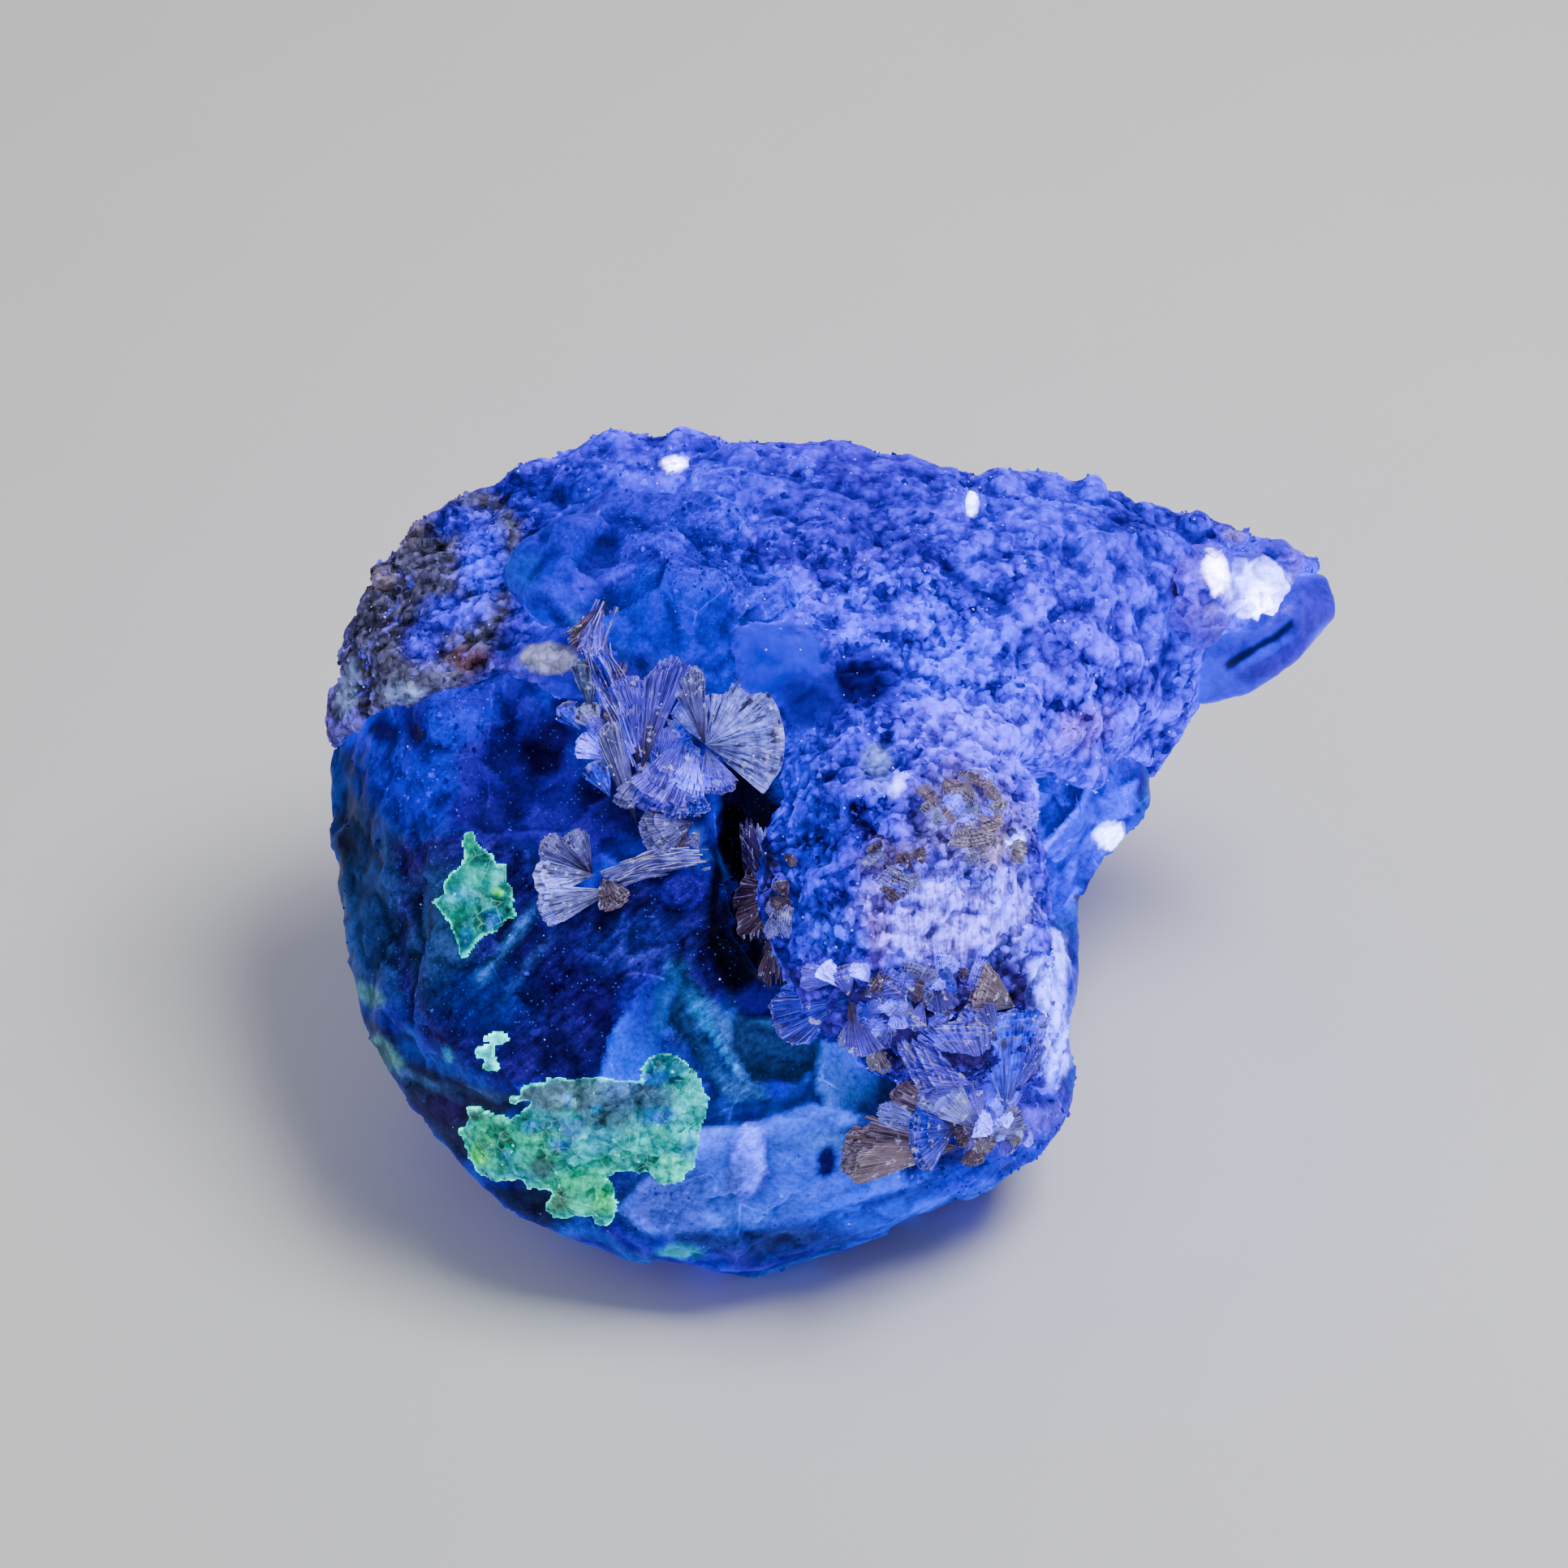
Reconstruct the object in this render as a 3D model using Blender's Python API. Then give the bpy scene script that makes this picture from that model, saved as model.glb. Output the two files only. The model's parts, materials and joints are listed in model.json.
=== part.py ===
"""A fluorite specimen, as small closed solids in metres, +Z up, resting on its broad cleavage base.

A rounded mass of blue fluorite is capped by a sugary feldspar crust, which runs out to the right in a
spur that ends in a smooth fluorite point with white quartz beside it.  Books of mica fan out of the
seam between the two, and skins of green hyalite lie on the fluorite's face.

Most corners are given face on, in millimetres: across to the right, up the face, and out of it.
lean() then tips the face back by LEAN_DEG, as the specimen rests.
"""

import math

import bmesh
import bpy
from mathutils import Matrix, Vector, noise
from mathutils.bvhtree import BVHTree

MM = 0.001
LEAN_DEG = 40.0  # how far the face leans back from upright
FACE_CENTRE_MM = Vector((-3.1, 1.2, 22.5))  # where the face's own origin stands above the base
FACE_VIEW_MM = 268.0  # outlines on the face are drawn as seen from this far in front of it
GAP_MM = 0.32  # clear space kept between touching pieces
BASE_SINK_MM = 2.0  # how far the base corners go under the resting plane before it is cut flat

# Grids that melt lumps into one skin, and how many triangles each piece keeps
STONE_VOXEL_MM = 0.8
QUARTZ_VOXEL_MM = 0.45
ROOM_VOXEL_MM = 0.45
FLUORITE_TRIANGLES = 1700
FELDSPAR_TRIANGLES = 2100
QUARTZ_TRIANGLES = 240
MICA_ROOM_TRIANGLES = 480
MICA_FLAT_DEG = 7.0  # mica faces that turn by less than this count as one

# Fluorite body: the crystal mass under everything, its face corners and its standing corners
CRYSTAL_FACE = [
    (-28.8, 2.3, -3.0), (-27.9, -4.7, 0.0), (-26.9, -11.1, 2.0), (-25.8, -15.2, 3.0),
    (-23.1, -18.7, 4.0), (-19.5, -23.0, 5.0), (-15.8, -26.4, 5.0), (-10.1, -28.6, 6.0),
    (-5.2, -29.6, 6.0), (-1.0, -29.3, 6.0), (6.1, -27.1, 5.0), (12.0, -24.6, 4.0),
    (17.2, -21.6, 2.0), (18.3, -11.8, -2.0), (18.1, -7.8, -4.0), (-24.6, 5.8, 2.0),
    (-21.6, 3.0, 8.0), (-19.5, -2.6, 11.0), (-20.1, -13.1, 12.0), (-15.0, -18.0, 13.0),
    (-1.7, -22.6, 13.0), (4.5, -20.7, 12.0), (12.8, -21.0, 9.0), (-1.3, -1.7, 8.0),
    (-13.0, 5.6, 7.0), (-12.4, 13.4, -2.0), (-0.3, 16.5, -4.0), (11.8, 8.4, -2.0),
]
CRYSTAL_BACK = [
    (-22, 10, 10), (-23, 8, 20), (-13, 18, 22), (4, 20, 21), (14, 15, 18), (14.5, 5, 12),
    (-9, 19, 7), (8, 19, 7), (16, 12, 7),
]
BASE_CORNERS = [
    (-14, -12), (-5, -16), (3, -12.5), (9, -6), (11, 3), (4, 14), (-11, 14), (-20, 4), (-20, -6),
]
# Glassy fluorite lumps on the upper crystal and along the seam: centre face on, and radii
GLASSY_LUMPS = [
    ((-13.0, 15.2, 5.5), (2.2, 1.8, 2.0)),
    ((-15.2, 13.0, 4.5), (1.9, 2.2, 2.0)),
    ((-13.4, 11.2, 6.5), (2.0, 2.0, 1.8)),
    ((-6.3, 10.7, 7.5), (3.8, 3.5, 3.0)),
    ((-9.9, 16.1, 2.5), (2.5, 1.8, 2.0)),
    ((-4.8, 16.3, 1.5), (2.5, 1.5, 1.8)),
    ((-0.8, 10.8, 5.5), (2.2, 2.2, 2.0)),
    ((-15.8, 5.9, 6.5), (2.0, 1.5, 1.8)),
    ((-19.7, 4.0, 6.5), (3.0, 2.2, 1.8)),
    ((-10.9, 4.1, 7.5), (1.2, 1.8, 1.8)),
    ((-8.1, 13.5, 5.5), (2.0, 1.5, 1.8)),
]
UPPER_CRYSTAL = [
    (-15.4, 10.1, 6.0), (-13.3, 15.8, 0.0), (-9.4, 18.5, -2.0), (-4.3, 18.0, -2.0),
    (-0.3, 13.2, 3.0), (1.7, 8.1, 6.5), (-1.3, 5.6, 9.0), (-6.5, 6.5, 10.5),
    (-10.9, 10.0, 9.0), (-5.1, 11.9, 8.5), (-8.0, 4.0, 2.0), (-5.0, 10.0, -8.0),
]
SIDE_CRYSTAL = [
    (22.9, -1.6, -7.0), (19.8, -4.7, -6.0), (14.1, 1.3, 1.0), (16.1, -1.7, 1.0),
    (18.4, -6.5, -5.0), (17.8, -8.0, -4.0), (23.6, 1.9, -8.0), (10.0, -5.0, -10.0),
    (18.0, -1.0, -14.0), (14.0, -8.0, -12.0),
]
LOWER_SIDE_CRYSTAL = [
    (18.0, -8.6, -3.5), (18.5, -11.8, -3.0), (18.2, -13.0, -2.0), (17.3, -15.5, -1.0),
    (17.3, -21.4, 0.5), (15.3, -13.9, 6.0), (14.5, -8.5, 5.0), (12.0, -16.0, -10.0),
    (14.0, -8.0, -10.0),
]
CLEFT = [
    (-4.6, 1.2, 14.0), (-1.6, 1.6, 14.0), (-4.6, -1.0, 14.0), (-1.2, -1.5, 16.0),
    (-4.9, -9.0, 15.0), (2.5, -12.5, 15.0), (0.8, -15.3, 15.0), (-2.6, -13.0, 15.0),
    (-3.4, -2.0, 1.0), (-2.6, -8.0, 0.0), (0.0, -11.0, 3.0),
]
FACE_HOLLOW_AT, FACE_HOLLOW_RADII = (-11.5, 0.6, 13.6), (7.5, 5.2, 5.6)

# Feldspar: the ridge along the back, the spur, the thick block on the right and the brown left end
RIDGE_FACE = [
    (-25.5, 12.5, -3.0), (-23.9, 15.2, -3.5), (-20.8, 17.6, -4.5), (-18.2, 18.9, -5.0),
    (-16.3, 20.7, -6.0), (-11.7, 21.7, -6.0), (-7.7, 22.1, -6.0), (2.3, 21.9, -6.0),
    (9.5, 20.6, -6.0), (17.0, 18.9, -7.0), (24.0, 17.2, -7.5), (26.5, 5.8, -8.0),
    (24.4, 1.3, -8.0), (22.3, -1.5, -8.0), (-26.6, 9.5, -3.0), (-24.5, 5.2, 3.0),
    (-19.8, 5.9, 6.5), (-16.8, 7.0, 7.5), (-11.9, 7.6, 8.5), (-0.3, 7.1, 9.5),
    (13.9, 1.8, 7.0), (18.0, 7.2, 3.0), (18.2, 0.3, 0.5), (-18.2, 12.2, 3.0),
    (-3.3, 16.4, 1.5), (9.2, 14.3, 2.0), (21.9, 14.5, -2.0),
]
RIDGE_BACK = [
    (-21, 16, 29), (-12, 21.5, 27), (2, 23, 27), (12, 22, 26), (20, 19, 25), (-17, 19, 18),
    (0, 22.5, 17), (14, 19.5, 17), (21, 14, 18),
]
SPUR_FACE = [
    (17.0, 18.9, -7.0), (24.9, 17.4, -7.5), (28.6, 16.5, -8.0), (31.8, 15.4, -9.0),
    (34.2, 13.8, -9.5), (33.4, 10.6, -10.0), (30.0, 8.0, -9.0), (26.8, 6.2, -8.0),
    (21.0, 4.0, -6.0), (18.0, 10.0, 1.0), (24.5, 12.5, -2.0), (28.5, 11.5, -4.0),
    (22.0, 16.0, -15.0), (30.0, 12.0, -15.0), (24.0, 7.0, -14.0),
]
BLOCK_FACE = [
    (-0.8, 0.8, 9.0), (1.6, 3.7, 9.0), (7.4, 5.1, 9.0), (13.8, 3.2, 8.0), (14.9, -0.7, 10.0),
    (14.8, -9.5, 11.0), (4.4, -9.7, 18.0), (4.4, -5.3, 18.0), (13.4, -5.4, 15.0),
    (-2.0, -5.4, 13.0), (0.4, -11.8, 15.0), (6.3, -15.2, 17.0), (14.5, -15.5, 12.0),
    (16.3, -13.9, 6.0), (16.6, -19.0, 2.0), (11.9, -20.2, 5.5), (7.4, -18.0, 10.0),
    (1.6, -13.9, 14.0), (8.8, 0.3, 14.0), (8.0, -8.0, 2.0),
]
LEFT_END_FACE = [
    (-28.6, 3.6, -4.0), (-27.9, 1.4, -1.5), (-27.1, 8.8, -3.5), (-26.0, 12.6, -3.0),
    (-21.7, 6.1, 7.0), (-23.8, 5.2, 6.0), (-19.8, 6.6, 7.5), (-22.0, 8.0, -8.0),
    (-24.5, 3.0, -9.0),
]

TIP_FACE = [
    (26.0, 4.9, -8.0), (29.2, 5.6, -6.5), (32.3, 7.7, -6.5), (35.3, 11.0, -8.5),
    (34.4, 13.6, -9.5), (31.6, 12.8, -7.0), (26.6, 8.0, -4.5), (32.2, 11.0, -5.5),
    (25.0, 9.0, -10.0), (30.5, 9.0, -12.0), (33.0, 12.0, -12.5),
]
# White quartz grains on the spur: centre face on, and radii
QUARTZ_GRAINS = [
    ((26.1, 12.9, -2.6), (1.7, 1.9, 1.8)),
    ((28.8, 12.3, -3.4), (2.4, 2.1, 2.0)),
    ((30.6, 13.6, -5.2), (1.6, 1.5, 1.6)),
    ((25.6, 10.3, -2.6), (1.9, 1.6, 1.7)),
]
# Pits in the feldspar: centre face on, and radii
PITS = [
    ((4.5, 7.3, 10.5), (1.7, 2.1, 3.0)),
    ((4.6, -2.2, 17.0), (1.0, 1.1, 2.6)),
    ((11.5, 11.0, 5.2), (2.6, 0.9, 2.0)),
]

# Mica books.  Each fan: apex and middle of the rim as seen face on, spread in degrees, thickness
# at the rim, height of the rim above the skin, and roll about its own length in degrees.
MICA_FANS = {
    "mica_lower_rosette": [
        ((10.6, -21.8), (4.2, -22.9), 52, 2.2, 1.2, -12),
        ((10.3, -21.2), (7.8, -22.5), 90, 1.4, 2.4, 0),
        ((10.2, -21.1), (6.4, -18.9), 42, 2.0, 1.0, 20),
        ((11.4, -20.8), (8.5, -18.3), 60, 1.6, 2.2, -15),
        ((12.1, -17.5), (7.5, -15.9), 60, 1.7, 1.3, 18),
        ((12.5, -19.8), (14.8, -14.8), 62, 2.2, 1.8, -20),
    ],
    "mica_middle_rosette": [
        ((4.0, -13.4), (-0.2, -14.9), 58, 2.4, 2.2, 25),
        ((4.0, -13.4), (5.5, -16.2), 85, 1.6, 1.4, 0),
        ((4.7, -13.0), (7.6, -12.4), 70, 1.5, 1.2, 20),
    ],
    "mica_edge_books": [
        ((10.8, -12.9), (12.6, -14.9), 70, 1.4, 1.5, 0),
        ((14.3, -13.3), (11.7, -12.1), 60, 1.4, 1.4, 15),
    ],
    "mica_upper_rosette": [
        ((-4.9, 2.5), (-1.1, 4.6), 150, 1.3, 2.0, 10),
        ((-8.8, 0.9), (-6.4, 8.0), 22, 1.6, 1.8, 50),
        ((-4.9, 2.5), (-6.6, 7.0), 34, 1.4, 1.4, -25),
        ((-4.7, 2.6), (-8.6, -1.2), 60, 2.2, 2.4, 15),
        ((-5.6, -2.2), (-8.7, -3.4), 72, 1.8, 1.6, 0),
        ((-9.3, -2.4), (-11.9, 5.3), 30, 1.2, 1.4, 45),
    ],
    "mica_trio": [
        ((-11.9, -5.4), (-14.6, -3.1), 46, 1.6, 2.0, 30),
        ((-11.6, -5.6), (-15.5, -6.1), 40, 1.2, 1.6, 0),
        ((-10.8, -6.4), (-15.0, -7.9), 40, 1.8, 1.4, -20),
        ((-11.4, -5.9), (-10.1, -7.2), 70, 1.5, 1.4, 0),
    ],
    "mica_cleft_books": [
        ((-0.2, -8.7), (-2.3, -8.2), 64, 1.4, 1.0, 0),
        ((0.2, -6.5), (-1.8, -5.2), 60, 1.4, 1.0, 20),
        ((-0.2, -8.5), (-0.5, -10.7), 50, 1.4, 1.0, 0),
    ],
}
# Edge-on mica ribbons: the line they follow face on, width, thickness and height above the skin
MICA_RIBBONS = {
    "mica_upper_rosette": ([(-11.0, 11.6), (-11.4, 8.8), (-10.7, 6.6), (-9.3, 3.3), (-8.8, 1.1)], 1.5),
    "mica_trio": ([(-11.2, -6.0), (-8.3, -4.9), (-4.7, -4.6)], 1.4),
}
FAN_RIBS = 6
FAN_ROWS = ((0.08, 0.4, 0.7), (1.0, 1.0, 1.0))  # share of reach, depth and spread
RIB_REACH, RIB_DEPTH = 0.045, 0.12  # how much a rib stands out at the rim, and in thickness
CORNER_SHORT = 0.10  # how much shorter a fan is at its corners
RIBBON_LIFT_MM = 0.9  # how far a ribbon's middle stands off the skin
APEX_LIFT_MM = 0.5  # how far a fan's apex stands off what it grew on
ROOT_MM = 0.95  # half width of the lump that joins the fans of a cluster

# Hyalite skins on the fluorite, outlines as seen face on
HYALITE_OUTLINES = {
    "hyalite_crust": [
        (-19.2, -19.7), (-16.3, -20.2), (-16.1, -18.6), (-14.4, -18.2), (-8.9, -18.2),
        (-8.5, -17.1), (-7.6, -16.5), (-6.3, -16.9), (-5.2, -17.8), (-4.6, -19.3),
        (-4.8, -20.5), (-5.5, -22.5), (-6.3, -24.4), (-7.6, -24.7), (-8.5, -23.8),
        (-10.6, -24.1), (-10.1, -25.5), (-10.2, -26.6), (-10.9, -27.2), (-12.0, -26.6),
        (-13.9, -26.7), (-14.7, -26.0), (-14.4, -25.0), (-15.4, -24.7), (-17.8, -24.3),
        (-19.1, -23.1), (-19.9, -21.4),
    ],
    "hyalite_flake": [
        (-19.5, -2.9), (-17.8, -4.4), (-16.9, -4.9), (-17.0, -5.9), (-16.3, -8.1),
        (-18.1, -9.3), (-19.8, -10.8), (-20.3, -9.2), (-21.5, -7.2), (-20.0, -4.7),
    ],
    "hyalite_speck": [
        (-18.4, -15.6), (-17.4, -15.1), (-16.9, -15.8), (-17.8, -16.4), (-17.4, -17.6),
        (-18.2, -17.5), (-18.9, -16.4),
    ],
}
HYALITE_PROUD_MM = 0.85  # outer face of the skin above the fluorite
HYALITE_SUNK_MM = 1.2  # how deep the blank reaches before the fluorite is cut away from it
HYALITE_BUMP, HYALITE_BUMP_MM = 0.35, 1.6  # share of its height that swells, and the swells' width
TIP_BEVEL_MM = 0.35  # worn edges of the smooth point

def lean(point_mm):
    """Face-on millimetres to the standing frame, in metres."""
    tilt = math.radians(LEAN_DEG)
    across, up, out = point_mm
    standing = Vector((
        across,
        up * math.sin(tilt) - out * math.cos(tilt),
        up * math.cos(tilt) + out * math.sin(tilt),
    ))
    return (standing + FACE_CENTRE_MM) * MM


def lean_direction(direction):
    """A face-on direction turned into the standing frame."""
    return (lean(direction) - lean((0, 0, 0))).normalized()


def stand(point_mm):
    """A corner already given as the specimen stands, from millimetres to metres."""
    return Vector(point_mm) * MM


def clear_scene():
    for obj in list(bpy.data.objects):
        bpy.data.objects.remove(obj)


def finish(obj, name, colour, roughness):
    """Gives a piece one material of its own."""
    made = bpy.data.materials.new(name)
    made.use_nodes = True
    shader = made.node_tree.nodes["Principled BSDF"]
    shader.inputs["Base Color"].default_value = (*colour, 1.0)
    shader.inputs["Roughness"].default_value = roughness
    obj.data.materials.clear()
    obj.data.materials.append(made)
    return obj


def object_of(name, bm):
    mesh = bpy.data.meshes.new(name)
    bm.to_mesh(mesh)
    bm.free()
    obj = bpy.data.objects.new(name, mesh)
    bpy.context.scene.collection.objects.link(obj)
    return obj


def helper(obj):
    """Marks an object as a cutter or guide, which is no piece of the specimen."""
    obj.hide_render = True
    obj.display_type = "WIRE"
    return obj


def add_hull(bm, corners):
    """Adds the faceted solid that spans these corners."""
    verts = [bm.verts.new(corner) for corner in corners]
    made = bmesh.ops.convex_hull(bm, input=verts)
    inner = [v for v in made["geom_interior"] if isinstance(v, bmesh.types.BMVert)]
    bmesh.ops.delete(bm, geom=inner, context="VERTS")


def add_ball(bm, centre, radii, divisions=2):
    """Adds a round lump, its centre and its radii given face on in millimetres."""
    turned = Matrix.Rotation(-math.radians(90 - LEAN_DEG), 4, "X")
    shape = Matrix.Translation(lean(centre)) @ turned @ Matrix.Diagonal((*radii, 1.0))
    bmesh.ops.create_icosphere(
        bm, subdivisions=divisions, radius=MM, matrix=shape, calc_uvs=False
    )


def add_sheet(bm, upper, lower):
    """Closes two matching grids of points, an upper and a lower face, into one thin solid."""
    top = [[bm.verts.new(p) for p in row] for row in upper]
    under = [[bm.verts.new(p) for p in row] for row in lower]
    rows, columns = len(top), len(top[0])
    for r in range(rows - 1):
        for c in range(columns - 1):
            bm.faces.new((top[r][c], top[r][c + 1], top[r + 1][c + 1], top[r + 1][c]))
            bm.faces.new((under[r][c], under[r + 1][c], under[r + 1][c + 1], under[r][c + 1]))
        for c in (0, columns - 1):
            bm.faces.new((top[r][c], top[r + 1][c], under[r + 1][c], under[r][c]))
    for r in (0, rows - 1):
        for c in range(columns - 1):
            bm.faces.new((top[r][c], top[r][c + 1], under[r][c + 1], under[r][c]))
    bmesh.ops.triangulate(bm, faces=bm.faces[:])
    bmesh.ops.recalc_face_normals(bm, faces=bm.faces[:])


def settle(obj):
    """Applies the object's modifiers and keeps its largest closed body."""
    graph = bpy.context.evaluated_depsgraph_get()
    mesh = bpy.data.meshes.new_from_object(obj.evaluated_get(graph))
    obj.modifiers.clear()
    obj.data = mesh
    bm = bmesh.new()
    bm.from_mesh(mesh)
    keep_largest(bm)
    bm.to_mesh(mesh)
    bm.free()
    return obj


def keep_largest(bm):
    """Deletes every loose body but the largest."""
    bodies, seen = [], set()
    for start in bm.verts:
        if start in seen:
            continue
        body, queue = [], [start]
        seen.add(start)
        while queue:
            vert = queue.pop()
            body.append(vert)
            for edge in vert.link_edges:
                other = edge.other_vert(vert)
                if other not in seen:
                    seen.add(other)
                    queue.append(other)
        bodies.append(body)
    for body in sorted(bodies, key=len)[:-1]:
        bmesh.ops.delete(bm, geom=body, context="VERTS")


def melt(obj, voxel_mm=STONE_VOXEL_MM, passes=4):
    """Melts the lumps of a mesh into one skin and softens its edges."""
    remesh = obj.modifiers.new("melt", "REMESH")
    remesh.mode = "VOXEL"
    remesh.voxel_size = voxel_mm * MM
    soften = obj.modifiers.new("soften", "SMOOTH")
    soften.factor = 0.5
    soften.iterations = passes
    return settle(obj)


def push(obj, height_mm):
    """Moves each vertex out along its normal by height_mm(place in millimetres)."""
    mesh = obj.data
    moved = [v.co + v.normal * height_mm(v.co / MM) * MM for v in mesh.vertices]
    for vert, place in zip(mesh.vertices, moved):
        vert.co = place
    return obj


def thin_out(obj, triangles):
    """Collapses a piece to about this many triangles."""
    obj.data.calc_loop_triangles()
    fewer = obj.modifiers.new("thin out", "DECIMATE")
    fewer.ratio = min(1.0, triangles / len(obj.data.loop_triangles))
    return settle(obj)


def merge_flats(obj, degrees):
    """Merges neighbouring faces that turn by less than this into one."""
    merge = obj.modifiers.new("merge flats", "DECIMATE")
    merge.decimate_type = "DISSOLVE"
    merge.angle_limit = math.radians(degrees)
    return settle(obj)


def boolean(obj, other, operation="DIFFERENCE"):
    cut = obj.modifiers.new(operation.lower(), "BOOLEAN")
    cut.operation = operation
    cut.solver = "EXACT"
    cut.object = other
    return settle(obj)


def swollen(obj, triangles):
    """A cutter of this piece's shape, larger all round by the gap, with no fold in its skin."""
    cutter = bpy.data.objects.new(obj.name + "_room", obj.data.copy())
    bpy.context.scene.collection.objects.link(cutter)
    swell = cutter.modifiers.new("swell", "DISPLACE")
    swell.mid_level = 0.0
    swell.strength = GAP_MM * MM
    refine = cutter.modifiers.new("refine", "REMESH")
    refine.mode = "VOXEL"
    refine.voxel_size = ROOM_VOXEL_MM * MM
    return helper(thin_out(settle(cutter), triangles))


def cut_base(obj):
    """Cuts the piece flat where it rests."""
    bm = bmesh.new()
    bm.from_mesh(obj.data)
    geometry = bm.verts[:] + bm.edges[:] + bm.faces[:]
    cut = bmesh.ops.bisect_plane(
        bm, geom=geometry, plane_co=(0, 0, 0), plane_no=(0, 0, 1), clear_inner=True
    )
    rim = [e for e in cut["geom_cut"] if isinstance(e, bmesh.types.BMEdge)]
    bmesh.ops.triangle_fill(bm, use_beauty=True, edges=rim, normal=(0, 0, -1))
    bmesh.ops.recalc_face_normals(bm, faces=bm.faces[:])
    bm.to_mesh(obj.data)
    bm.free()
    return obj


def facet_relief(place):
    """Low swells and etch steps of the fluorite's faces, in millimetres."""
    swell = 0.45 * noise.fractal(place / 8.0, 1.0, 2.0, 3)
    step = 0.25 * math.tanh(4.0 * noise.noise(place / 5.5 + Vector((7, 3, 1))))
    return swell + step


def crust_relief(place):
    """Lumps and pits of the sugary feldspar, in millimetres."""
    nearest = noise.voronoi(place / 3.4)[0][0]
    lump = 1.3 * (0.55 - min(nearest, 0.9))
    return lump + 0.8 * noise.fractal(place / 6.0, 1.0, 2.2, 4)


def grain_relief(place):
    """Slight unevenness of the quartz grains, in millimetres."""
    return 0.25 * noise.noise(place / 1.3)


def skin_of(*objects):
    """One search tree over the outer faces of several pieces."""
    bm = bmesh.new()
    for obj in objects:
        bm.from_mesh(obj.data)
    bmesh.ops.triangulate(bm, faces=bm.faces[:])
    tree = BVHTree.FromBMesh(bm)
    bm.free()
    return tree


def on_skin(skin, seen, height_mm=0.0):
    """The point of the skin seen at (across, up), raised along the line of sight, and its normal."""
    viewer = lean((0, 0, FACE_VIEW_MM))
    sight = (lean((*seen, 0)) - viewer).normalized()
    place, normal, _, _ = skin.ray_cast(viewer, sight)
    return place - sight * height_mm * MM, normal


def mica_fan(skin, apex, rim, spread, thick, lift, roll):
    """A book of mica that opens from its apex to a thick scalloped rim."""
    root, normal = on_skin(skin, apex, APEX_LIFT_MM)
    end, _ = on_skin(skin, rim, lift)
    heading = end - root
    reach = heading.length
    heading.normalize()
    facing = (normal - heading * normal.dot(heading)).normalized()
    facing = Matrix.Rotation(math.radians(roll), 3, heading) @ facing
    side = heading.cross(facing)
    upper, lower = [], []
    for share, depth, width in FAN_ROWS:
        top, bottom = [], []
        for i in range(FAN_RIBS):
            off_centre = 2 * i / (FAN_RIBS - 1) - 1
            turn = math.radians(0.5 * spread * width) * off_centre
            out = heading * math.cos(turn) + side * math.sin(turn)
            rib = 1.0 if i % 2 else -1.0
            length = reach * share * (1.0 + RIB_REACH * rib - CORNER_SHORT * off_centre ** 2)
            half = 0.5 * thick * depth * (1.0 + RIB_DEPTH * rib) * MM
            top.append(root + out * length + facing * half)
            bottom.append(root + out * length - facing * half)
        upper.append(top)
        lower.append(bottom)
    bm = bmesh.new()
    add_sheet(bm, upper, lower)
    return helper(object_of("fan", bm))


def mica_ribbon(skin, line, width):
    """A long sheath of mica seen on its edge, widest halfway along."""
    points = [on_skin(skin, seen, RIBBON_LIFT_MM)[0] for seen in line]
    out = lean_direction((0, 0, 1))
    upper, lower = [], []
    for i, place in enumerate(points):
        before, after = points[max(i - 1, 0)], points[min(i + 1, len(points) - 1)]
        across = (after - before).cross(out).normalized()
        half = 0.5 * width * (0.75 + 0.25 * math.sin(math.pi * i / (len(points) - 1))) * MM
        upper.append([place - across * half, place + out * half, place + across * half])
        lower.append([p - out * 1.5 * half for p in upper[-1]])
    bm = bmesh.new()
    add_sheet(bm, upper, lower)
    return helper(object_of("ribbon", bm))


def build_mica(name, skin):
    """One grown-together cluster of mica fans and ribbons, joined at a lump on the stone."""
    fans = MICA_FANS[name]
    corners = []
    for apex, *_ in fans:
        place, normal = on_skin(skin, apex, APEX_LIFT_MM)
        across = normal.orthogonal().normalized()
        along = normal.cross(across)
        for offset in (normal, -normal, across, -across, along, -along):
            corners.append(place + offset * ROOT_MM * MM)
    root = bmesh.new()
    add_hull(root, corners)
    cluster = object_of(name, root)
    for fan in fans:
        boolean(cluster, mica_fan(skin, *fan), "UNION")
    if name in MICA_RIBBONS:
        line, width = MICA_RIBBONS[name]
        boolean(cluster, mica_ribbon(skin, line, width), "UNION")
    return finish(cluster, name + "_grey", (0.32, 0.27, 0.42), 0.35)


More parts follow.
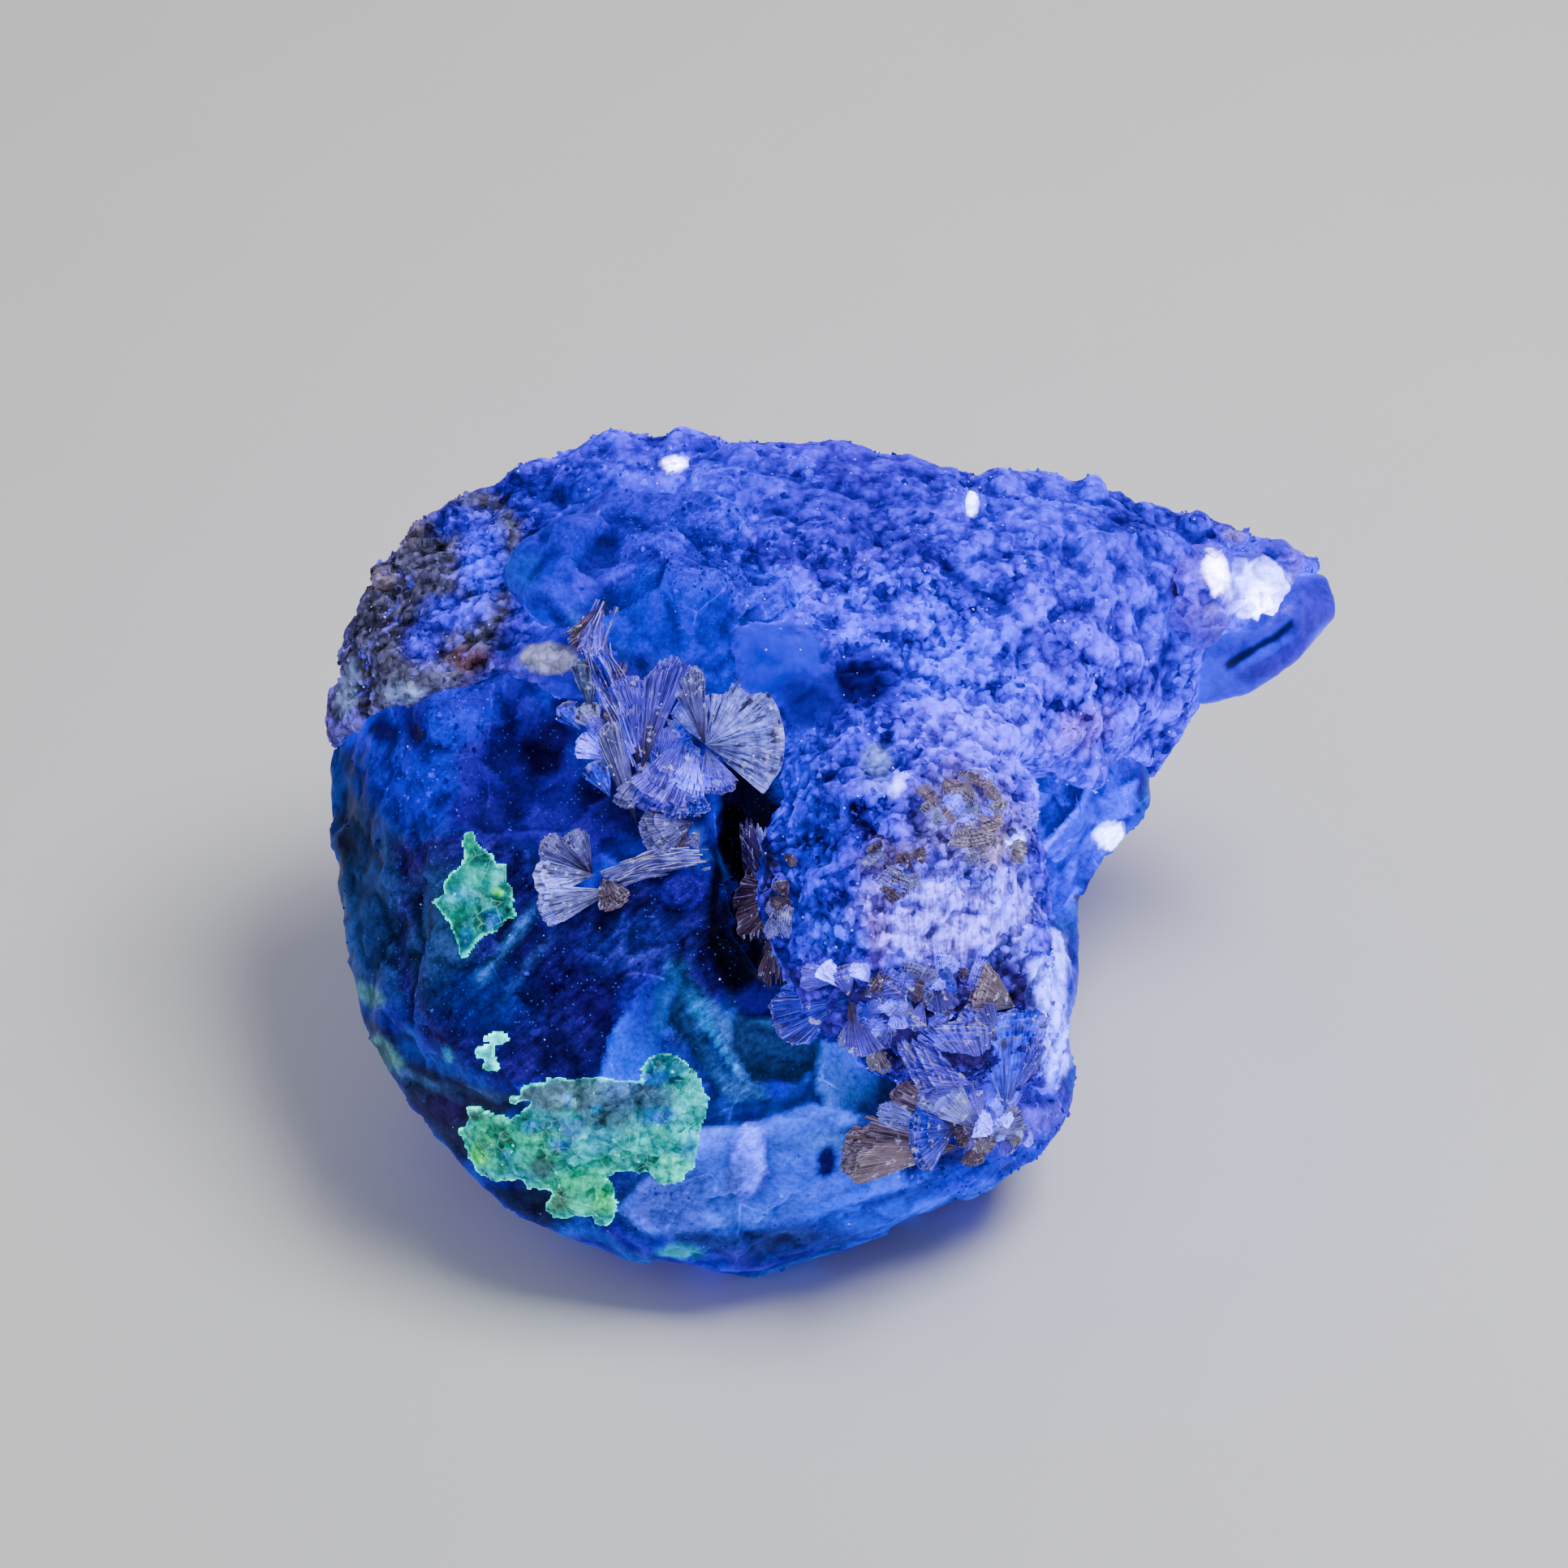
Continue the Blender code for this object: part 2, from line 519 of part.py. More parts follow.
def build_hyalite(name, skin):
    """A thin skin of hyalite that follows the fluorite under it."""
    bm = bmesh.new()
    bm.faces.new([bm.verts.new((*seen, 0.0)) for seen in HYALITE_OUTLINES[name]])
    bmesh.ops.triangulate(bm, faces=bm.faces[:])
    bmesh.ops.subdivide_edges(bm, edges=bm.edges[:], cuts=2, use_grid_fill=True)
    bmesh.ops.triangulate(bm, faces=bm.faces[:])
    for vert in bm.verts:
        place, normal = on_skin(skin, (vert.co.x, vert.co.y))
        bump = 1.0 + HYALITE_BUMP * noise.noise(place / MM / HYALITE_BUMP_MM)
        vert.co = place + normal * HYALITE_PROUD_MM * bump * MM
    inward = lean_direction((0, 0, -1)) * (HYALITE_PROUD_MM + HYALITE_SUNK_MM) * MM
    made = bmesh.ops.extrude_face_region(bm, geom=bm.faces[:])
    sunk = [v for v in made["geom"] if isinstance(v, bmesh.types.BMVert)]
    bmesh.ops.translate(bm, verts=sunk, vec=inward)
    bmesh.ops.recalc_face_normals(bm, faces=bm.faces[:])
    return finish(object_of(name, bm), name + "_green", (0.10, 0.62, 0.38), 0.3)


def build_tip():
    """The smooth fluorite point at the end of the spur."""
    bm = bmesh.new()
    add_hull(bm, [lean(p) for p in TIP_FACE])
    bmesh.ops.bevel(
        bm, geom=bm.edges[:], offset=TIP_BEVEL_MM * MM, offset_type="OFFSET", segments=1,
        affect="EDGES", profile=0.5,
    )
    bmesh.ops.triangulate(bm, faces=bm.faces[:])
    return finish(object_of("fluorite_tip_crystal", bm), "tip_blue", (0.06, 0.16, 0.72), 0.15)


def build_quartz():
    """The white quartz grains grown together on the spur."""
    bm = bmesh.new()
    for centre, radii in QUARTZ_GRAINS:
        add_ball(bm, centre, radii, divisions=3)
    grains = melt(object_of("quartz_grains", bm), QUARTZ_VOXEL_MM, passes=1)
    thin_out(push(grains, grain_relief), QUARTZ_TRIANGLES)
    return finish(grains, "quartz_white", (0.75, 0.78, 0.92), 0.2)


def build_fluorite():
    """The crystal mass with its glassy lumps, its cleft and its flat cleavage base."""
    bm = bmesh.new()
    base = [stand((x, y, -BASE_SINK_MM)) for x, y in BASE_CORNERS]
    add_hull(bm, [lean(p) for p in CRYSTAL_FACE] + [stand(p) for p in CRYSTAL_BACK] + base)
    for corners in (UPPER_CRYSTAL, SIDE_CRYSTAL, LOWER_SIDE_CRYSTAL):
        add_hull(bm, [lean(p) for p in corners])
    for centre, radii in GLASSY_LUMPS:
        add_ball(bm, centre, radii)
    body = melt(object_of("fluorite", bm))
    cleft = bmesh.new()
    add_hull(cleft, [lean(p) for p in CLEFT])
    boolean(body, helper(object_of("cleft_cutter", cleft)))
    hollow = bmesh.new()
    add_ball(hollow, FACE_HOLLOW_AT, FACE_HOLLOW_RADII, divisions=3)
    boolean(body, helper(object_of("hollow_cutter", hollow)))
    melt(body, passes=2)
    thin_out(push(body, facet_relief), FLUORITE_TRIANGLES)
    return finish(cut_base(body), "fluorite_blue", (0.02, 0.14, 0.62), 0.22)


def build_feldspar():
    """The sugary crust: ridge, spur, block and left end, pitted."""
    bm = bmesh.new()
    add_hull(bm, [lean(p) for p in RIDGE_FACE] + [stand(p) for p in RIDGE_BACK])
    for corners in (SPUR_FACE, BLOCK_FACE, LEFT_END_FACE):
        add_hull(bm, [lean(p) for p in corners])
    body = push(melt(object_of("feldspar_crust", bm), passes=3), crust_relief)
    pits = bmesh.new()
    for centre, radii in PITS:
        add_ball(pits, centre, radii)
    boolean(body, helper(object_of("pit_cutter", pits)))
    thin_out(body, FELDSPAR_TRIANGLES)
    return finish(body, "feldspar_violet", (0.27, 0.25, 0.80), 0.6)


def centre_on_origin():
    """Moves every piece together so that the whole stands centred over the origin."""
    pieces = [obj for obj in bpy.context.scene.objects if not obj.hide_render]
    across = [v.co.x for obj in pieces for v in obj.data.vertices]
    along = [v.co.y for obj in pieces for v in obj.data.vertices]
    middle = Vector((min(across) + max(across), min(along) + max(along), 0)) / 2
    for obj in pieces:
        obj.data.transform(Matrix.Translation(-middle))


def main():
    clear_scene()
    fluorite = build_fluorite()
    feldspar = build_feldspar()
    tip = build_tip()
    quartz = build_quartz()
    fluorite_room = swollen(fluorite, FLUORITE_TRIANGLES)
    tip_room = swollen(tip, QUARTZ_TRIANGLES)
    boolean(feldspar, fluorite_room)
    boolean(feldspar, tip_room)
    feldspar_room = swollen(feldspar, FELDSPAR_TRIANGLES)
    boolean(quartz, feldspar_room)
    boolean(quartz, tip_room)
    stone = skin_of(fluorite, feldspar)
    rooms = [fluorite_room, feldspar_room]
    for name in MICA_FANS:
        mica = build_mica(name, stone)
        for room in rooms:
            boolean(mica, room)
        merge_flats(mica, MICA_FLAT_DEG)
        rooms.append(swollen(mica, MICA_ROOM_TRIANGLES))
    crystal = skin_of(fluorite)
    for name in HYALITE_OUTLINES:
        boolean(build_hyalite(name, crystal), fluorite_room)
    centre_on_origin()


main()
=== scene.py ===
"""A fluorite specimen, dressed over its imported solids.

Blue fluorite under a sugary feldspar crust, with mica books fanning out of the seam between them,
skins of green hyalite on the fluorite's face, white quartz on the spur and a point at its end.

Places on the specimen's face are given as seen face on: in pixels of a 1932 x 1932 frame for colour
and relief, and in millimetres for what has a size of its own.
"""

import json
import logging
import math
from collections.abc import Callable, Sequence
from dataclasses import dataclass, field
from enum import Enum

import bmesh
import bpy
import numpy as np
from mathutils import Matrix, Vector, noise
from mathutils.bvhtree import BVHTree
from mathutils.kdtree import KDTree

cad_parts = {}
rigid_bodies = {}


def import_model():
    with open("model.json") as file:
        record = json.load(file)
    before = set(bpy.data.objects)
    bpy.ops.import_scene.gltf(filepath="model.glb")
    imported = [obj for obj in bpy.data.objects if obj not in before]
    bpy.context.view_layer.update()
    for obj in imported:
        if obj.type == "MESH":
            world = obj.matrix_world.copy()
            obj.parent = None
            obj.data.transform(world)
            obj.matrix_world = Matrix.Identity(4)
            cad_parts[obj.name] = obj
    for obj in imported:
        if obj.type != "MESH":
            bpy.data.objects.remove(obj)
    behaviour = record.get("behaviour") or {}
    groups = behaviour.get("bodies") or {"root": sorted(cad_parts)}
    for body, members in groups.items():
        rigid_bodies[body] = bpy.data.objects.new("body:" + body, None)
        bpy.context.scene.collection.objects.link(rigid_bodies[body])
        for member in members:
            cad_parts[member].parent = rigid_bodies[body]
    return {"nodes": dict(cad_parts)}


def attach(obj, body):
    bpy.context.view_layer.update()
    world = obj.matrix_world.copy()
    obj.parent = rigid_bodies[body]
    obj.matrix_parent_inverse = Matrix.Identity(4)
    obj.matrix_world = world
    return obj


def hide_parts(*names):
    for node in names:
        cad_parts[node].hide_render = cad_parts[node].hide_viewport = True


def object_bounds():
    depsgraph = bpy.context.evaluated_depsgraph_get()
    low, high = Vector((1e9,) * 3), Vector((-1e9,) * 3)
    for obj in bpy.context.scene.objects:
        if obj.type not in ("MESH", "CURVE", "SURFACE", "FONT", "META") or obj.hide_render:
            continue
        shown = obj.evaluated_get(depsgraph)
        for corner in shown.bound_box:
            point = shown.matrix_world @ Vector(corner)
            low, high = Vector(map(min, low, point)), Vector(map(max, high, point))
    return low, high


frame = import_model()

CAD_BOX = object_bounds()
LOG = logging.getLogger("fluorite")
MM = 0.001

Array = np.ndarray
Colour = tuple[float, float, float]
Pair = tuple[float, float]
Socket = bpy.types.NodeSocket


class Slot(Enum):
    """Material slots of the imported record."""

    FLUORITE = "fluorite_blue"
    TIP = "tip_blue"
    FELDSPAR = "feldspar_violet"
    QUARTZ = "quartz_white"
    MICA = "mica_grey"
    HYALITE = "hyalite_green"


@dataclass(frozen=True)
class FaceView:
    """The specimen's face as its viewer sees it, leaned back from upright.

    Attributes:
        centre_mm: where the face's own origin stands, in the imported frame.
        lean_deg: how far the face leans back from upright.
        away_mm: how far in front of the face the viewer is.
        mm_per_px: size of one pixel of the frame on the face's own plane.
        middle_px: middle of the frame, in pixels.
    """

    centre_mm: tuple[float, float, float] = (-3.21, 1.27, 22.5)
    lean_deg: float = 40.0
    away_mm: float = 268.0
    mm_per_px: float = 0.05
    middle_px: float = 966.0

    def stand(self, across: float, up: float, out: float) -> Vector:
        """The standing place, in metres, of a point given face on in millimetres."""
        tilt = math.radians(self.lean_deg)
        standing = Vector((across, up * math.sin(tilt) - out * math.cos(tilt),
                           up * math.cos(tilt) + out * math.sin(tilt)))
        return (standing + Vector(self.centre_mm)) * MM

    def direction(self, across: float, up: float, out: float) -> Vector:
        """A face-on direction turned into the standing frame."""
        return (self.stand(across, up, out) - self.stand(0, 0, 0)).normalized()

    def viewer(self) -> Vector:
        """Where the viewer's eye is, in metres."""
        return self.stand(0, 0, self.away_mm)

    def face_on(self, points: Array) -> Array:
        """Standing points, in metres, as (across, up, out) in millimetres."""
        tilt = math.radians(self.lean_deg)
        q = points / MM - np.array(self.centre_mm)
        up = q[:, 1] * math.sin(tilt) + q[:, 2] * math.cos(tilt)
        out = -q[:, 1] * math.cos(tilt) + q[:, 2] * math.sin(tilt)
        return np.column_stack((q[:, 0], up, out))

    def pixels(self, points: Array) -> Array:
        """The pixel of the frame in which each standing point is seen."""
        flat = self.face_on(points)
        shrink = 1.0 / (1.0 - flat[:, 2] / self.away_mm)
        across, up = flat[:, 0] * shrink, flat[:, 1] * shrink
        return np.column_stack((self.middle_px + across / self.mm_per_px,
                                self.middle_px - up / self.mm_per_px))

    def seen_mm(self, pixel: Pair) -> Pair:
        """The place on the face's own plane, in millimetres, under a pixel."""
        return ((pixel[0] - self.middle_px) * self.mm_per_px,
                (self.middle_px - pixel[1]) * self.mm_per_px)

    def toward(self, points: Array) -> Array:
        """The directions from these points to the viewer's eye."""
        ways = np.array(self.viewer()) - points
        return ways / np.linalg.norm(ways, axis=1, keepdims=True)

    def facing(self, points: Array, normals: Array) -> Array:
        """How squarely each point's surface faces the viewer, from -1 to 1."""
        return (normals * self.toward(points)).sum(axis=1)


FACE = FaceView()


def smooth_step(low: float, high: float, value: Array) -> Array:
    """A soft step from 0 below low to 1 above high."""
    share = np.clip((value - low) / (high - low), 0.0, 1.0)
    return share * share * (3.0 - 2.0 * share)


def noise_field(points_mm: Array, size_mm: float, seed: float = 0.0, octaves: int = 1) -> Array:
    """Smooth noise, about -1 to 1, whose swells are size_mm wide.

    Args:
        points_mm: places in millimetres.
        size_mm: width of the largest swells.
        seed: moves the field, so that two fields differ.
        octaves: how many finer layers are added.

    Returns:
        One value for each place.
    """
    shift = Vector((seed * 17.3, seed * 5.9, seed * 31.7))
    if octaves == 1:
        return np.array([noise.noise(Vector(p) + shift) for p in points_mm / size_mm])
    return np.array(
        [noise.fractal(Vector(p) + shift, 1.0, 2.1, octaves) for p in points_mm / size_mm])


def linked(name: str, data: bpy.types.ID) -> bpy.types.Object:
    """Links a new object that holds this mesh, light or camera."""
    obj = bpy.data.objects.new(name, data)
    bpy.context.scene.collection.objects.link(obj)
    return obj


def mesh_object(name: str, points: Array, faces: Sequence[Sequence[int]]) -> bpy.types.Object:
    """Links a new mesh object made of these points, in metres, and faces."""
    mesh = bpy.data.meshes.new(name)
    mesh.from_pydata([tuple(p) for p in points], [], [tuple(f) for f in faces])
    mesh.update()
    return linked(name, mesh)


def rows_of(items: bpy.types.bpy_prop_collection, name: str, width: int = 3) -> Array:
    """One property of every item, as an array with this many columns."""
    flat = np.empty(len(items) * width, np.float32)
    items.foreach_get(name, flat)
    return flat.reshape(-1, width).astype(np.float64)


def points_of(mesh: bpy.types.Mesh) -> Array:
    """The mesh's vertices as an N x 3 array."""
    return rows_of(mesh.vertices, "co")


def normals_of(mesh: bpy.types.Mesh) -> Array:
    """The mesh's vertex normals as an N x 3 array."""
    return rows_of(mesh.vertex_normals, "vector")


def set_points(mesh: bpy.types.Mesh, points: Array) -> None:
    """Moves the mesh's vertices."""
    mesh.vertices.foreach_set("co", points.astype(np.float32).ravel())
    mesh.update()


def set_colours(mesh: bpy.types.Mesh, name: str, colours: Array) -> None:
    """Stores one colour for each vertex under this name."""
    layer = mesh.attributes.get(name) or mesh.attributes.new(name, "FLOAT_COLOR", "POINT")
    flat = np.column_stack((colours, np.ones(len(colours)))).astype(np.float32)
    layer.data.foreach_set("color", flat.ravel())


def apply_modifiers(obj: bpy.types.Object) -> bpy.types.Object:
    """Bakes the object's modifiers into its mesh and clears them."""
    graph = bpy.context.evaluated_depsgraph_get()
    baked = bpy.data.meshes.new_from_object(
        obj.evaluated_get(graph), preserve_all_data_layers=True, depsgraph=graph)
    obj.modifiers.clear()
    old = obj.data
    obj.data = baked
    if not old.users:
        bpy.data.meshes.remove(old)
    return obj


def mesh_from(bm: bmesh.types.BMesh, name: str) -> bpy.types.Mesh:
    """Turns a working mesh into a lasting one and lets it go."""
    mesh = bpy.data.meshes.new(name)
    bm.to_mesh(mesh)
    bm.free()
    return mesh


def clothe(obj: bpy.types.Object, material: bpy.types.Material) -> None:
    """Gives the object this finish and no other."""
    obj.data.materials.clear()
    obj.data.materials.append(material)


def node_copy(node: str, name: str) -> bpy.types.Object:
    """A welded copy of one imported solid, as a new object at the origin."""
    bm = bmesh.new()
    bm.from_mesh(frame["nodes"][node].data)
    bmesh.ops.remove_doubles(bm, verts=bm.verts[:], dist=1e-6)
    bmesh.ops.recalc_face_normals(bm, faces=bm.faces[:])
    return linked(name, mesh_from(bm, name))


def refine(obj: bpy.types.Object, voxel_mm: float, passes: int) -> bpy.types.Object:
    """Rebuilds the skin on a fine grid and irons out the coarse faces."""
    grid = obj.modifiers.new("grid", "REMESH")
    grid.mode = "VOXEL"
    grid.voxel_size = voxel_mm * MM
    grid.use_smooth_shade = True
    iron = obj.modifiers.new("iron", "SMOOTH")
    iron.factor = 0.5
    iron.iterations = passes
    return apply_modifiers(obj)


def skin_of(*objects: bpy.types.Object) -> BVHTree:
    """One search tree over the surfaces of several objects."""
    bm = bmesh.new()
    for obj in objects:
        bm.from_mesh(obj.data)
    tree = BVHTree.FromBMesh(bm)
    bm.free()
    return tree


def on_skin(skin: BVHTree, seen: Pair, height_mm: float = 0.0) -> tuple[Vector, Vector]:
    """Where a line of sight meets the skin.

    Args:
        skin: the surfaces looked at.
        seen: the place on the face's own plane, in millimetres.
        height_mm: how far the result is raised towards the viewer.

    Returns:
        The place and the surface's normal there.
    """
    eye = FACE.viewer()
    sight = (FACE.stand(*seen, 0.0) - eye).normalized()
    place, normal, _, _ = skin.ray_cast(eye, sight)
    if place is None:
        raise ValueError(f"nothing is seen at {seen}")
    return place - sight * height_mm * MM, normal


# --- Node trees -------------------------------------------------------------------------------

SUGAR_WARP = 0.00028  # how far grains are pushed out of shape, in metres


class Wiring:
    """A node tree being wired, with one short call for each kind of node."""

    def __init__(self, tree: bpy.types.NodeTree) -> None:
        """Starts wiring this tree."""
        self.tree = tree

    def add(self, kind: str, inputs: dict | None = None, **settings: object) -> bpy.types.Node:
        """Adds a node.

        Args:
            kind: the node's type identifier.
            inputs: values or sockets for its inputs, by name or index.
            **settings: the node's own properties.

        Returns:
            The new node.
        """
        node = self.tree.nodes.new(kind)
        for name, value in settings.items():
            setattr(node, name, value)
        for key, value in (inputs or {}).items():
            self.feed(self.socket(node, key), value)
        return node

    @staticmethod
    def socket(node: bpy.types.Node, key: str | int) -> Socket:
        """The node's enabled input with this name or index."""
        if isinstance(key, int):
            return node.inputs[key]
        return next(s for s in node.inputs if s.enabled and s.name == key)

    @staticmethod
    def result(node: bpy.types.Node, name: str) -> Socket:
        """The node's enabled output with this name."""
        return next(s for s in node.outputs if s.enabled and s.name == name)

    def feed(self, target: Socket, value: object) -> None:
        """Links a socket to the target, or sets its plain value."""
        if isinstance(value, Socket):
            self.tree.links.new(value, target)
        else:
            target.default_value = value

    def math(self, operation: str, *values: object, clamp: bool = False) -> Socket:
        """The result of one arithmetic step."""
        inputs = dict(enumerate(values))
        return self.add("ShaderNodeMath", inputs, operation=operation, use_clamp=clamp).outputs[0]

    def times(self, first: object, second: object) -> Socket:
        """The first multiplied by the second."""
        return self.math("MULTIPLY", first, second)

    def mad(self, first: object, second: object, third: object, clamp: bool = False) -> Socket:
        """The first multiplied by the second, with the third added."""
        return self.math("MULTIPLY_ADD", first, second, third, clamp=clamp)

    def vector(self, operation: str, *values: object) -> Socket:
        """The result of one step of vector arithmetic."""
        inputs = dict(enumerate(values))
        return self.add("ShaderNodeVectorMath", inputs, operation=operation).outputs[0]

    def spread(self, value: object, low: float, high: float, to_low: float = 0.0,
               to_high: float = 1.0) -> Socket:
        """The value moved from one range to another, and kept inside it."""
        ports = {"Value": value, "From Min": low, "From Max": high, "To Min": to_low,
                 "To Max": to_high}
        return self.add("ShaderNodeMapRange", ports, interpolation_type="SMOOTHSTEP").outputs[0]

    def blend(self, share: object, first: object, second: object) -> Socket:
        """Two colours mixed by a share."""
        node = self.add("ShaderNodeMix", None, data_type="RGBA")
        for port, value in ((0, share), (6, first), (7, second)):
            if isinstance(value, tuple) and len(value) == 3:
                value = (*value, 1.0)
            self.feed(node.inputs[port], value)
        return node.outputs[2]

    def scale(self, colour: object, amount: object) -> Socket:
        """A colour made brighter or darker by a number."""
        node = self.add("ShaderNodeVectorMath", {0: colour, 3: amount}, operation="SCALE")
        return node.outputs[0]

    def channel(self, colour: object, number: int) -> Socket:
        """One channel of a colour."""
        return self.add("ShaderNodeSeparateColor", {0: colour}).outputs[number]

    def bundle(self, *values: object) -> Socket:
        """Three numbers as one vector."""
        return self.add("ShaderNodeCombineXYZ", dict(enumerate(values))).outputs[0]

    def painted(self, name: str, output: str = "Color") -> Socket:
        """What is stored on the surface under this name."""
        return self.add("ShaderNodeAttribute", attribute_name=name).outputs[output]

    def cloud(self, place: object, scale: float, detail: float = 4.0, rough: float = 0.55,
              distortion: float = 0.0) -> Socket:
        """Cloudy noise from 0 to 1 with this many swells to the metre."""
        ports = {"Vector": place, "Scale": scale, "Detail": detail, "Roughness": rough,
                 "Distortion": distortion}
        return self.add("ShaderNodeTexNoise", ports).outputs["Fac"]

    def cells(self, place: object, scale: object, feature: str = "F1") -> bpy.types.Node:
        """A pattern of cells with this many to the metre."""
        return self.add("ShaderNodeTexVoronoi", {"Vector": place, "Scale": scale}, feature=feature)


class GeometryWiring(Wiring):
    """A geometry tree being wired."""

    def keep(self, geometry: Socket, name: str, value: Socket, domain: str = "POINT") -> Socket:
        """Stores a number on the geometry under this name."""
        return self.add("GeometryNodeStoreNamedAttribute",
                        {"Geometry": geometry, "Name": name, "Value": value},
                        data_type="FLOAT", domain=domain).outputs[0]

    def chance(self, low: object, high: object, seed: object, kind: str = "FLOAT") -> Socket:
        """A random number between low and high for each element."""
        node = self.add("FunctionNodeRandomValue", {"Min": low, "Max": high, "Seed": seed},
                        data_type=kind)
        return self.result(node, "Value")

    def named(self, name: str) -> Socket:
        """A number stored on the geometry."""
        node = self.add("GeometryNodeInputNamedAttribute", {"Name": name}, data_type="FLOAT")
        return self.result(node, "Attribute")

    def show(self, geometry: Socket, finish: Socket, out: bpy.types.Node) -> None:
        """Gives the geometry its finish and hands it out."""
        faced = self.add("GeometryNodeSetMaterial", {"Geometry": geometry, "Material": finish})
        self.feed(out.inputs[0], faced.outputs[0])


VALUE, PLACE, COUNT = "NodeSocketFloat", "NodeSocketVector", "NodeSocketInt"
FINISH, MESH = "NodeSocketMaterial", "NodeSocketGeometry"
Ports = dict[str, tuple[str, object]]


def node_tree(name: str, kind: str, ports: Ports, results: dict[str, str]) -> bpy.types.NodeTree:
    """Starts a node group.

    Args:
        name: the group's name.
        kind: the tree's type.
        ports: for each input its socket type and its default, or None.
        results: for each output its socket type.

    Returns:
        The empty group.
    """
    tree = bpy.data.node_groups.new(name, kind)
    for port, (socket, default) in ports.items():
        made = tree.interface.new_socket(port, in_out="INPUT", socket_type=socket)
        if default is not None:
            made.default_value = default
    for port, socket in results.items():
        tree.interface.new_socket(port, in_out="OUTPUT", socket_type=socket)
    return tree


def ends_of(w: Wiring) -> tuple[dict[str, Socket], bpy.types.Node]:
    """Adds a group's ends: its input sockets by name, and its output node."""
    source = w.add("NodeGroupInput")
    return {s.name: s for s in source.outputs if s.name}, w.add("NodeGroupOutput")


def grown(name: str, tree: bpy.types.NodeTree, values: dict[str, object]) -> bpy.types.Object:
    """A new object with the mesh that a geometry tree makes.

    Args:
        name: the object's name.
        tree: the geometry tree.
        values: a value for each of its inputs.

    Returns:
        The object, with the mesh baked.
    """
    obj = mesh_object(name, np.zeros((1, 3)), [])
    made = obj.modifiers.new(name, "NODES")
    made.node_group = tree
    for item in tree.interface.items_tree:
        if item.in_out == "INPUT":
            made[item.identifier] = values[item.name]
    return apply_modifiers(obj)


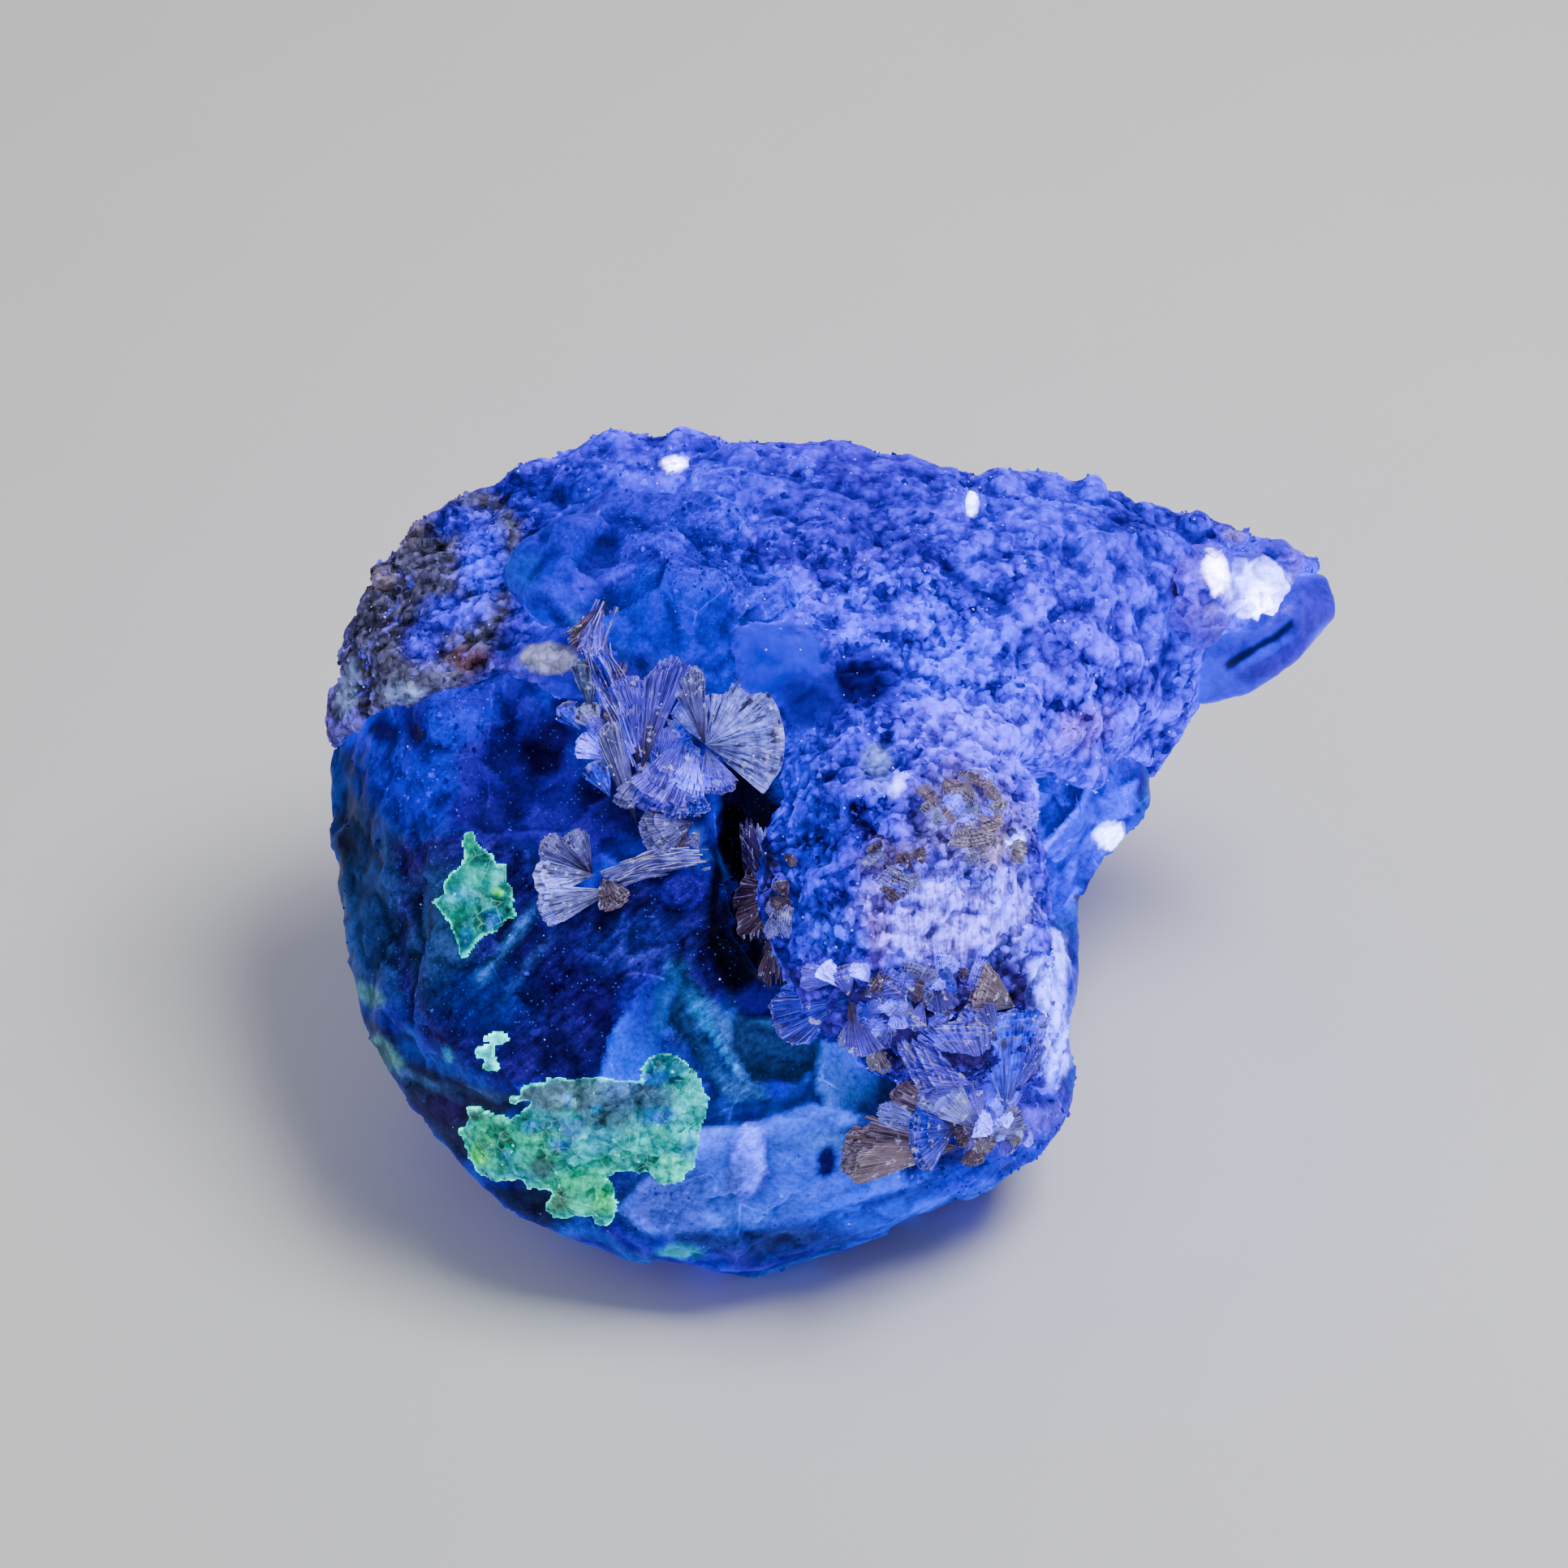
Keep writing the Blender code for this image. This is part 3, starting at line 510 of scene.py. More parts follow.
class SharedEffects:
    """The shader node groups that several finishes use."""

    def __init__(self) -> None:
        """Builds every group once."""
        self.sugar = self.group(self._sugar, {"Grains": 1400.0, "Contrast": 0.5},
                                {"Tone": VALUE, "Height": VALUE})
        self.glints = self.group(self._glints, {"Specks": 1800.0, "Share": 0.04, "Size": 0.3},
                                 {"Mask": VALUE})
        self.veil = self.group(self._veil, {"Veils": 260.0, "Lines": 140.0},
                               {"Tone": VALUE, "Line": VALUE})
        self.cut_faces = self.group(self._cut_faces, {"Faces": 1800.0, "Tilt": 0.8},
                                    {"Normal": PLACE})

    @staticmethod
    def group(wire: Callable[[Wiring, dict], dict], numbers: dict[str, float],
              results: dict[str, str]) -> bpy.types.NodeTree:
        """Makes one group.

        Args:
            wire: wires it, and returns what goes to each output.
            numbers: its inputs beside the place, with their defaults.
            results: for each output its socket type.

        Returns:
            The group, named like the method that wires it.
        """
        ports = {"Place": (PLACE, None)} | {name: (VALUE, x) for name, x in numbers.items()}
        name = wire.__name__.strip("_")
        w = Wiring(node_tree(name, "ShaderNodeTree", ports, results))
        get, out = ends_of(w)
        for port, value in wire(w, get).items():
            w.feed(out.inputs[port], value)
        return w.tree

    @staticmethod
    def _sugar(w: Wiring, get: dict) -> dict:
        """Sugary grains: a tone for each grain, dark seams, and a height for a bump."""
        place, grains = get["Place"], get["Grains"]
        warp = w.add("ShaderNodeTexNoise", {"Vector": place, "Scale": 900.0, "Detail": 2.0})
        moved = w.vector("MULTIPLY_ADD", warp.outputs["Color"], (SUGAR_WARP,) * 3, place)
        cells = w.cells(moved, grains)
        random = w.channel(cells.outputs["Color"], 0)
        core = w.spread(cells.outputs["Distance"], 0.25, 0.75, 1.0, 0.0)
        clump = w.channel(w.cells(moved, w.times(grains, 0.37)).outputs["Color"], 1)
        fine = w.cloud(place, 2600.0, 3.0, 0.7)
        drift = w.spread(w.cloud(place, 380.0, 5.0, 0.68), 0.33, 0.67, -0.5, 0.5)
        tone = w.mad(random, 1.2, w.times(core, 0.4))
        tone = w.mad(clump, 0.6, w.math("SUBTRACT", tone, 1.4))
        tone = w.mad(fine, 0.6, w.math("ADD", tone, drift))
        tone = w.mad(tone, get["Contrast"], 0.95)
        height = w.mad(random, 0.5, w.times(core, 0.6))
        return {"Tone": w.math("MAXIMUM", tone, 0.12), "Height": w.mad(fine, 0.35, height)}

    @staticmethod
    def _cut_faces(w: Wiring, get: dict) -> dict:
        """A normal that turns at random from grain to grain, as on broken crystal."""
        cells = w.cells(get["Place"], get["Faces"])
        turn = w.scale(w.vector("SUBTRACT", cells.outputs["Color"], (0.5, 0.5, 0.5)), get["Tilt"])
        skin = w.add("ShaderNodeNewGeometry").outputs["Normal"]
        return {"Normal": w.vector("NORMALIZE", w.vector("ADD", skin, turn))}

    @staticmethod
    def _glints(w: Wiring, get: dict) -> dict:
        """Painted glints: small bright specks, one here and there."""
        cells = w.cells(get["Place"], get["Specks"])
        lit = w.math("LESS_THAN", w.channel(cells.outputs["Color"], 1), get["Share"])
        return {"Mask": w.times(lit, w.math("LESS_THAN", cells.outputs["Distance"], get["Size"]))}

    @staticmethod
    def _veil(w: Wiring, get: dict) -> dict:
        """Cloudy depth inside a crystal: soft veils crossed by a few thin fracture lines."""
        place = get["Place"]
        soft = w.cloud(place, get["Veils"], 6.0, 0.6, 0.8)
        edges = w.cells(place, get["Lines"], "DISTANCE_TO_EDGE").outputs["Distance"]
        broken = w.spread(w.cloud(place, 420.0, 2.0), 0.5, 0.62)
        return {"Tone": w.spread(soft, 0.3, 0.72, 0.74, 1.28),
                "Line": w.times(w.spread(edges, 0.0, 0.014, 1.0, 0.0), broken)}


# --- Finishes ---------------------------------------------------------------------------------

BLUE_SHINE = (0.3, 0.22, 1.0, 1.0)  # tint of what a blue crystal reflects


class Dress:
    """A material being made: its wiring, its shader, and its two painted colours so far."""

    def __init__(self, name: str, effects: SharedEffects) -> None:
        """Starts a material.

        Args:
            name: its name.
            effects: the shared node groups.
        """
        self.material = bpy.data.materials.new(name)
        self.material.use_nodes = True
        self.effects = effects
        self.w = Wiring(self.material.node_tree)
        self.shader = self.material.node_tree.nodes["Principled BSDF"]
        turned = self.w.add("ShaderNodeMapping",
                            {"Vector": self.w.add("ShaderNodeTexCoord").outputs["Object"]})
        turned.inputs["Rotation"].default_value = (-math.radians(90 - FACE.lean_deg), 0.0, 0.0)
        self.place = turned.outputs[0]
        self.tint = self.glow = None

    def group(self, tree: bpy.types.NodeTree, **inputs: object) -> bpy.types.Node:
        """One of the shared effects, placed in the material."""
        node = self.w.add("ShaderNodeGroup", None, node_tree=tree)
        for name, value in {"Place": self.place, **inputs}.items():
            self.w.feed(node.inputs[name], value)
        return node

    def glints(self, specks: float, share: float, size: float) -> Socket:
        """Where painted glints are: so many to the metre, this share of them lit, of this size."""
        return self.group(self.effects.glints, Specks=specks, Share=share, Size=size).outputs[0]

    def marks(self) -> Sequence[Socket]:
        """The three shares painted as marks."""
        return self.w.add("ShaderNodeSeparateColor", {0: self.w.painted("marks")}).outputs

    def streaks(self, scale: Colour, turn: float = 0.0) -> Socket:
        """The place, stretched into streaks of this size in metres and turned by these degrees."""
        streaks = self.w.add("ShaderNodeMapping", {"Vector": self.place}, vector_type="TEXTURE")
        streaks.inputs["Rotation"].default_value = (0.0, 0.0, math.radians(turn))
        streaks.inputs["Scale"].default_value = scale
        return streaks.outputs[0]

    def colour(self, tone: Socket) -> None:
        """Takes the painted tint and glow, made lighter or darker by a tone."""
        self.tint = self.w.scale(self.w.painted("tint"), tone)
        self.glow = self.w.scale(self.w.painted("glow"), tone)

    def over(self, share: Socket, tint: Colour, glow: Colour) -> None:
        """Lays another tint and glow over the ones so far."""
        self.tint = self.w.blend(share, self.tint, tint)
        self.glow = self.w.blend(share, self.glow, glow)

    def finish(self, rough: Socket, constants: dict[str, object],
               layers: Sequence[tuple[Socket, float, float]],
               normal: Socket | None = None) -> bpy.types.Material:
        """Feeds the shader.

        Args:
            rough: its roughness.
            constants: values for its other inputs.
            layers: for each bump its height, its strength and its depth in metres.
            normal: the normal under the first bump, or None for the skin's own.

        Returns:
            The material.
        """
        self.w.feed(self.shader.inputs["Base Color"], self.tint)
        self.w.feed(self.shader.inputs["Emission Color"], self.glow)
        self.w.feed(self.shader.inputs["Roughness"], rough)
        for name, value in constants.items():
            self.shader.inputs[name].default_value = value
        for height, strength, depth in layers:
            bump = self.w.add("ShaderNodeBump", {"Height": height, "Strength": strength,
                                                 "Distance": depth})
            if normal is not None:
                self.w.feed(bump.inputs["Normal"], normal)
            normal = bump.outputs[0]
        self.w.feed(self.shader.inputs["Normal"], normal)
        return self.material


def fluorite_finish(effects: SharedEffects) -> bpy.types.Material:
    """Deep blue fluorite: glassy, veiled inside, frosted where it is etched."""
    made = Dress("fluorite_deep_blue", effects)
    w, place = made.w, made.place
    veil = made.group(effects.veil)
    etched, sparkling, clouded = made.marks()
    scratch = w.cloud(made.streaks((0.0016, 0.0003, 0.0008), 40), 1.0, 4.0, 0.65)
    frost = w.cloud(place, 3400.0, 4.0, 0.7)
    crazed = w.cloud(place, 1500.0, 5.0, 0.75)
    warped = w.add("ShaderNodeMapping", {"Vector": place, "Location": w.scale(crazed, 0.0012)})
    plate = w.channel(w.cells(warped.outputs[0], 420.0).outputs["Color"], 0)
    tone = w.times(veil.outputs["Tone"], w.spread(frost, 0.3, 0.7, 0.7, 1.32))
    tone = w.times(tone, w.mad(plate, 0.3, 0.85))
    etch = w.times(w.spread(scratch, 0.3, 0.7, 0.6, 1.45), w.spread(crazed, 0.3, 0.7, 0.5, 1.6))
    tone = w.times(tone, w.mad(etched, w.math("SUBTRACT", etch, 1.0), 1.0))
    made.colour(w.times(tone, w.mad(veil.outputs["Line"], 0.9, 1.0)))
    # painted glints: many faint blue ones and a few bright white ones, where sparkling is marked
    faint_glints, glints = made.glints(4900.0, 0.12, 0.27), made.glints(2300.0, 0.014, 0.14)
    made.over(w.times(w.times(faint_glints, sparkling), 0.42), (0.07, 0.17, 0.75), (0.02, 0.12, 1.5))
    made.over(w.times(glints, sparkling), (0.6, 0.66, 0.85), (0.5, 0.6, 2.2))
    rough = w.mad(etched, 0.22, w.mad(frost, 0.25, 0.2))
    return made.finish(
        w.mad(clouded, 0.2, rough, clamp=True),
        {"Emission Strength": 1.0, "IOR": 1.434, "Specular IOR Level": 0.04,
         "Specular Tint": BLUE_SHINE},
        [(veil.outputs["Tone"], 0.15, 0.0003), (w.times(scratch, etched), 0.9, 0.00025),
         (frost, 0.35, 0.00008)])


def sugar_finish(effects: SharedEffects, name: str = "feldspar_sugar", grains: float = 1900.0,
                 contrast: float = 0.8, loose: bool = False) -> bpy.types.Material:
    """Sugary feldspar: a crust of tiny frosted grains, each with its own tone.

    Args:
        effects: the shared node groups.
        name: the material's name.
        grains: grains to the metre.
        contrast: how much the grains differ.
        loose: whether it is for loose grains, each with a tone of its own.

    Returns:
        The material.
    """
    made = Dress(name, effects)
    w = made.w
    sugar = made.group(effects.sugar, Grains=grains, Contrast=contrast)
    striated, sparkling, glassy = made.marks()
    sugary = w.mad(glassy, -0.8, 1.0)
    tone = w.mad(w.math("SUBTRACT", sugar.outputs["Tone"], 1.0), sugary, 1.0)
    if loose:
        tone = w.times(tone, w.spread(w.painted("grain", "Fac"), 0.0, 1.0, 0.4, 1.5))
    streaks = w.cloud(made.streaks((0.00028, 0.0018, 0.0009)), 1.0, 4.0, 0.7)
    tone = w.times(tone, w.mad(w.spread(streaks, 0.32, 0.68, -0.55, 0.5), striated, 1.0))
    tone = w.math("MAXIMUM", tone, 0.1)
    made.colour(tone)
    pale = w.times(w.spread(tone, 1.2, 1.9, 0.0, 0.4), sugary)
    made.over(pale, (0.22, 0.11, 0.78), (0.06, 0.01, 2.2))
    # painted glints, where sparkling is marked
    glints = made.glints(3000.0, 0.03, 0.22)
    made.over(w.times(glints, sparkling), (0.6, 0.62, 0.8), (0.5, 0.55, 2.6))
    faces = made.group(effects.cut_faces, Faces=grains, Tilt=w.times(sugary, 1.1))
    height = sugar.outputs["Height"]
    return made.finish(
        w.spread(height, 0.2, 1.1, 0.75, 0.42),
        {"Emission Strength": 1.15, "IOR": 1.52, "Specular IOR Level": 0.03,
         "Specular Tint": BLUE_SHINE},
        [(w.times(height, sugary), 0.7, 0.0003)], faces.outputs[0])


def mica_finish(effects: SharedEffects) -> bpy.types.Material:
    """Silvery mica: pearly sheets ruled by fine lines from the apex; its sheen and shade are painted.
    """
    made = Dress("mica_books", effects)
    w, place = made.w, made.place
    radial, turn, sheet = (w.painted(name, "Fac") for name in ("radial", "turn", "sheet"))

    def ruled(across: float, out: float, level: float, *cloud: float) -> Socket:
        """Noise with so many swells across a book, out along it and from sheet to sheet."""
        spot = w.bundle(w.times(turn, across), w.times(radial, out), w.times(sheet, level))
        return w.cloud(spot, 1.0, *cloud)

    fine, growth = ruled(30.0, 1.6, 40.0, 3.0, 0.6), ruled(2.0, 14.0, 11.0, 2.0, 0.5)
    silk, cloud = ruled(120.0, 7.0, 80.0, 3.0, 0.7), w.cloud(place, 900.0, 4.0, 0.6)
    tone = w.times(w.spread(fine, 0.3, 0.7, 0.4, 1.6), w.spread(growth, 0.3, 0.7, 0.75, 1.25))
    tone = w.times(tone, w.spread(silk, 0.32, 0.68, 0.4, 1.75))
    tone = w.times(tone, w.spread(cloud, 0.3, 0.7, 0.75, 1.2))
    # darker towards the apex: painted shade deep in the book
    made.colour(w.times(tone, w.spread(radial, 0.0, 0.45, 0.45, 1.0)))
    made.over(w.spread(fine, 0.36, 0.46, 0.9, 0.0), (0.03, 0.018, 0.04), (0.002, 0.0, 0.02))
    # pale lines along the striations: partly the mica's own colour, partly painted sheen
    line = w.times(w.spread(fine, 0.54, 0.66, 0.0, 0.6), w.spread(silk, 0.4, 0.6, 0.3, 1.0))
    made.over(line, (0.5, 0.48, 0.68), (0.26, 0.26, 0.9))
    # painted highlight: silvery flashes across the sheets
    flash_highlight = w.times(w.spread(w.cloud(place, 1300.0, 3.0, 0.6), 0.6, 0.68),
                    w.spread(silk, 0.42, 0.58, 0.1, 0.9))
    made.over(flash_highlight, (0.72, 0.72, 0.82), (0.5, 0.55, 1.3))
    rim = w.times(w.spread(radial, 0.92, 1.0), w.spread(cloud, 0.46, 0.6))
    made.tint = w.blend(w.times(rim, 0.5), made.tint, (0.6, 0.58, 0.7))
    # painted glints
    made.over(made.glints(3600.0, 0.02, 0.22), (0.7, 0.7, 0.8), (0.7, 0.75, 1.8))
    return made.finish(
        w.spread(fine, 0.3, 0.7, 0.22, 0.42),
        {"Emission Strength": 1.0, "IOR": 1.58, "Specular IOR Level": 0.35, "Coat Weight": 0.05,
         "Coat Roughness": 0.18},
        [(growth, 0.4, 0.0003), (fine, 0.9, 0.0003), (silk, 0.5, 0.0001)])


def hyalite_finish(effects: SharedEffects) -> bpy.types.Material:
    """Green hyalite: a botryoidal skin with painted glow and glints, brightest where it is thin."""
    made = Dress("hyalite_glow", effects)
    w, place = made.w, made.place
    sugar = made.group(effects.sugar, Grains=1700.0, Contrast=0.7)
    dome = w.spread(w.cells(place, 1500.0, "SMOOTH_F1").outputs["Distance"], 0.0, 0.8, 1.0, 0.0)
    tone = w.times(sugar.outputs["Tone"], w.spread(dome, 0.0, 1.0, 0.75, 1.25))
    crinkle = w.cloud(place, 2600.0, 5.0, 0.8)
    made.colour(w.times(tone, w.spread(crinkle, 0.32, 0.68, 0.66, 1.5)))
    lace = w.cells(place, 1150.0, "DISTANCE_TO_EDGE").outputs["Distance"]
    broken = w.spread(w.cloud(place, 500.0, 3.0), 0.5, 0.62)
    vein = w.times(w.spread(lace, 0.0, 0.05, 0.35, 0.0), broken)
    made.over(vein, (0.5, 0.72, 0.62), (0.12, 0.6, 0.5))
    # painted glints
    made.over(made.glints(2600.0, 0.05, 0.25), (0.3, 0.75, 0.6), (0.15, 0.8, 0.6))
    return made.finish(
        w.spread(dome, 0.0, 1.0, 0.45, 0.18),
        {"Emission Strength": 1.2, "IOR": 1.46, "Specular IOR Level": 0.08,
         "Transmission Weight": 0.25, "Coat Weight": 0.02, "Coat Roughness": 0.1},
        [(dome, 0.7, 0.0003), (sugar.outputs["Height"], 0.5, 0.0002)])


def clear_finish(effects: SharedEffects, name: str, see_through: float, rough: float,
                 mottled: float = 0.15) -> bpy.types.Material:
    """Cloudy clear crystal, for quartz grains and the smooth point.

    Args:
        effects: the shared node groups.
        name: the material's name.
        see_through: transmission weight.
        rough: how frosted the surface is.
        mottled: how much its brightness varies from spot to spot.

    Returns:
        The material.
    """
    made = Dress(name, effects)
    w = made.w
    veil = made.group(effects.veil, Veils=520.0, Lines=520.0).outputs["Tone"]
    fine = w.cloud(made.place, 2400.0, 4.0, 0.7)
    made.colour(w.times(veil, w.spread(fine, 0.3, 0.7, 1.0 - mottled, 1.0 + mottled)))
    return made.finish(
        w.mad(fine, 0.2, rough, clamp=True),
        {"Emission Strength": 1.0, "IOR": 1.54, "Transmission Weight": see_through,
         "Specular IOR Level": 0.12, "Coat Weight": 0.03, "Coat Roughness": 0.08},
        [(veil, 0.4, 0.0002), (fine, 0.3, 0.00006)])


# --- Painting and relief ----------------------------------------------------------------------

DAYLIGHT = 0.62  # share of a colour that comes from the studio light; the rest is painted glow, given as emission
BRIGHTEST = 0.72  # no surface colour is lighter than this
UNPAINTED = (0.0, 0.0, 0.0)  # the light of a zone that only marks where something is
CLEAR_MM = 2.0  # what stands less than this in front of a place doesn't hide it
HOLLOWS = ((3, 0.03), (12, 0.1), (60, 0.4))  # for each size of hollow: passes, and depth in mm
FEWEST = 8  # a facet over fewer places than this is left out
HOLLOW_SHARE = 0.35  # how much painted shade darkens each size of hollow


@dataclass(frozen=True)
class Oval:
    """An oval, seen face on.

    Attributes:
        x: pixel column of its middle.
        y: pixel row of its middle.
        wide: its half width before it is turned, in pixels.
        high: its half height before it is turned, in pixels.
    """

    x: float
    y: float
    wide: float
    high: float

    def distance(self, pixels: Array, degrees: float) -> Array:
        """How far each pixel is from the middle of the oval turned by degrees, 1 on its edge."""
        across, down = (pixels - (self.x, self.y)).T
        turn = math.radians(degrees)
        along = across * math.cos(turn) + down * math.sin(turn)
        over = -across * math.sin(turn) + down * math.cos(turn)
        return np.hypot(along / self.wide, over / self.high)


@dataclass(frozen=True)
class Zone(Oval):
    """A patch of colour, seen face on.

    Attributes:
        light: the light it sends out, as linear colour.
        soft: how wide its edge is, as a share of its size.
        turn: how far it is turned, in degrees, clockwise as seen.
        share: how far it covers what is under it.
        ragged: how uneven its edge is, as a share of its size.
        marks: etched, sparkling and clouded shares that it adds.
    """

    light: Colour
    soft: float = 0.35
    turn: float = 0.0
    share: float = 1.0
    ragged: float = 0.3
    marks: Colour | None = None

    def cover(self, pixels: Array, unrest: Array) -> Array:
        """How far the zone covers each place, from 0 to 1."""
        far = self.distance(pixels, self.turn) + self.ragged * unrest
        return self.share * (1.0 - smooth_step(1.0 - self.soft, 1.0 + self.soft, far))


@dataclass(frozen=True)
class Patch:
    """A patch of colour with straight sides, seen face on.

    Attributes:
        corners: its outline, in pixels.
        light: the light it sends out, as linear colour.
        soft_px: how wide its edge is.
        ragged_px: how uneven its edge is.
        share: how far it covers what is under it.
        marks: etched, sparkling and clouded shares that it adds.
    """

    corners: tuple[Pair, ...]
    light: Colour
    soft_px: float = 6.0
    ragged_px: float = 5.0
    share: float = 1.0
    marks: Colour | None = None

    def cover(self, pixels: Array, unrest: Array) -> Array:
        """How far the patch covers each place, from 0 to 1."""
        inside = inside_px(self.corners, pixels) + self.ragged_px * unrest
        return self.share * smooth_step(-self.soft_px, self.soft_px, inside)


def inside_px(corners: Sequence[Pair], pixels: Array) -> Array:
    """How far inside an outline each pixel is, below 0 outside it."""
    ring = np.array(corners, float)
    nearest = np.full(len(pixels), 1e9)
    within = np.zeros(len(pixels), bool)
    for (x0, y0), (x1, y1) in zip(ring, np.roll(ring, -1, axis=0)):
        side = np.array((x1 - x0, y1 - y0))
        off = pixels - (x0, y0)
        share = np.clip(off @ side / (side @ side), 0.0, 1.0)
        nearest = np.minimum(nearest, np.linalg.norm(off - share[:, None] * side, axis=1))
        crosses = (pixels[:, 1] < y0) != (pixels[:, 1] < y1)
        with np.errstate(divide="ignore", invalid="ignore"):
            at = x0 + (pixels[:, 1] - y0) * (x1 - x0) / (y1 - y0)
        within ^= crosses & (pixels[:, 0] < at)
    return np.where(within, nearest, -nearest)


def cover_of(zones: Sequence[Zone], pixels: Array, unrest: Array | float = 0.0) -> Array:
    """How far the zones together cover each place, from 0 to 1."""
    return np.max([zone.cover(pixels, unrest) for zone in zones], axis=0)


def split_light(light: Array) -> tuple[Array, Array]:
    """Shares a colour between the surface's tint and a painted glow, given as emission."""
    tint = np.minimum(light * DAYLIGHT, BRIGHTEST)
    return tint, np.maximum(light - tint, 0.0) * 0.9


def seen_share(points: Array, normals: Array) -> Array:
    """How far each place belongs to the side that the face zones are painted on."""
    return smooth_step(-0.05, 0.22, FACE.facing(points, normals))


def in_sight(obj: bpy.types.Object, points: Array) -> Array:
    """1 where nothing of the object stands well in front of a place, 0 where something does."""
    ways, skin = FACE.toward(points), skin_of(obj)
    return np.array([skin.ray_cast(Vector(start), Vector(way))[0] is None
                     for start, way in zip(points + ways * CLEAR_MM * MM, ways)], float)


def evened(mesh: bpy.types.Mesh, values: Array, passes: int) -> Array:
    """Values after each vertex has taken the mean of its neighbours', passes times over."""
    ends = np.empty(len(mesh.edges) * 2, np.int32)
    mesh.edges.foreach_get("vertices", ends)
    a, b = ends.reshape(-1, 2).T
    size = len(values)
    count = np.maximum(np.bincount(ends, minlength=size), 1)
    for _ in range(passes):
        values = np.column_stack([
            (np.bincount(a, column[b], size) + np.bincount(b, column[a], size)) / count
            for column in values.T])
    return values


def hollow_shade(obj: bpy.types.Object, strength: float) -> Array:
    """Painted shade and highlight for each place: below 1 where it lies in a hollow, above 1 on an
    edge.
    """
    points, normals = points_of(obj.data), normals_of(obj.data)
    shade = np.ones(len(points))
    for passes, depth_mm in HOLLOWS:
        depth = ((evened(obj.data, points, passes) - points) * normals).sum(axis=1) / MM
        step = np.tanh(depth / depth_mm)
        shade *= 1.0 - strength * HOLLOW_SHARE * np.where(step > 0.0, step, 0.5 * step)
    return shade


def paint(obj: bpy.types.Object, ground: Array, zones: Sequence[Zone | Patch],
          sparkle: float = 0.3, shading: float = 1.0) -> None:
    """Paints tint, glow and marks on the object's skin.

    Args:
        obj: the object painted.
        ground: the colour under the zones, one for each vertex.
        zones: the zones, in the order in which they cover each other.
        sparkle: how much the ground sparkles.
        shading: how much painted shade darkens hollows and how much painted highlight lightens edges.
    """
    points, normals = points_of(obj.data), normals_of(obj.data)
    pixels, places = FACE.pixels(points), points / MM
    unrest = noise_field(places, 1.6, 3.0, 3) + 0.6 * noise_field(places, 0.5, 8.0)
    seen = seen_share(points, normals) * in_sight(obj, points)
    seen = evened(obj.data, seen[:, None], 3)[:, 0]
    light, marks = ground.copy(), np.zeros((len(points), 3))
    marks[:, 1] = sparkle
    for zone in zones:
        cover = (zone.cover(pixels, unrest) * seen)[:, None]
        light = light * (1.0 - cover) + np.array(zone.light) * cover
        if zone.marks is not None:
            marks = marks * (1.0 - cover) + np.array(zone.marks) * cover
    # painted shade in hollows and painted highlight on edges, found from the skin's shape
    tint, glow = split_light(light * hollow_shade(obj, shading)[:, None])
    set_colours(obj.data, "tint", tint)
    set_colours(obj.data, "glow", glow)
    set_colours(obj.data, "marks", marks)


def mottle(places_mm: Array, colours: Sequence[Colour], size_mm: float, seed: float) -> Array:
    """A ground that drifts between several colours in patches size_mm wide."""
    drift = noise_field(places_mm, size_mm, seed, 3)
    steps = np.linspace(-0.75, 0.75, len(colours))
    table = np.array(colours)
    return np.column_stack([np.interp(drift, steps, table[:, i]) for i in range(3)])


@dataclass(frozen=True)
class Bulge(Oval):
    """A round rise or hollow of the skin, seen face on.

    Attributes:
        height_mm: how far it stands out towards the viewer, below 0 for a hollow.
        turn: how far it is turned, in degrees, clockwise as seen.
        flat: 0 for a round dome, towards 1 for a flat top with steep sides.
    """

    height_mm: float
    turn: float = 0.0
    flat: float = 0.0

    def lift(self, pixels: Array) -> Array:
        """How far each place is raised, in millimetres."""
        return self.height_mm * (1.0 - smooth_step(self.flat, 1.0,
                                                   self.distance(pixels, self.turn)))


@dataclass(frozen=True)
class Facet:
    """A flat face of the crystal, seen face on.

    Attributes:
        corners: its outline, in pixels.
        across: how far it is tilted to the right, in millimetres for each millimetre.
        down: how far it is tilted downwards, in the same measure.
        out_mm: how far it is moved towards the viewer.
        flatness: how far the skin is ironed flat, from 0 to 1.
    """

    corners: tuple[Pair, ...]
    across: float = 0.0
    down: float = 0.0
    out_mm: float = 0.0
    flatness: float = 0.9

    def lift(self, pixels: Array, out_mm: Array, seen: Array) -> Array:
        """How far each place is moved towards the viewer, in millimetres."""
        inside = inside_px(self.corners, pixels)
        chosen = (inside > 0) & (seen > 0.5)
        if chosen.sum() < FEWEST:
            return np.zeros(len(pixels))
        flat = np.column_stack((pixels[chosen], np.ones(chosen.sum())))
        plane, *_ = np.linalg.lstsq(flat, out_mm[chosen], rcond=None)
        middle = pixels[chosen].mean(axis=0)
        ironed = pixels @ plane[:2] + plane[2] - out_mm
        tilted = ((pixels - middle) * FACE.mm_per_px) @ np.array((self.across, self.down))
        share = smooth_step(-3.0, 4.0, inside)
        return share * (self.flatness * np.clip(ironed, -1.5, 1.5) + tilted + self.out_mm)


def sculpt(obj: bpy.types.Object, features: Sequence[Bulge | Facet]) -> None:
    """Works the features into the side of the skin that is seen."""
    for feature in features:
        points, normals = points_of(obj.data), normals_of(obj.data)
        seen, pixels = seen_share(points, normals), FACE.pixels(points)
        if isinstance(feature, Facet):
            lift = feature.lift(pixels, FACE.face_on(points)[:, 2], seen)
        else:
            lift = feature.lift(pixels)
        set_points(obj.data, points + FACE.toward(points) * (lift * seen * MM)[:, None])


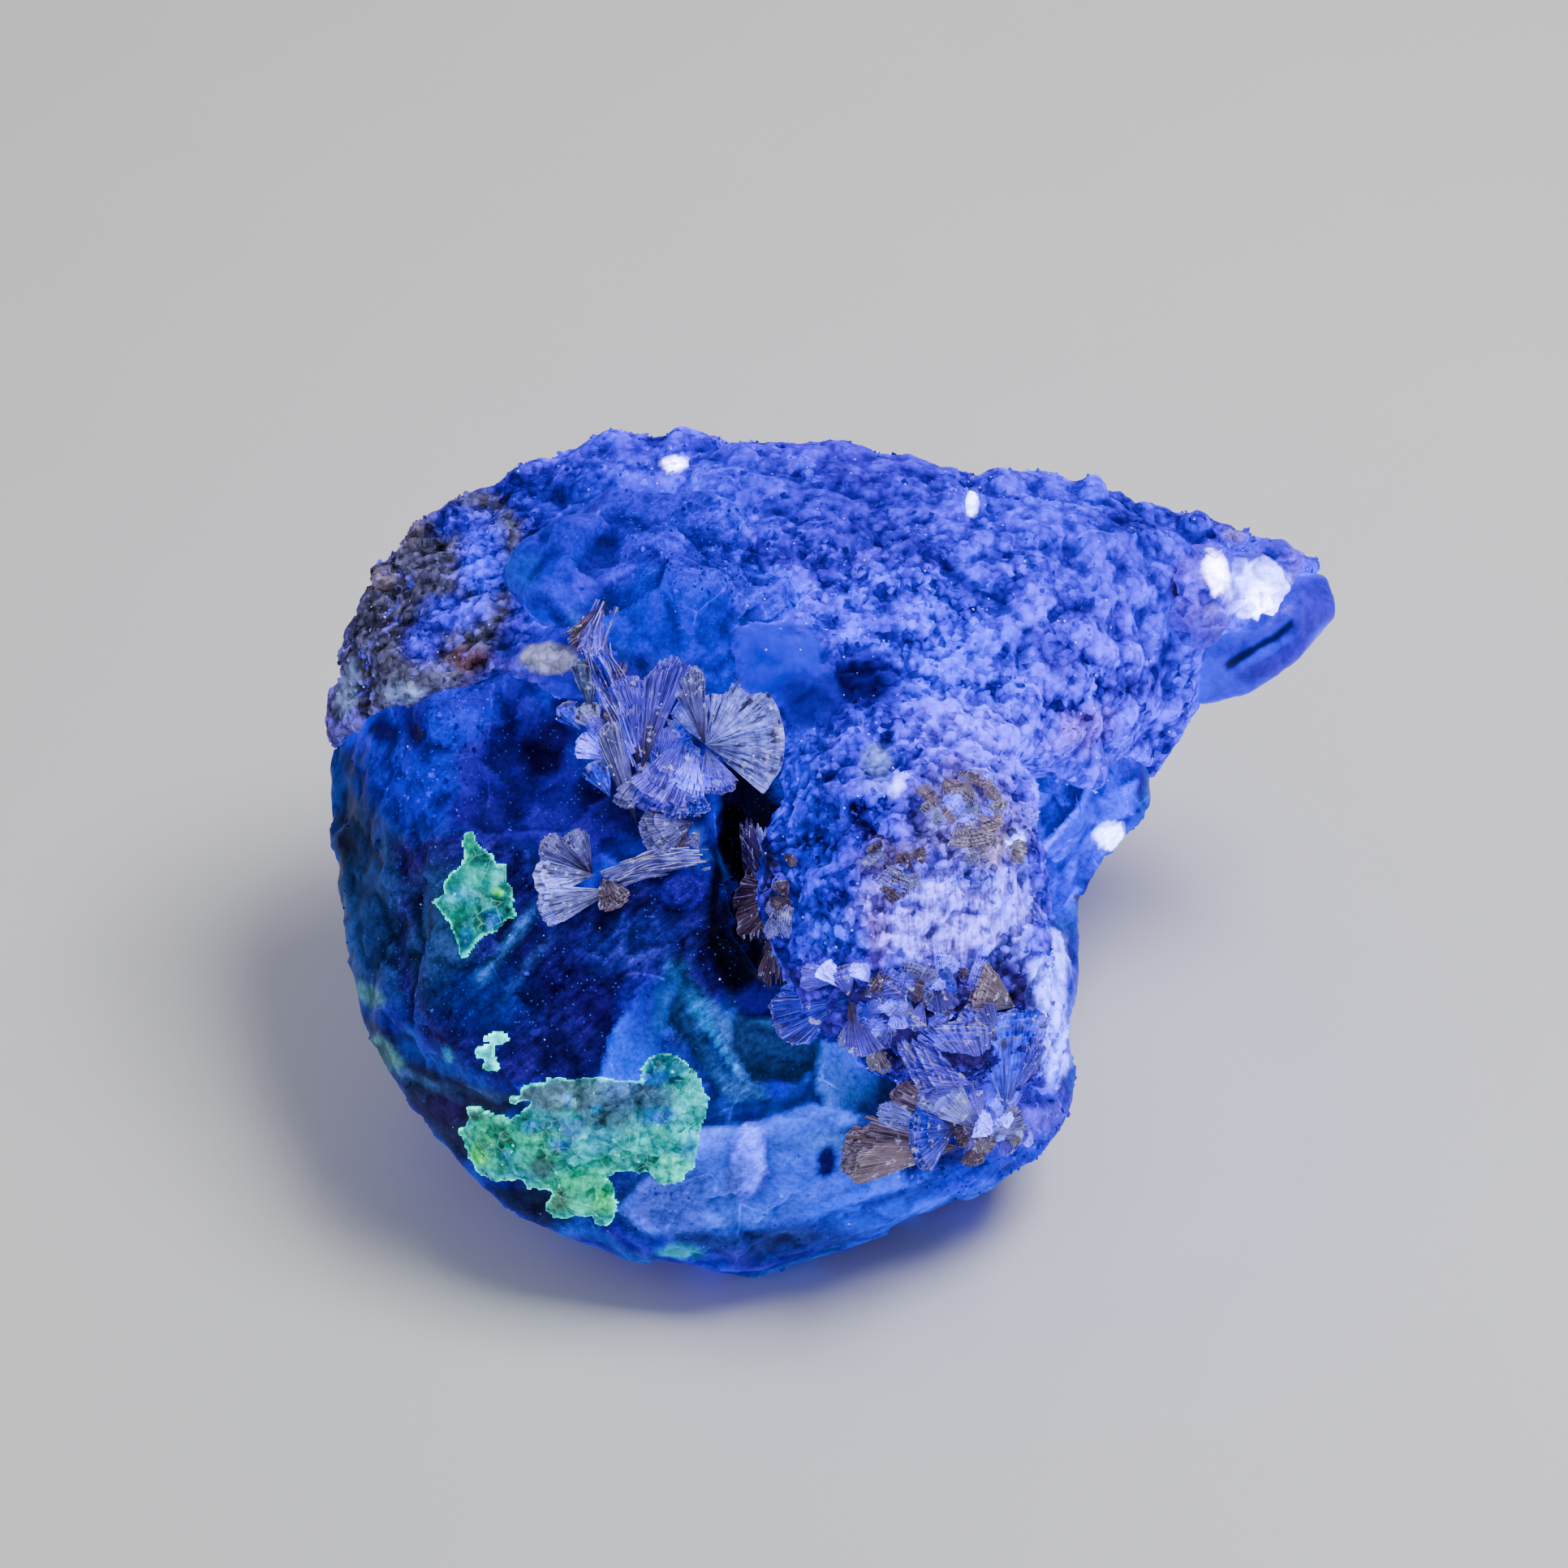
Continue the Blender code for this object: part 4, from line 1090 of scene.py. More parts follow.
def break_into_facets(obj: bpy.types.Object, size_mm: float, share: float | Array, tilt: float,
                      seed: int) -> None:
    """Breaks the skin into small flat faces that meet at crisp edges.

    Args:
        obj: the object reshaped.
        size_mm: about how wide a face is.
        share: how far each place moves onto its face, one number or one for each vertex.
        tilt: how far a face may turn from the skin under it.
        seed: fixes the pattern.
    """
    points, normals = points_of(obj.data), normals_of(obj.data)
    chance = np.random.default_rng(seed)
    cell = np.floor(points / MM / size_mm).astype(int)
    _, first = np.unique(cell, axis=0, return_index=True)
    first = first[chance.random(len(first)) < 0.75]
    tree = KDTree(len(first))
    for i, v in enumerate(first):
        tree.insert(points[v] + chance.normal(0, 0.25 * size_mm * MM, 3), i)
    tree.balance()
    owner = first[[tree.find(p)[1] for p in points]]
    turned = normals[owner] + chance.normal(0, tilt, (len(points), 3))[owner]
    turned /= np.linalg.norm(turned, axis=1, keepdims=True)
    gap = ((points - points[owner]) * turned).sum(axis=1)
    gap = np.clip(gap, -0.45 * size_mm * MM, 0.45 * size_mm * MM)
    share = np.broadcast_to(np.asarray(share, float), gap.shape)
    set_points(obj.data, points - turned * (gap * share)[:, None])


def settle(piece: bpy.types.Object, node: str | None = None) -> bpy.types.Object:
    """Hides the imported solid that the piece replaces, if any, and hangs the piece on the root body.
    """
    if node is not None:
        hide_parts(node)
    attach(piece, "root")
    return piece


def keep_in_box(obj: bpy.types.Object) -> None:
    """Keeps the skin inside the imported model's box."""
    low, high = np.array(CAD_BOX[0]), np.array(CAD_BOX[1])
    set_points(obj.data, np.clip(points_of(obj.data), low, high))


# --- Stones -----------------------------------------------------------------------------------

FLUORITE_GROUND = ((0.0131, 0.0002, 0.393), (0.000301, 0.0002, 0.933), (0.0183, 0.000418, 0.311),
                   (0.0122, 0.06, 0.651), (0.0146, 0.0002, 0.222), (0.0002, 0.0002, 0.984))
FELDSPAR_GROUND = ((0.027, 0.0002, 0.615), (0.043, 0.0002, 1.43), (0.0282, 0.0002, 1.02),
                   (0.0957, 0.0002, 2.01), (0.0346, 0.000201, 0.716), (0.0694, 0.0002, 1.56))
DULL_GROUND = ((0.0547, 0.0515, 0.132), (0.114, 0.103, 0.195), (0.0845, 0.0807, 0.223),
               (0.144, 0.106, 0.157), (0.0638, 0.0577, 0.443))

# Outlines of the flat faces that are both painted and cut into the skin
FACES: dict[str, tuple[Pair, ...]] = {
    "blade": ((735, 1338), (752, 1275), (800, 1212), (840, 1196), (832, 1262), (800, 1322),
              (772, 1350)),
    "wedge": ((842, 1196), (905, 1260), (950, 1352), (900, 1360), (850, 1290), (820, 1260)),
    "shelf": ((902, 1248), (1000, 1262), (1012, 1300), (985, 1334), (925, 1332), (898, 1290)),
    "corner": ((1012, 1282), (1062, 1290), (1085, 1330), (1078, 1382), (1030, 1390), (1005, 1340)),
    "side_top": ((1275, 1000), (1322, 944), (1350, 938), (1330, 990), (1290, 1040)),
    "side_chip": ((1345, 985), (1400, 962), (1396, 1004), (1352, 1018)),
    "side_slope": ((1275, 1060), (1345, 1024), (1384, 1014), (1340, 1070), (1306, 1126),
                   (1275, 1130)),
}

FLUORITE_ZONES: tuple[Zone | Patch, ...] = (
    # left edge and its lobes
    Zone(432, 1090, 55, 175, (0.0116, 0.0271, 0.128), 0.5),
    Zone(412, 1080, 20, 170, (0.00344, 0.00683, 0.0244), 0.5),
    Zone(425, 1160, 38, 75, (0.0217, 0.06, 0.271), 0.5),
    Zone(405, 960, 26, 60, (0.000307, 0.028, 0.334), 0.5),
    Zone(452, 892, 42, 36, (0.0002, 0.0002, 0.971)),
    Zone(519, 962, 62, 58, (0.0022, 0.0002, 0.857), marks=(0.5, 0.8, 0.6)),
    Zone(473, 901, 20, 16, (0.00872, 0.0002, 0.124)),
    Zone(514, 890, 15, 38, (0.0123, 0.0002, 0.17)),
    Zone(572, 880, 48, 42, (0.0002, 0.0002, 0.971), marks=(0.0, 1.0, 0.2)),
    Zone(600, 850, 70, 16, (0.0153, 0.0002, 0.598), 0.35, -18),
    # dark recess, with painted shade in the hollow
    Zone(645, 960, 88, 92, (0.0169, 0.0002, 0.331), 0.25, marks=(0.0, 0.5, 0.0)),
    Zone(672, 925, 26, 40, (0.00578, 0.0002, 0.0693), 0.35, 24),
    Zone(690, 1012, 72, 46, (0.0178, 0.0002, 0.348), 0.35, 14, marks=(0.3, 0.7, 0.3)),
    Zone(600, 1000, 38, 26, (0.0164, 0.0002, 0.263)),
    Zone(744, 1000, 36, 40, (0.0142, 0.0002, 0.218)),
    # etched field in the middle
    Patch(((480, 1040), (560, 1012), (640, 1040), (700, 1110), (790, 1070), (890, 1090),
           (905, 1180),
           (880, 1250), (790, 1310), (700, 1345), (600, 1330), (520, 1270), (470, 1180)),
          (0.0159, 0.00425, 0.168), 16, 14, marks=(1.0, 0.8, 0.1)),
    Zone(545, 1150, 40, 80, (0.0175, 0.0544, 0.205), 0.6, marks=(0.6, 0.7, 0.2)),
    Zone(470, 1130, 26, 110, (0.0152, 0.0475, 0.265), 0.6),
    Zone(600, 1225, 60, 40, (0.000383, 0.01, 0.204), 0.6, marks=(0.8, 0.6, 0.2)),
    Zone(628, 1160, 9, 60, (0.0317, 0.152, 0.678), 0.6, 38, 0.7),
    Zone(655, 1185, 7, 46, (0.0368, 0.0869, 0.597), 0.6, 38, 0.6),
    Zone(772, 1165, 60, 30, (0.0217, 0.0201, 0.365), 0.6, -28, marks=(1.0, 0.9, 0.0)),
    Zone(700, 1210, 46, 36, (0.0109, 0.0002, 0.135), 0.5, marks=(1.0, 0.9, 0.0)),
    Zone(760, 1240, 50, 40, (0.0106, 0.0002, 0.125), 0.5, marks=(1.0, 1.0, 0.0)),
    Zone(842, 1098, 40, 26, (0.0161, 0.0002, 0.267), 0.25),
    Zone(900, 1165, 30, 45, (0.00743, 0.0002, 0.0888)),
    # smooth facets to the right of it
    Patch(FACES["blade"], (0.000259, 0.0489, 1.31), 4, 4, marks=(0.1, 0.4, 0.2)),
    Zone(798, 1240, 30, 34, (0.00927, 0.00145, 0.592), 0.6, 20, 0.85),
    Zone(822, 1230, 16, 50, (0.0114, 0.0818, 0.376), 0.5, 20, 0.8),
    Patch(FACES["wedge"], (0.0209, 0.0952, 0.465), 5, 5, marks=(0.9, 0.5, 0.1)),
    Zone(858, 1240, 10, 46, (0.0088, 0.232, 0.994), 0.35, -32, 0.8),
    Zone(876, 1270, 4, 60, (0.00129, 0.337, 1.25), 0.35, -32, 0.7),
    Zone(886, 1300, 7, 40, (0.00137, 0.00111, 0.12), 0.35, -30, 0.8),
    Zone(850, 1290, 5, 46, (0.0002, 0.00875, 0.172), 0.35, -30, 0.7),
    Patch(FACES["shelf"], (0.0278, 0.0878, 0.369), 4, 4, marks=(0.5, 0.3, 0.3)),
    Zone(960, 1276, 40, 3, (0.000494, 0.00922, 0.118), 0.35, 14, 0.8),
    Zone(962, 1306, 40, 3, (0.000494, 0.00922, 0.118), 0.35, 14, 0.8),
    Zone(950, 1262, 46, 3, (0.026, 0.251, 0.707), 0.35, 12, 0.7),
    Zone(932, 1232, 30, 24, (0.0147, 0.0002, 0.217), 0.3),
    Zone(905, 1200, 30, 22, (0.0113, 0.0002, 0.153), 0.4),
    Zone(957, 1341, 15, 13, (0.0002, 0.0002, 0.925), 0.3),
    Patch(FACES["corner"], (0.0461, 0.186, 1.01), 4, 5, marks=(0.1, 0.4, 0.5)),
    Zone(1090, 1350, 24, 30, (0.0178, 0.152, 0.685), 0.4),
    # milky band along the foot
    Patch(((850, 1392), (930, 1384), (1000, 1358), (1075, 1378), (1110, 1400), (1120, 1460),
           (1000, 1500), (880, 1520), (800, 1520), (760, 1490), (800, 1450), (850, 1440)),
          (0.0389, 0.153, 1.65), 10, 8, marks=(0.0, 0.4, 0.9)),
    Zone(1010, 1450, 70, 30, (0.0308, 0.127, 1.98), 0.6, -14, 0.85),
    Zone(880, 1412, 40, 16, (0.0619, 0.158, 1.91), 0.6, -8, 0.7),
    Zone(820, 1475, 60, 46, (0.06, 0.106, 0.972), 0.4, marks=(0.3, 1.0, 0.8)),
    Zone(922, 1434, 24, 44, (0.146, 0.218, 2.75), 0.12, 8, marks=(0.6, 0.5, 0.5)),
    Zone(905, 1452, 12, 26, (0.0937, 0.147, 1.25), 0.3, 20),
    Zone(1040, 1400, 60, 14, (0.0515, 0.192, 1.29), 0.4, -8),
    Zone(1080, 1490, 85, 30, (0.000284, 0.0699, 1.88), 0.4, -12, marks=(0.1, 0.5, 0.5)),
    Zone(1180, 1475, 110, 38, (0.000208, 0.056, 1.5), 0.4, -22, marks=(0.1, 0.7, 0.3)),
    Zone(1280, 1420, 46, 60, (0.0139, 0.00602, 0.9), 0.4, marks=(0.2, 1.0, 0.3)),
    Zone(892, 1503, 24, 9, (0.0607, 0.211, 1.77), 0.2),
    Zone(838, 1541, 26, 9, (0.000645, 0.379, 0.585), 0.3),
    Zone(950, 1525, 110, 16, (0.0202, 0.0344, 0.316), 0.6, -4),
    Zone(1019, 1432, 11, 18, (0.0114, 0.0002, 0.158), 0.35, 12),
    # dark lower left rim
    Patch(((430, 1240), (470, 1262), (500, 1300), (560, 1330), (640, 1352), (600, 1400),
           (560, 1450),
           (600, 1520), (720, 1560), (640, 1560), (520, 1470), (450, 1360), (400, 1260)),
          (0.016, 0.0209, 0.0927), 7, 5, marks=(0.1, 0.2, 0.3)),
    Zone(553, 1362, 30, 20, (0.0218, 0.0103, 0.115), 0.5, 20),
    Zone(500, 1322, 60, 6, (0.0499, 0.117, 0.41), 0.6, 26),
    Zone(590, 1346, 50, 5, (0.0478, 0.0865, 0.371), 0.6, 12),
    Zone(650, 1490, 52, 34, (0.0107, 0.0147, 0.0816), 0.4, 18),
    Zone(700, 1545, 90, 16, (0.0228, 0.0435, 0.242), 0.6, 10),
    Zone(455, 1225, 22, 11, (0.0597, 0.212, 0.319), 0.3, 28),
    Zone(468, 1300, 26, 19, (0.064, 0.199, 0.267), 0.3, 40),
    Zone(552, 1299, 7, 10, (0.026, 0.251, 0.707), 0.3),
    # upper glassy lumps
    Zone(815, 745, 82, 60, (0.0002, 0.0002, 0.934), 0.3, marks=(0.1, 0.6, 0.2)),
    Zone(860, 790, 50, 30, (0.0002, 0.0002, 0.988), 0.4),
    Zone(700, 700, 62, 46, (0.00765, 0.0002, 0.8), 0.4),
    Zone(715, 645, 90, 34, (0.0114, 0.0002, 0.572), 0.4, -6, marks=(0.1, 0.6, 0.2)),
    Zone(648, 702, 18, 20, (0.000842, 0.0322, 0.682), 0.3),
    Zone(748, 705, 40, 26, (0.0436, 0.00201, 1.42), 0.3, -22),
    Zone(815, 684, 26, 15, (0.011, 0.0002, 0.143), 0.3, 18),
    Zone(940, 815, 72, 62, (0.000472, 0.0002, 0.857), 0.4, marks=(0.1, 0.6, 0.2)),
    Zone(1000, 860, 40, 34, (0.0122, 0.0002, 0.438), 0.4),
    Zone(614, 808, 27, 20, (0.0581, 0.127, 0.362), 0.3),
    Zone(676, 812, 38, 21, (0.227, 0.249, 0.598), 0.25),
    Zone(870, 650, 150, 60, (0.0226, 0.0002, 0.938), 0.4, 14, marks=(0.7, 1.0, 0.2)),
    Zone(960, 730, 70, 40, (0.0219, 0.0002, 1.14), 0.4, 14, marks=(0.7, 1.0, 0.2)),
    # among the mica: painted shade under the books, then a speckled patch and a blue band
    Patch(((740, 860), (800, 830), (860, 880), (880, 990), (840, 1050), (760, 1030), (740, 940)),
          (0.0112, 0.0002, 0.133), 10, 10, share=0.85),
    Patch(((1080, 1330), (1200, 1320), (1250, 1400), (1190, 1440), (1060, 1440), (1040, 1400)),
          (0.0201, 0.0074, 0.161), 8, 10, share=0.8),
    Patch(((1190, 1340), (1300, 1320), (1320, 1376), (1270, 1410), (1190, 1420)),
          (0.121, 0.0597, 1.2), 8, 14, share=0.85, marks=(0.5, 1.0, 0.4)),
    Zone(1215, 1440, 100, 16, (0.0002, 0.0002, 1.05), 0.5, -20),
    # cleft, filled with painted shade
    Patch(((885, 945), (948, 930), (965, 1000), (960, 1060), (965, 1120), (960, 1200), (900, 1225),
           (866, 1170), (872, 1090), (880, 1030)), (0.00192, 0.00153, 0.00879), 8, 5),
    # right side
    Zone(1335, 1010, 62, 66, (0.0002, 0.0002, 1.58), 0.35, marks=(0.2, 0.4, 0.3)),
    Patch(FACES["side_top"], (0.0133, 0.0002, 0.939), 3, 3, marks=(0.4, 0.3, 0.1)),
    Patch(FACES["side_chip"], (0.00729, 0.0002, 2.19), 3, 3),
    Patch(FACES["side_slope"], (0.0289, 0.000257, 3.34), 3, 4, marks=(0.4, 0.3, 0.5)),
    Zone(1312, 1062, 3, 56, (0.0002, 0.0002, 1.14), 0.5, 38, 0.8),
    Zone(1290, 1040, 3, 46, (0.24, 0.209, 5.48), 0.5, 42, 0.7),
    Zone(1366, 1030, 17, 14, (2.49, 3.23, 10.5), 0.2, -20),
    Patch(((1275, 1140), (1310, 1150), (1325, 1220), (1325, 1300), (1300, 1335), (1278, 1330)),
          (0.599, 0.673, 5.45), 5, 5, marks=(0.3, 0.6, 0.8)),
    Zone(1325, 1245, 11, 90, (0.0057, 0.0002, 0.55), 0.4),
)

FLUORITE_FEATURES: tuple[Bulge | Facet, ...] = (
    Facet(FACES["blade"], across=-0.15, down=0.05, out_mm=0.1),
    Facet(FACES["wedge"], across=0.25, out_mm=-0.1),
    Facet(FACES["shelf"], across=0.1, down=-0.2, out_mm=-0.25),
    Facet(FACES["corner"], across=-0.2, down=0.1, out_mm=0.35),
    Facet(((850, 1392), (930, 1384), (1000, 1358), (1075, 1378), (1120, 1460), (1000, 1500),
           (880, 1520), (800, 1520), (760, 1490)), down=-0.05, out_mm=0.1, flatness=0.7),
    Bulge(519, 960, 70, 64, 0.9),
    Bulge(452, 895, 40, 36, 0.6),
    Bulge(640, 950, 70, 80, -0.8, 0, 0.3),
    Bulge(690, 1012, 70, 42, 0.9, 14),
    Bulge(842, 1098, 38, 24, 0.8, 0, 0.4),
    Bulge(932, 1232, 28, 22, 0.6, 0, 0.3),
    Bulge(628, 1160, 8, 60, 0.35, 38),
    Bulge(815, 745, 80, 56, 0.7),
    Bulge(676, 812, 36, 20, 0.8, 0, 0.4),
    Bulge(614, 808, 24, 18, 0.8, 0, 0.4),
    Bulge(922, 1434, 24, 44, 0.35, 8, 0.6),
    Facet(FACES["side_top"], across=-0.5, out_mm=-0.2),
    Facet(FACES["side_chip"], across=0.3, out_mm=0.2),
    Facet(FACES["side_slope"], across=0.3, down=-0.3, out_mm=0.2),
)

FELDSPAR_ZONES: tuple[Zone | Patch, ...] = (
    Zone(640, 640, 95, 70, (0.023, 0.0002, 0.617), 0.6),
    Zone(740, 620, 90, 40, (0.0154, 0.0002, 0.795), 0.6, marks=(0.0, 0.6, 0.45)),
    Zone(830, 560, 120, 24, (0.0374, 0.0002, 1.17), 0.7, 4, marks=(0.0, 0.4, 0.5)),
    Zone(1080, 560, 150, 28, (0.0589, 0.0002, 1.24), 0.7, 6, marks=(0.0, 0.4, 0.5)),
    Zone(900, 610, 110, 44, (0.0402, 0.0002, 1.48), 0.7, marks=(0.0, 0.5, 0.3)),
    Zone(1100, 630, 140, 50, (0.0373, 0.0002, 1.05), 0.7, marks=(0.0, 0.5, 0.4)),
    Zone(1180, 660, 70, 22, (0.0745, 0.0002, 1.97), 0.6, 20, 0.8),
    Zone(1010, 680, 60, 18, (0.0236, 0.0002, 0.462), 0.6, -14, 0.8, ragged=0.7),
    Zone(900, 690, 44, 22, (0.0205, 0.0002, 0.4), 0.6, 0, 0.8, ragged=0.7),
    Zone(1040, 590, 50, 12, (0.026, 0.0002, 0.508), 0.6, 10, 0.7, ragged=0.7),
    Zone(1240, 610, 44, 12, (0.0302, 0.0002, 0.578), 0.6, 14, 0.7, ragged=0.7),
    Zone(1300, 650, 120, 60, (0.0519, 0.0002, 1.82), 0.7, marks=(0.0, 0.6, 0.3)),
    Zone(1420, 740, 90, 60, (0.0592, 0.0002, 1.71), 0.7, marks=(0.0, 0.6, 0.35)),
    Zone(1150, 790, 150, 84, (0.0783, 0.0002, 3.02), 0.6, 0, 0.65, ragged=0.7),
    Zone(1370, 860, 80, 80, (0.121, 0.00057, 3.33), 0.6, 0, 0.75, ragged=0.7),
    Zone(1380, 640, 40, 14, (0.0201, 0.0002, 0.482), 0.6, 12, 0.8),
    Zone(1330, 760, 46, 24, (0.0895, 0.0002, 2.36), 0.6, 20, 0.7),
    Zone(1400, 800, 60, 26, (0.128, 0.00034, 2.68), 0.6, 16, 0.8),
    Zone(1440, 800, 20, 14, (0.0319, 0.0002, 0.46), 0.6, 0, 0.8),
    Zone(1100, 700, 130, 40, (0.0395, 0.0002, 0.997), 0.7, 14),
    # painted shade along the groove
    Zone(1205, 730, 120, 15, (0.0246, 0.00382, 0.366), 0.6, 36, 0.85, marks=(0.0, 0.3, 0.5)),
    Zone(1130, 770, 90, 60, (0.0691, 0.000261, 2.78), 0.5, ragged=0.6),
    Zone(1080, 740, 50, 36, (0.0697, 0.000295, 2.24), 0.5),
    Zone(1210, 850, 90, 70, (0.0582, 0.000342, 2.71), 0.6),
    Zone(1210, 910, 80, 48, (0.232, 0.0981, 3.13), 0.6),
    Zone(1350, 850, 110, 90, (0.0935, 0.0002, 2.4), 0.6, ragged=0.6),
    Zone(1330, 900, 40, 20, (0.349, 0.136, 1.34), 0.6, -30, 0.7, ragged=0.7),
    Zone(1390, 850, 26, 16, (0.0317, 0.0002, 0.55), 0.6, 0, 0.8, ragged=0.7),
    Zone(1310, 820, 30, 14, (0.0309, 0.0002, 0.633), 0.6, 30, 0.8, ragged=0.7),
    # the hole: painted shade in it, and a glassy bead
    Zone(1062, 838, 50, 36, (0.0172, 0.0002, 0.338), 0.35, marks=(0.0, 0.6, 0.8)),
    Zone(1040, 850, 20, 16, (0.0127, 0.0002, 0.218), 0.35, marks=(0.0, 0.6, 0.8)),
    Zone(1095, 835, 14, 15, (0.0177, 0.0002, 0.454), 0.2, marks=(0.0, 0.8, 1.0)),
    Zone(985, 990, 60, 90, (0.0281, 0.0121, 0.524), 0.5),
    Zone(1000, 1110, 70, 80, (0.0245, 0.000757, 0.843), 0.5),
    Zone(1022, 1150, 24, 30, (0.0366, 0.044, 1.65), 0.4),
    # painted shade in a pit and along the crease beside it
    Zone(1055, 1002, 14, 20, (0.00502, 0.0002, 0.0549), 0.3),
    Zone(1075, 1030, 28, 9, (0.00665, 0.0002, 0.0716), 0.4, 30),
    Zone(1100, 1060, 44, 22, (0.109, 0.0704, 0.313), 0.5),
    Zone(1082, 960, 20, 22, (0.133, 0.145, 1.51), 0.4),
    Zone(1190, 1015, 66, 56, (0.322, 0.223, 1.39), 0.5),
    Zone(1175, 975, 40, 20, (0.165, 0.109, 0.637), 0.5),
    Zone(1225, 1040, 28, 26, (0.4, 0.299, 0.709), 0.5),
    Patch(((1060, 1090), (1140, 1072), (1262, 1070), (1272, 1120), (1262, 1185), (1150, 1190),
           (1075, 1170)), (0.307, 0.269, 2.84), 12, 10, marks=(1.0, 0.5, 0.0)),
    Zone(1085, 1132, 18, 40, (0.478, 0.14, 0.465), 0.6, 0, 0.7),
    Zone(1168, 1168, 36, 16, (0.429, 0.161, 0.598), 0.6, 0, 0.6),
    # painted shade under the mica books
    Zone(1180, 1225, 90, 36, (0.0584, 0.034, 0.262), 0.5, ragged=0.6),
    Zone(1110, 1250, 56, 34, (0.0224, 0.00662, 0.0974), 0.5, ragged=0.6),
    Zone(1165, 1310, 64, 44, (0.0179, 0.0032, 0.115), 0.5, ragged=0.6),
    Zone(1185, 1370, 70, 40, (0.0253, 0.0117, 0.0637), 0.5, ragged=0.6),
    Zone(1272, 1390, 44, 46, (0.122, 0.0915, 1.23), 0.5),
    Patch(((1268, 1180), (1300, 1170), (1322, 1200), (1320, 1300), (1292, 1338), (1272, 1300)),
          (0.55, 0.597, 4.82), 5, 8, marks=(0.2, 0.8, 0.4)),
    Zone(1250, 1035, 10, 12, (1.28, 1.31, 7.84), 0.4, ragged=0.6),
    Zone(1105, 968, 6, 15, (0.944, 0.874, 5.84), 0.4, 20, ragged=0.7),
    Zone(1082, 935, 18, 20, (0.271, 0.397, 1.46), 0.4, 0, 0.8, marks=(0.0, 0.4, 0.7)),
    Zone(985, 1010, 46, 100, (0.00734, 0.0002, 1.66), 0.6, 0, 0.6, ragged=0.6),
    Zone(1168, 1126, 92, 46, (0.608, 0.432, 3.57), 0.4, 0, 0.7, ragged=0.5, marks=(1.0, 0.4, 0.2)),
    Zone(1130, 1000, 12, 30, (0.0262, 0.00973, 0.16), 0.5, 10, 0.8),
    Zone(1165, 945, 30, 14, (0.118, 0.0729, 0.373), 0.5, -10, 0.7),
    Zone(1150, 1075, 50, 8, (0.0573, 0.0287, 0.223), 0.6, 0, 0.7),
    # painted glints: two bright white sparkles
    Zone(830, 572, 13, 8, (5.5, 5.16, 19.8), 0.4, ragged=0.2),
    Zone(1197, 622, 6, 13, (4.02, 4.44, 19.6), 0.4, ragged=0.2),
    # painted shade in the cleft
    Zone(930, 1090, 40, 70, (0.0132, 0.00898, 0.0431), 0.5),
    Zone(915, 985, 30, 50, (0.00261, 0.00169, 0.0127), 0.4),
    # beside the glassy lumps
    Zone(940, 815, 78, 66, (0.000472, 0.0002, 0.857), 0.3, marks=(0.0, 0.4, 1.0)),
    Zone(1000, 862, 44, 34, (0.0119, 0.0002, 0.455), 0.3, marks=(0.0, 0.4, 0.8)),
    Zone(720, 815, 86, 50, (0.0118, 0.0002, 0.489), 0.4, marks=(0.0, 0.5, 0.8)),
    Zone(676, 812, 36, 20, (0.258, 0.266, 0.555), 0.12, ragged=0.15, marks=(0.0, 0.6, 0.4)),
    # painted shade under the mica rosettes
    Patch(((950, 1190), (1060, 1185), (1180, 1190), (1262, 1186), (1290, 1260), (1290, 1340),
           (1190, 1350), (1100, 1330), (1060, 1290), (960, 1290)), (0.0373, 0.0163, 0.183), 10, 14,
           share=0.85),
    Patch(((740, 730), (800, 800), (860, 800), (900, 860), (880, 990), (760, 1020), (730, 900)),
          (0.0138, 0.0002, 0.161), 10, 10, share=0.8, marks=(0.0, 0.5, 0.5)),
    # left end
    Patch(((400, 880), (430, 780), (470, 690), (540, 620), (600, 600), (640, 640), (640, 720),
           (600, 800), (560, 850), (480, 880)), (0.104, 0.105, 0.223), 14, 12),
    Zone(470, 715, 20, 16, (0.167, 0.134, 0.195), 0.4),
    Zone(596, 690, 28, 52, (0.0411, 0.00212, 1.94), 0.5),
    Zone(560, 640, 30, 18, (0.0255, 0.0002, 0.859), 0.6, -30, 0.9),
    Zone(556, 756, 34, 22, (0.0396, 0.000318, 1.58), 0.6, 0, 0.9),
    Zone(520, 790, 24, 26, (0.0399, 0.000825, 1.1), 0.6, 0, 0.85),
    Zone(530, 700, 26, 20, (0.142, 0.13, 0.354), 0.6, 0, 0.8),
    Zone(500, 660, 30, 16, (0.16, 0.14, 0.202), 0.6, -30, 0.8),
    Zone(574, 812, 26, 16, (0.158, 0.0662, 0.112), 0.6, 0, 0.85),
    Zone(480, 775, 20, 18, (0.0709, 0.0608, 0.142), 0.6, 0, 0.8),
    Zone(455, 800, 14, 34, (0.0702, 0.0711, 0.157), 0.5, 14, 0.8),
    Zone(497, 855, 26, 12, (0.248, 0.355, 0.773), 0.3, marks=(0.0, 0.4, 0.5)),
    Zone(502, 858, 7, 6, (0.00539, 0.0041, 0.0288), 0.3),
    Zone(430, 850, 13, 34, (0.201, 0.277, 0.625), 0.3, 14, marks=(0.0, 0.4, 0.7)),
    # spur
    Zone(1452, 720, 12, 24, (0.0627, 0.0154, 0.101), 0.4),
    Zone(1505, 800, 22, 12, (0.143, 0.0835, 0.315), 0.5),
    Zone(1520, 660, 14, 12, (0.187, 0.135, 0.466), 0.4),
    Zone(1590, 690, 16, 14, (0.154, 0.0401, 1.08), 0.4, marks=(0.0, 0.5, 0.7)),
)

GLASSY_LUMPS = (
    Zone(940, 815, 74, 62, UNPAINTED, 0.2),
    Zone(720, 815, 80, 46, UNPAINTED, 0.2),
    Zone(1000, 862, 40, 32, UNPAINTED, 0.2),
)

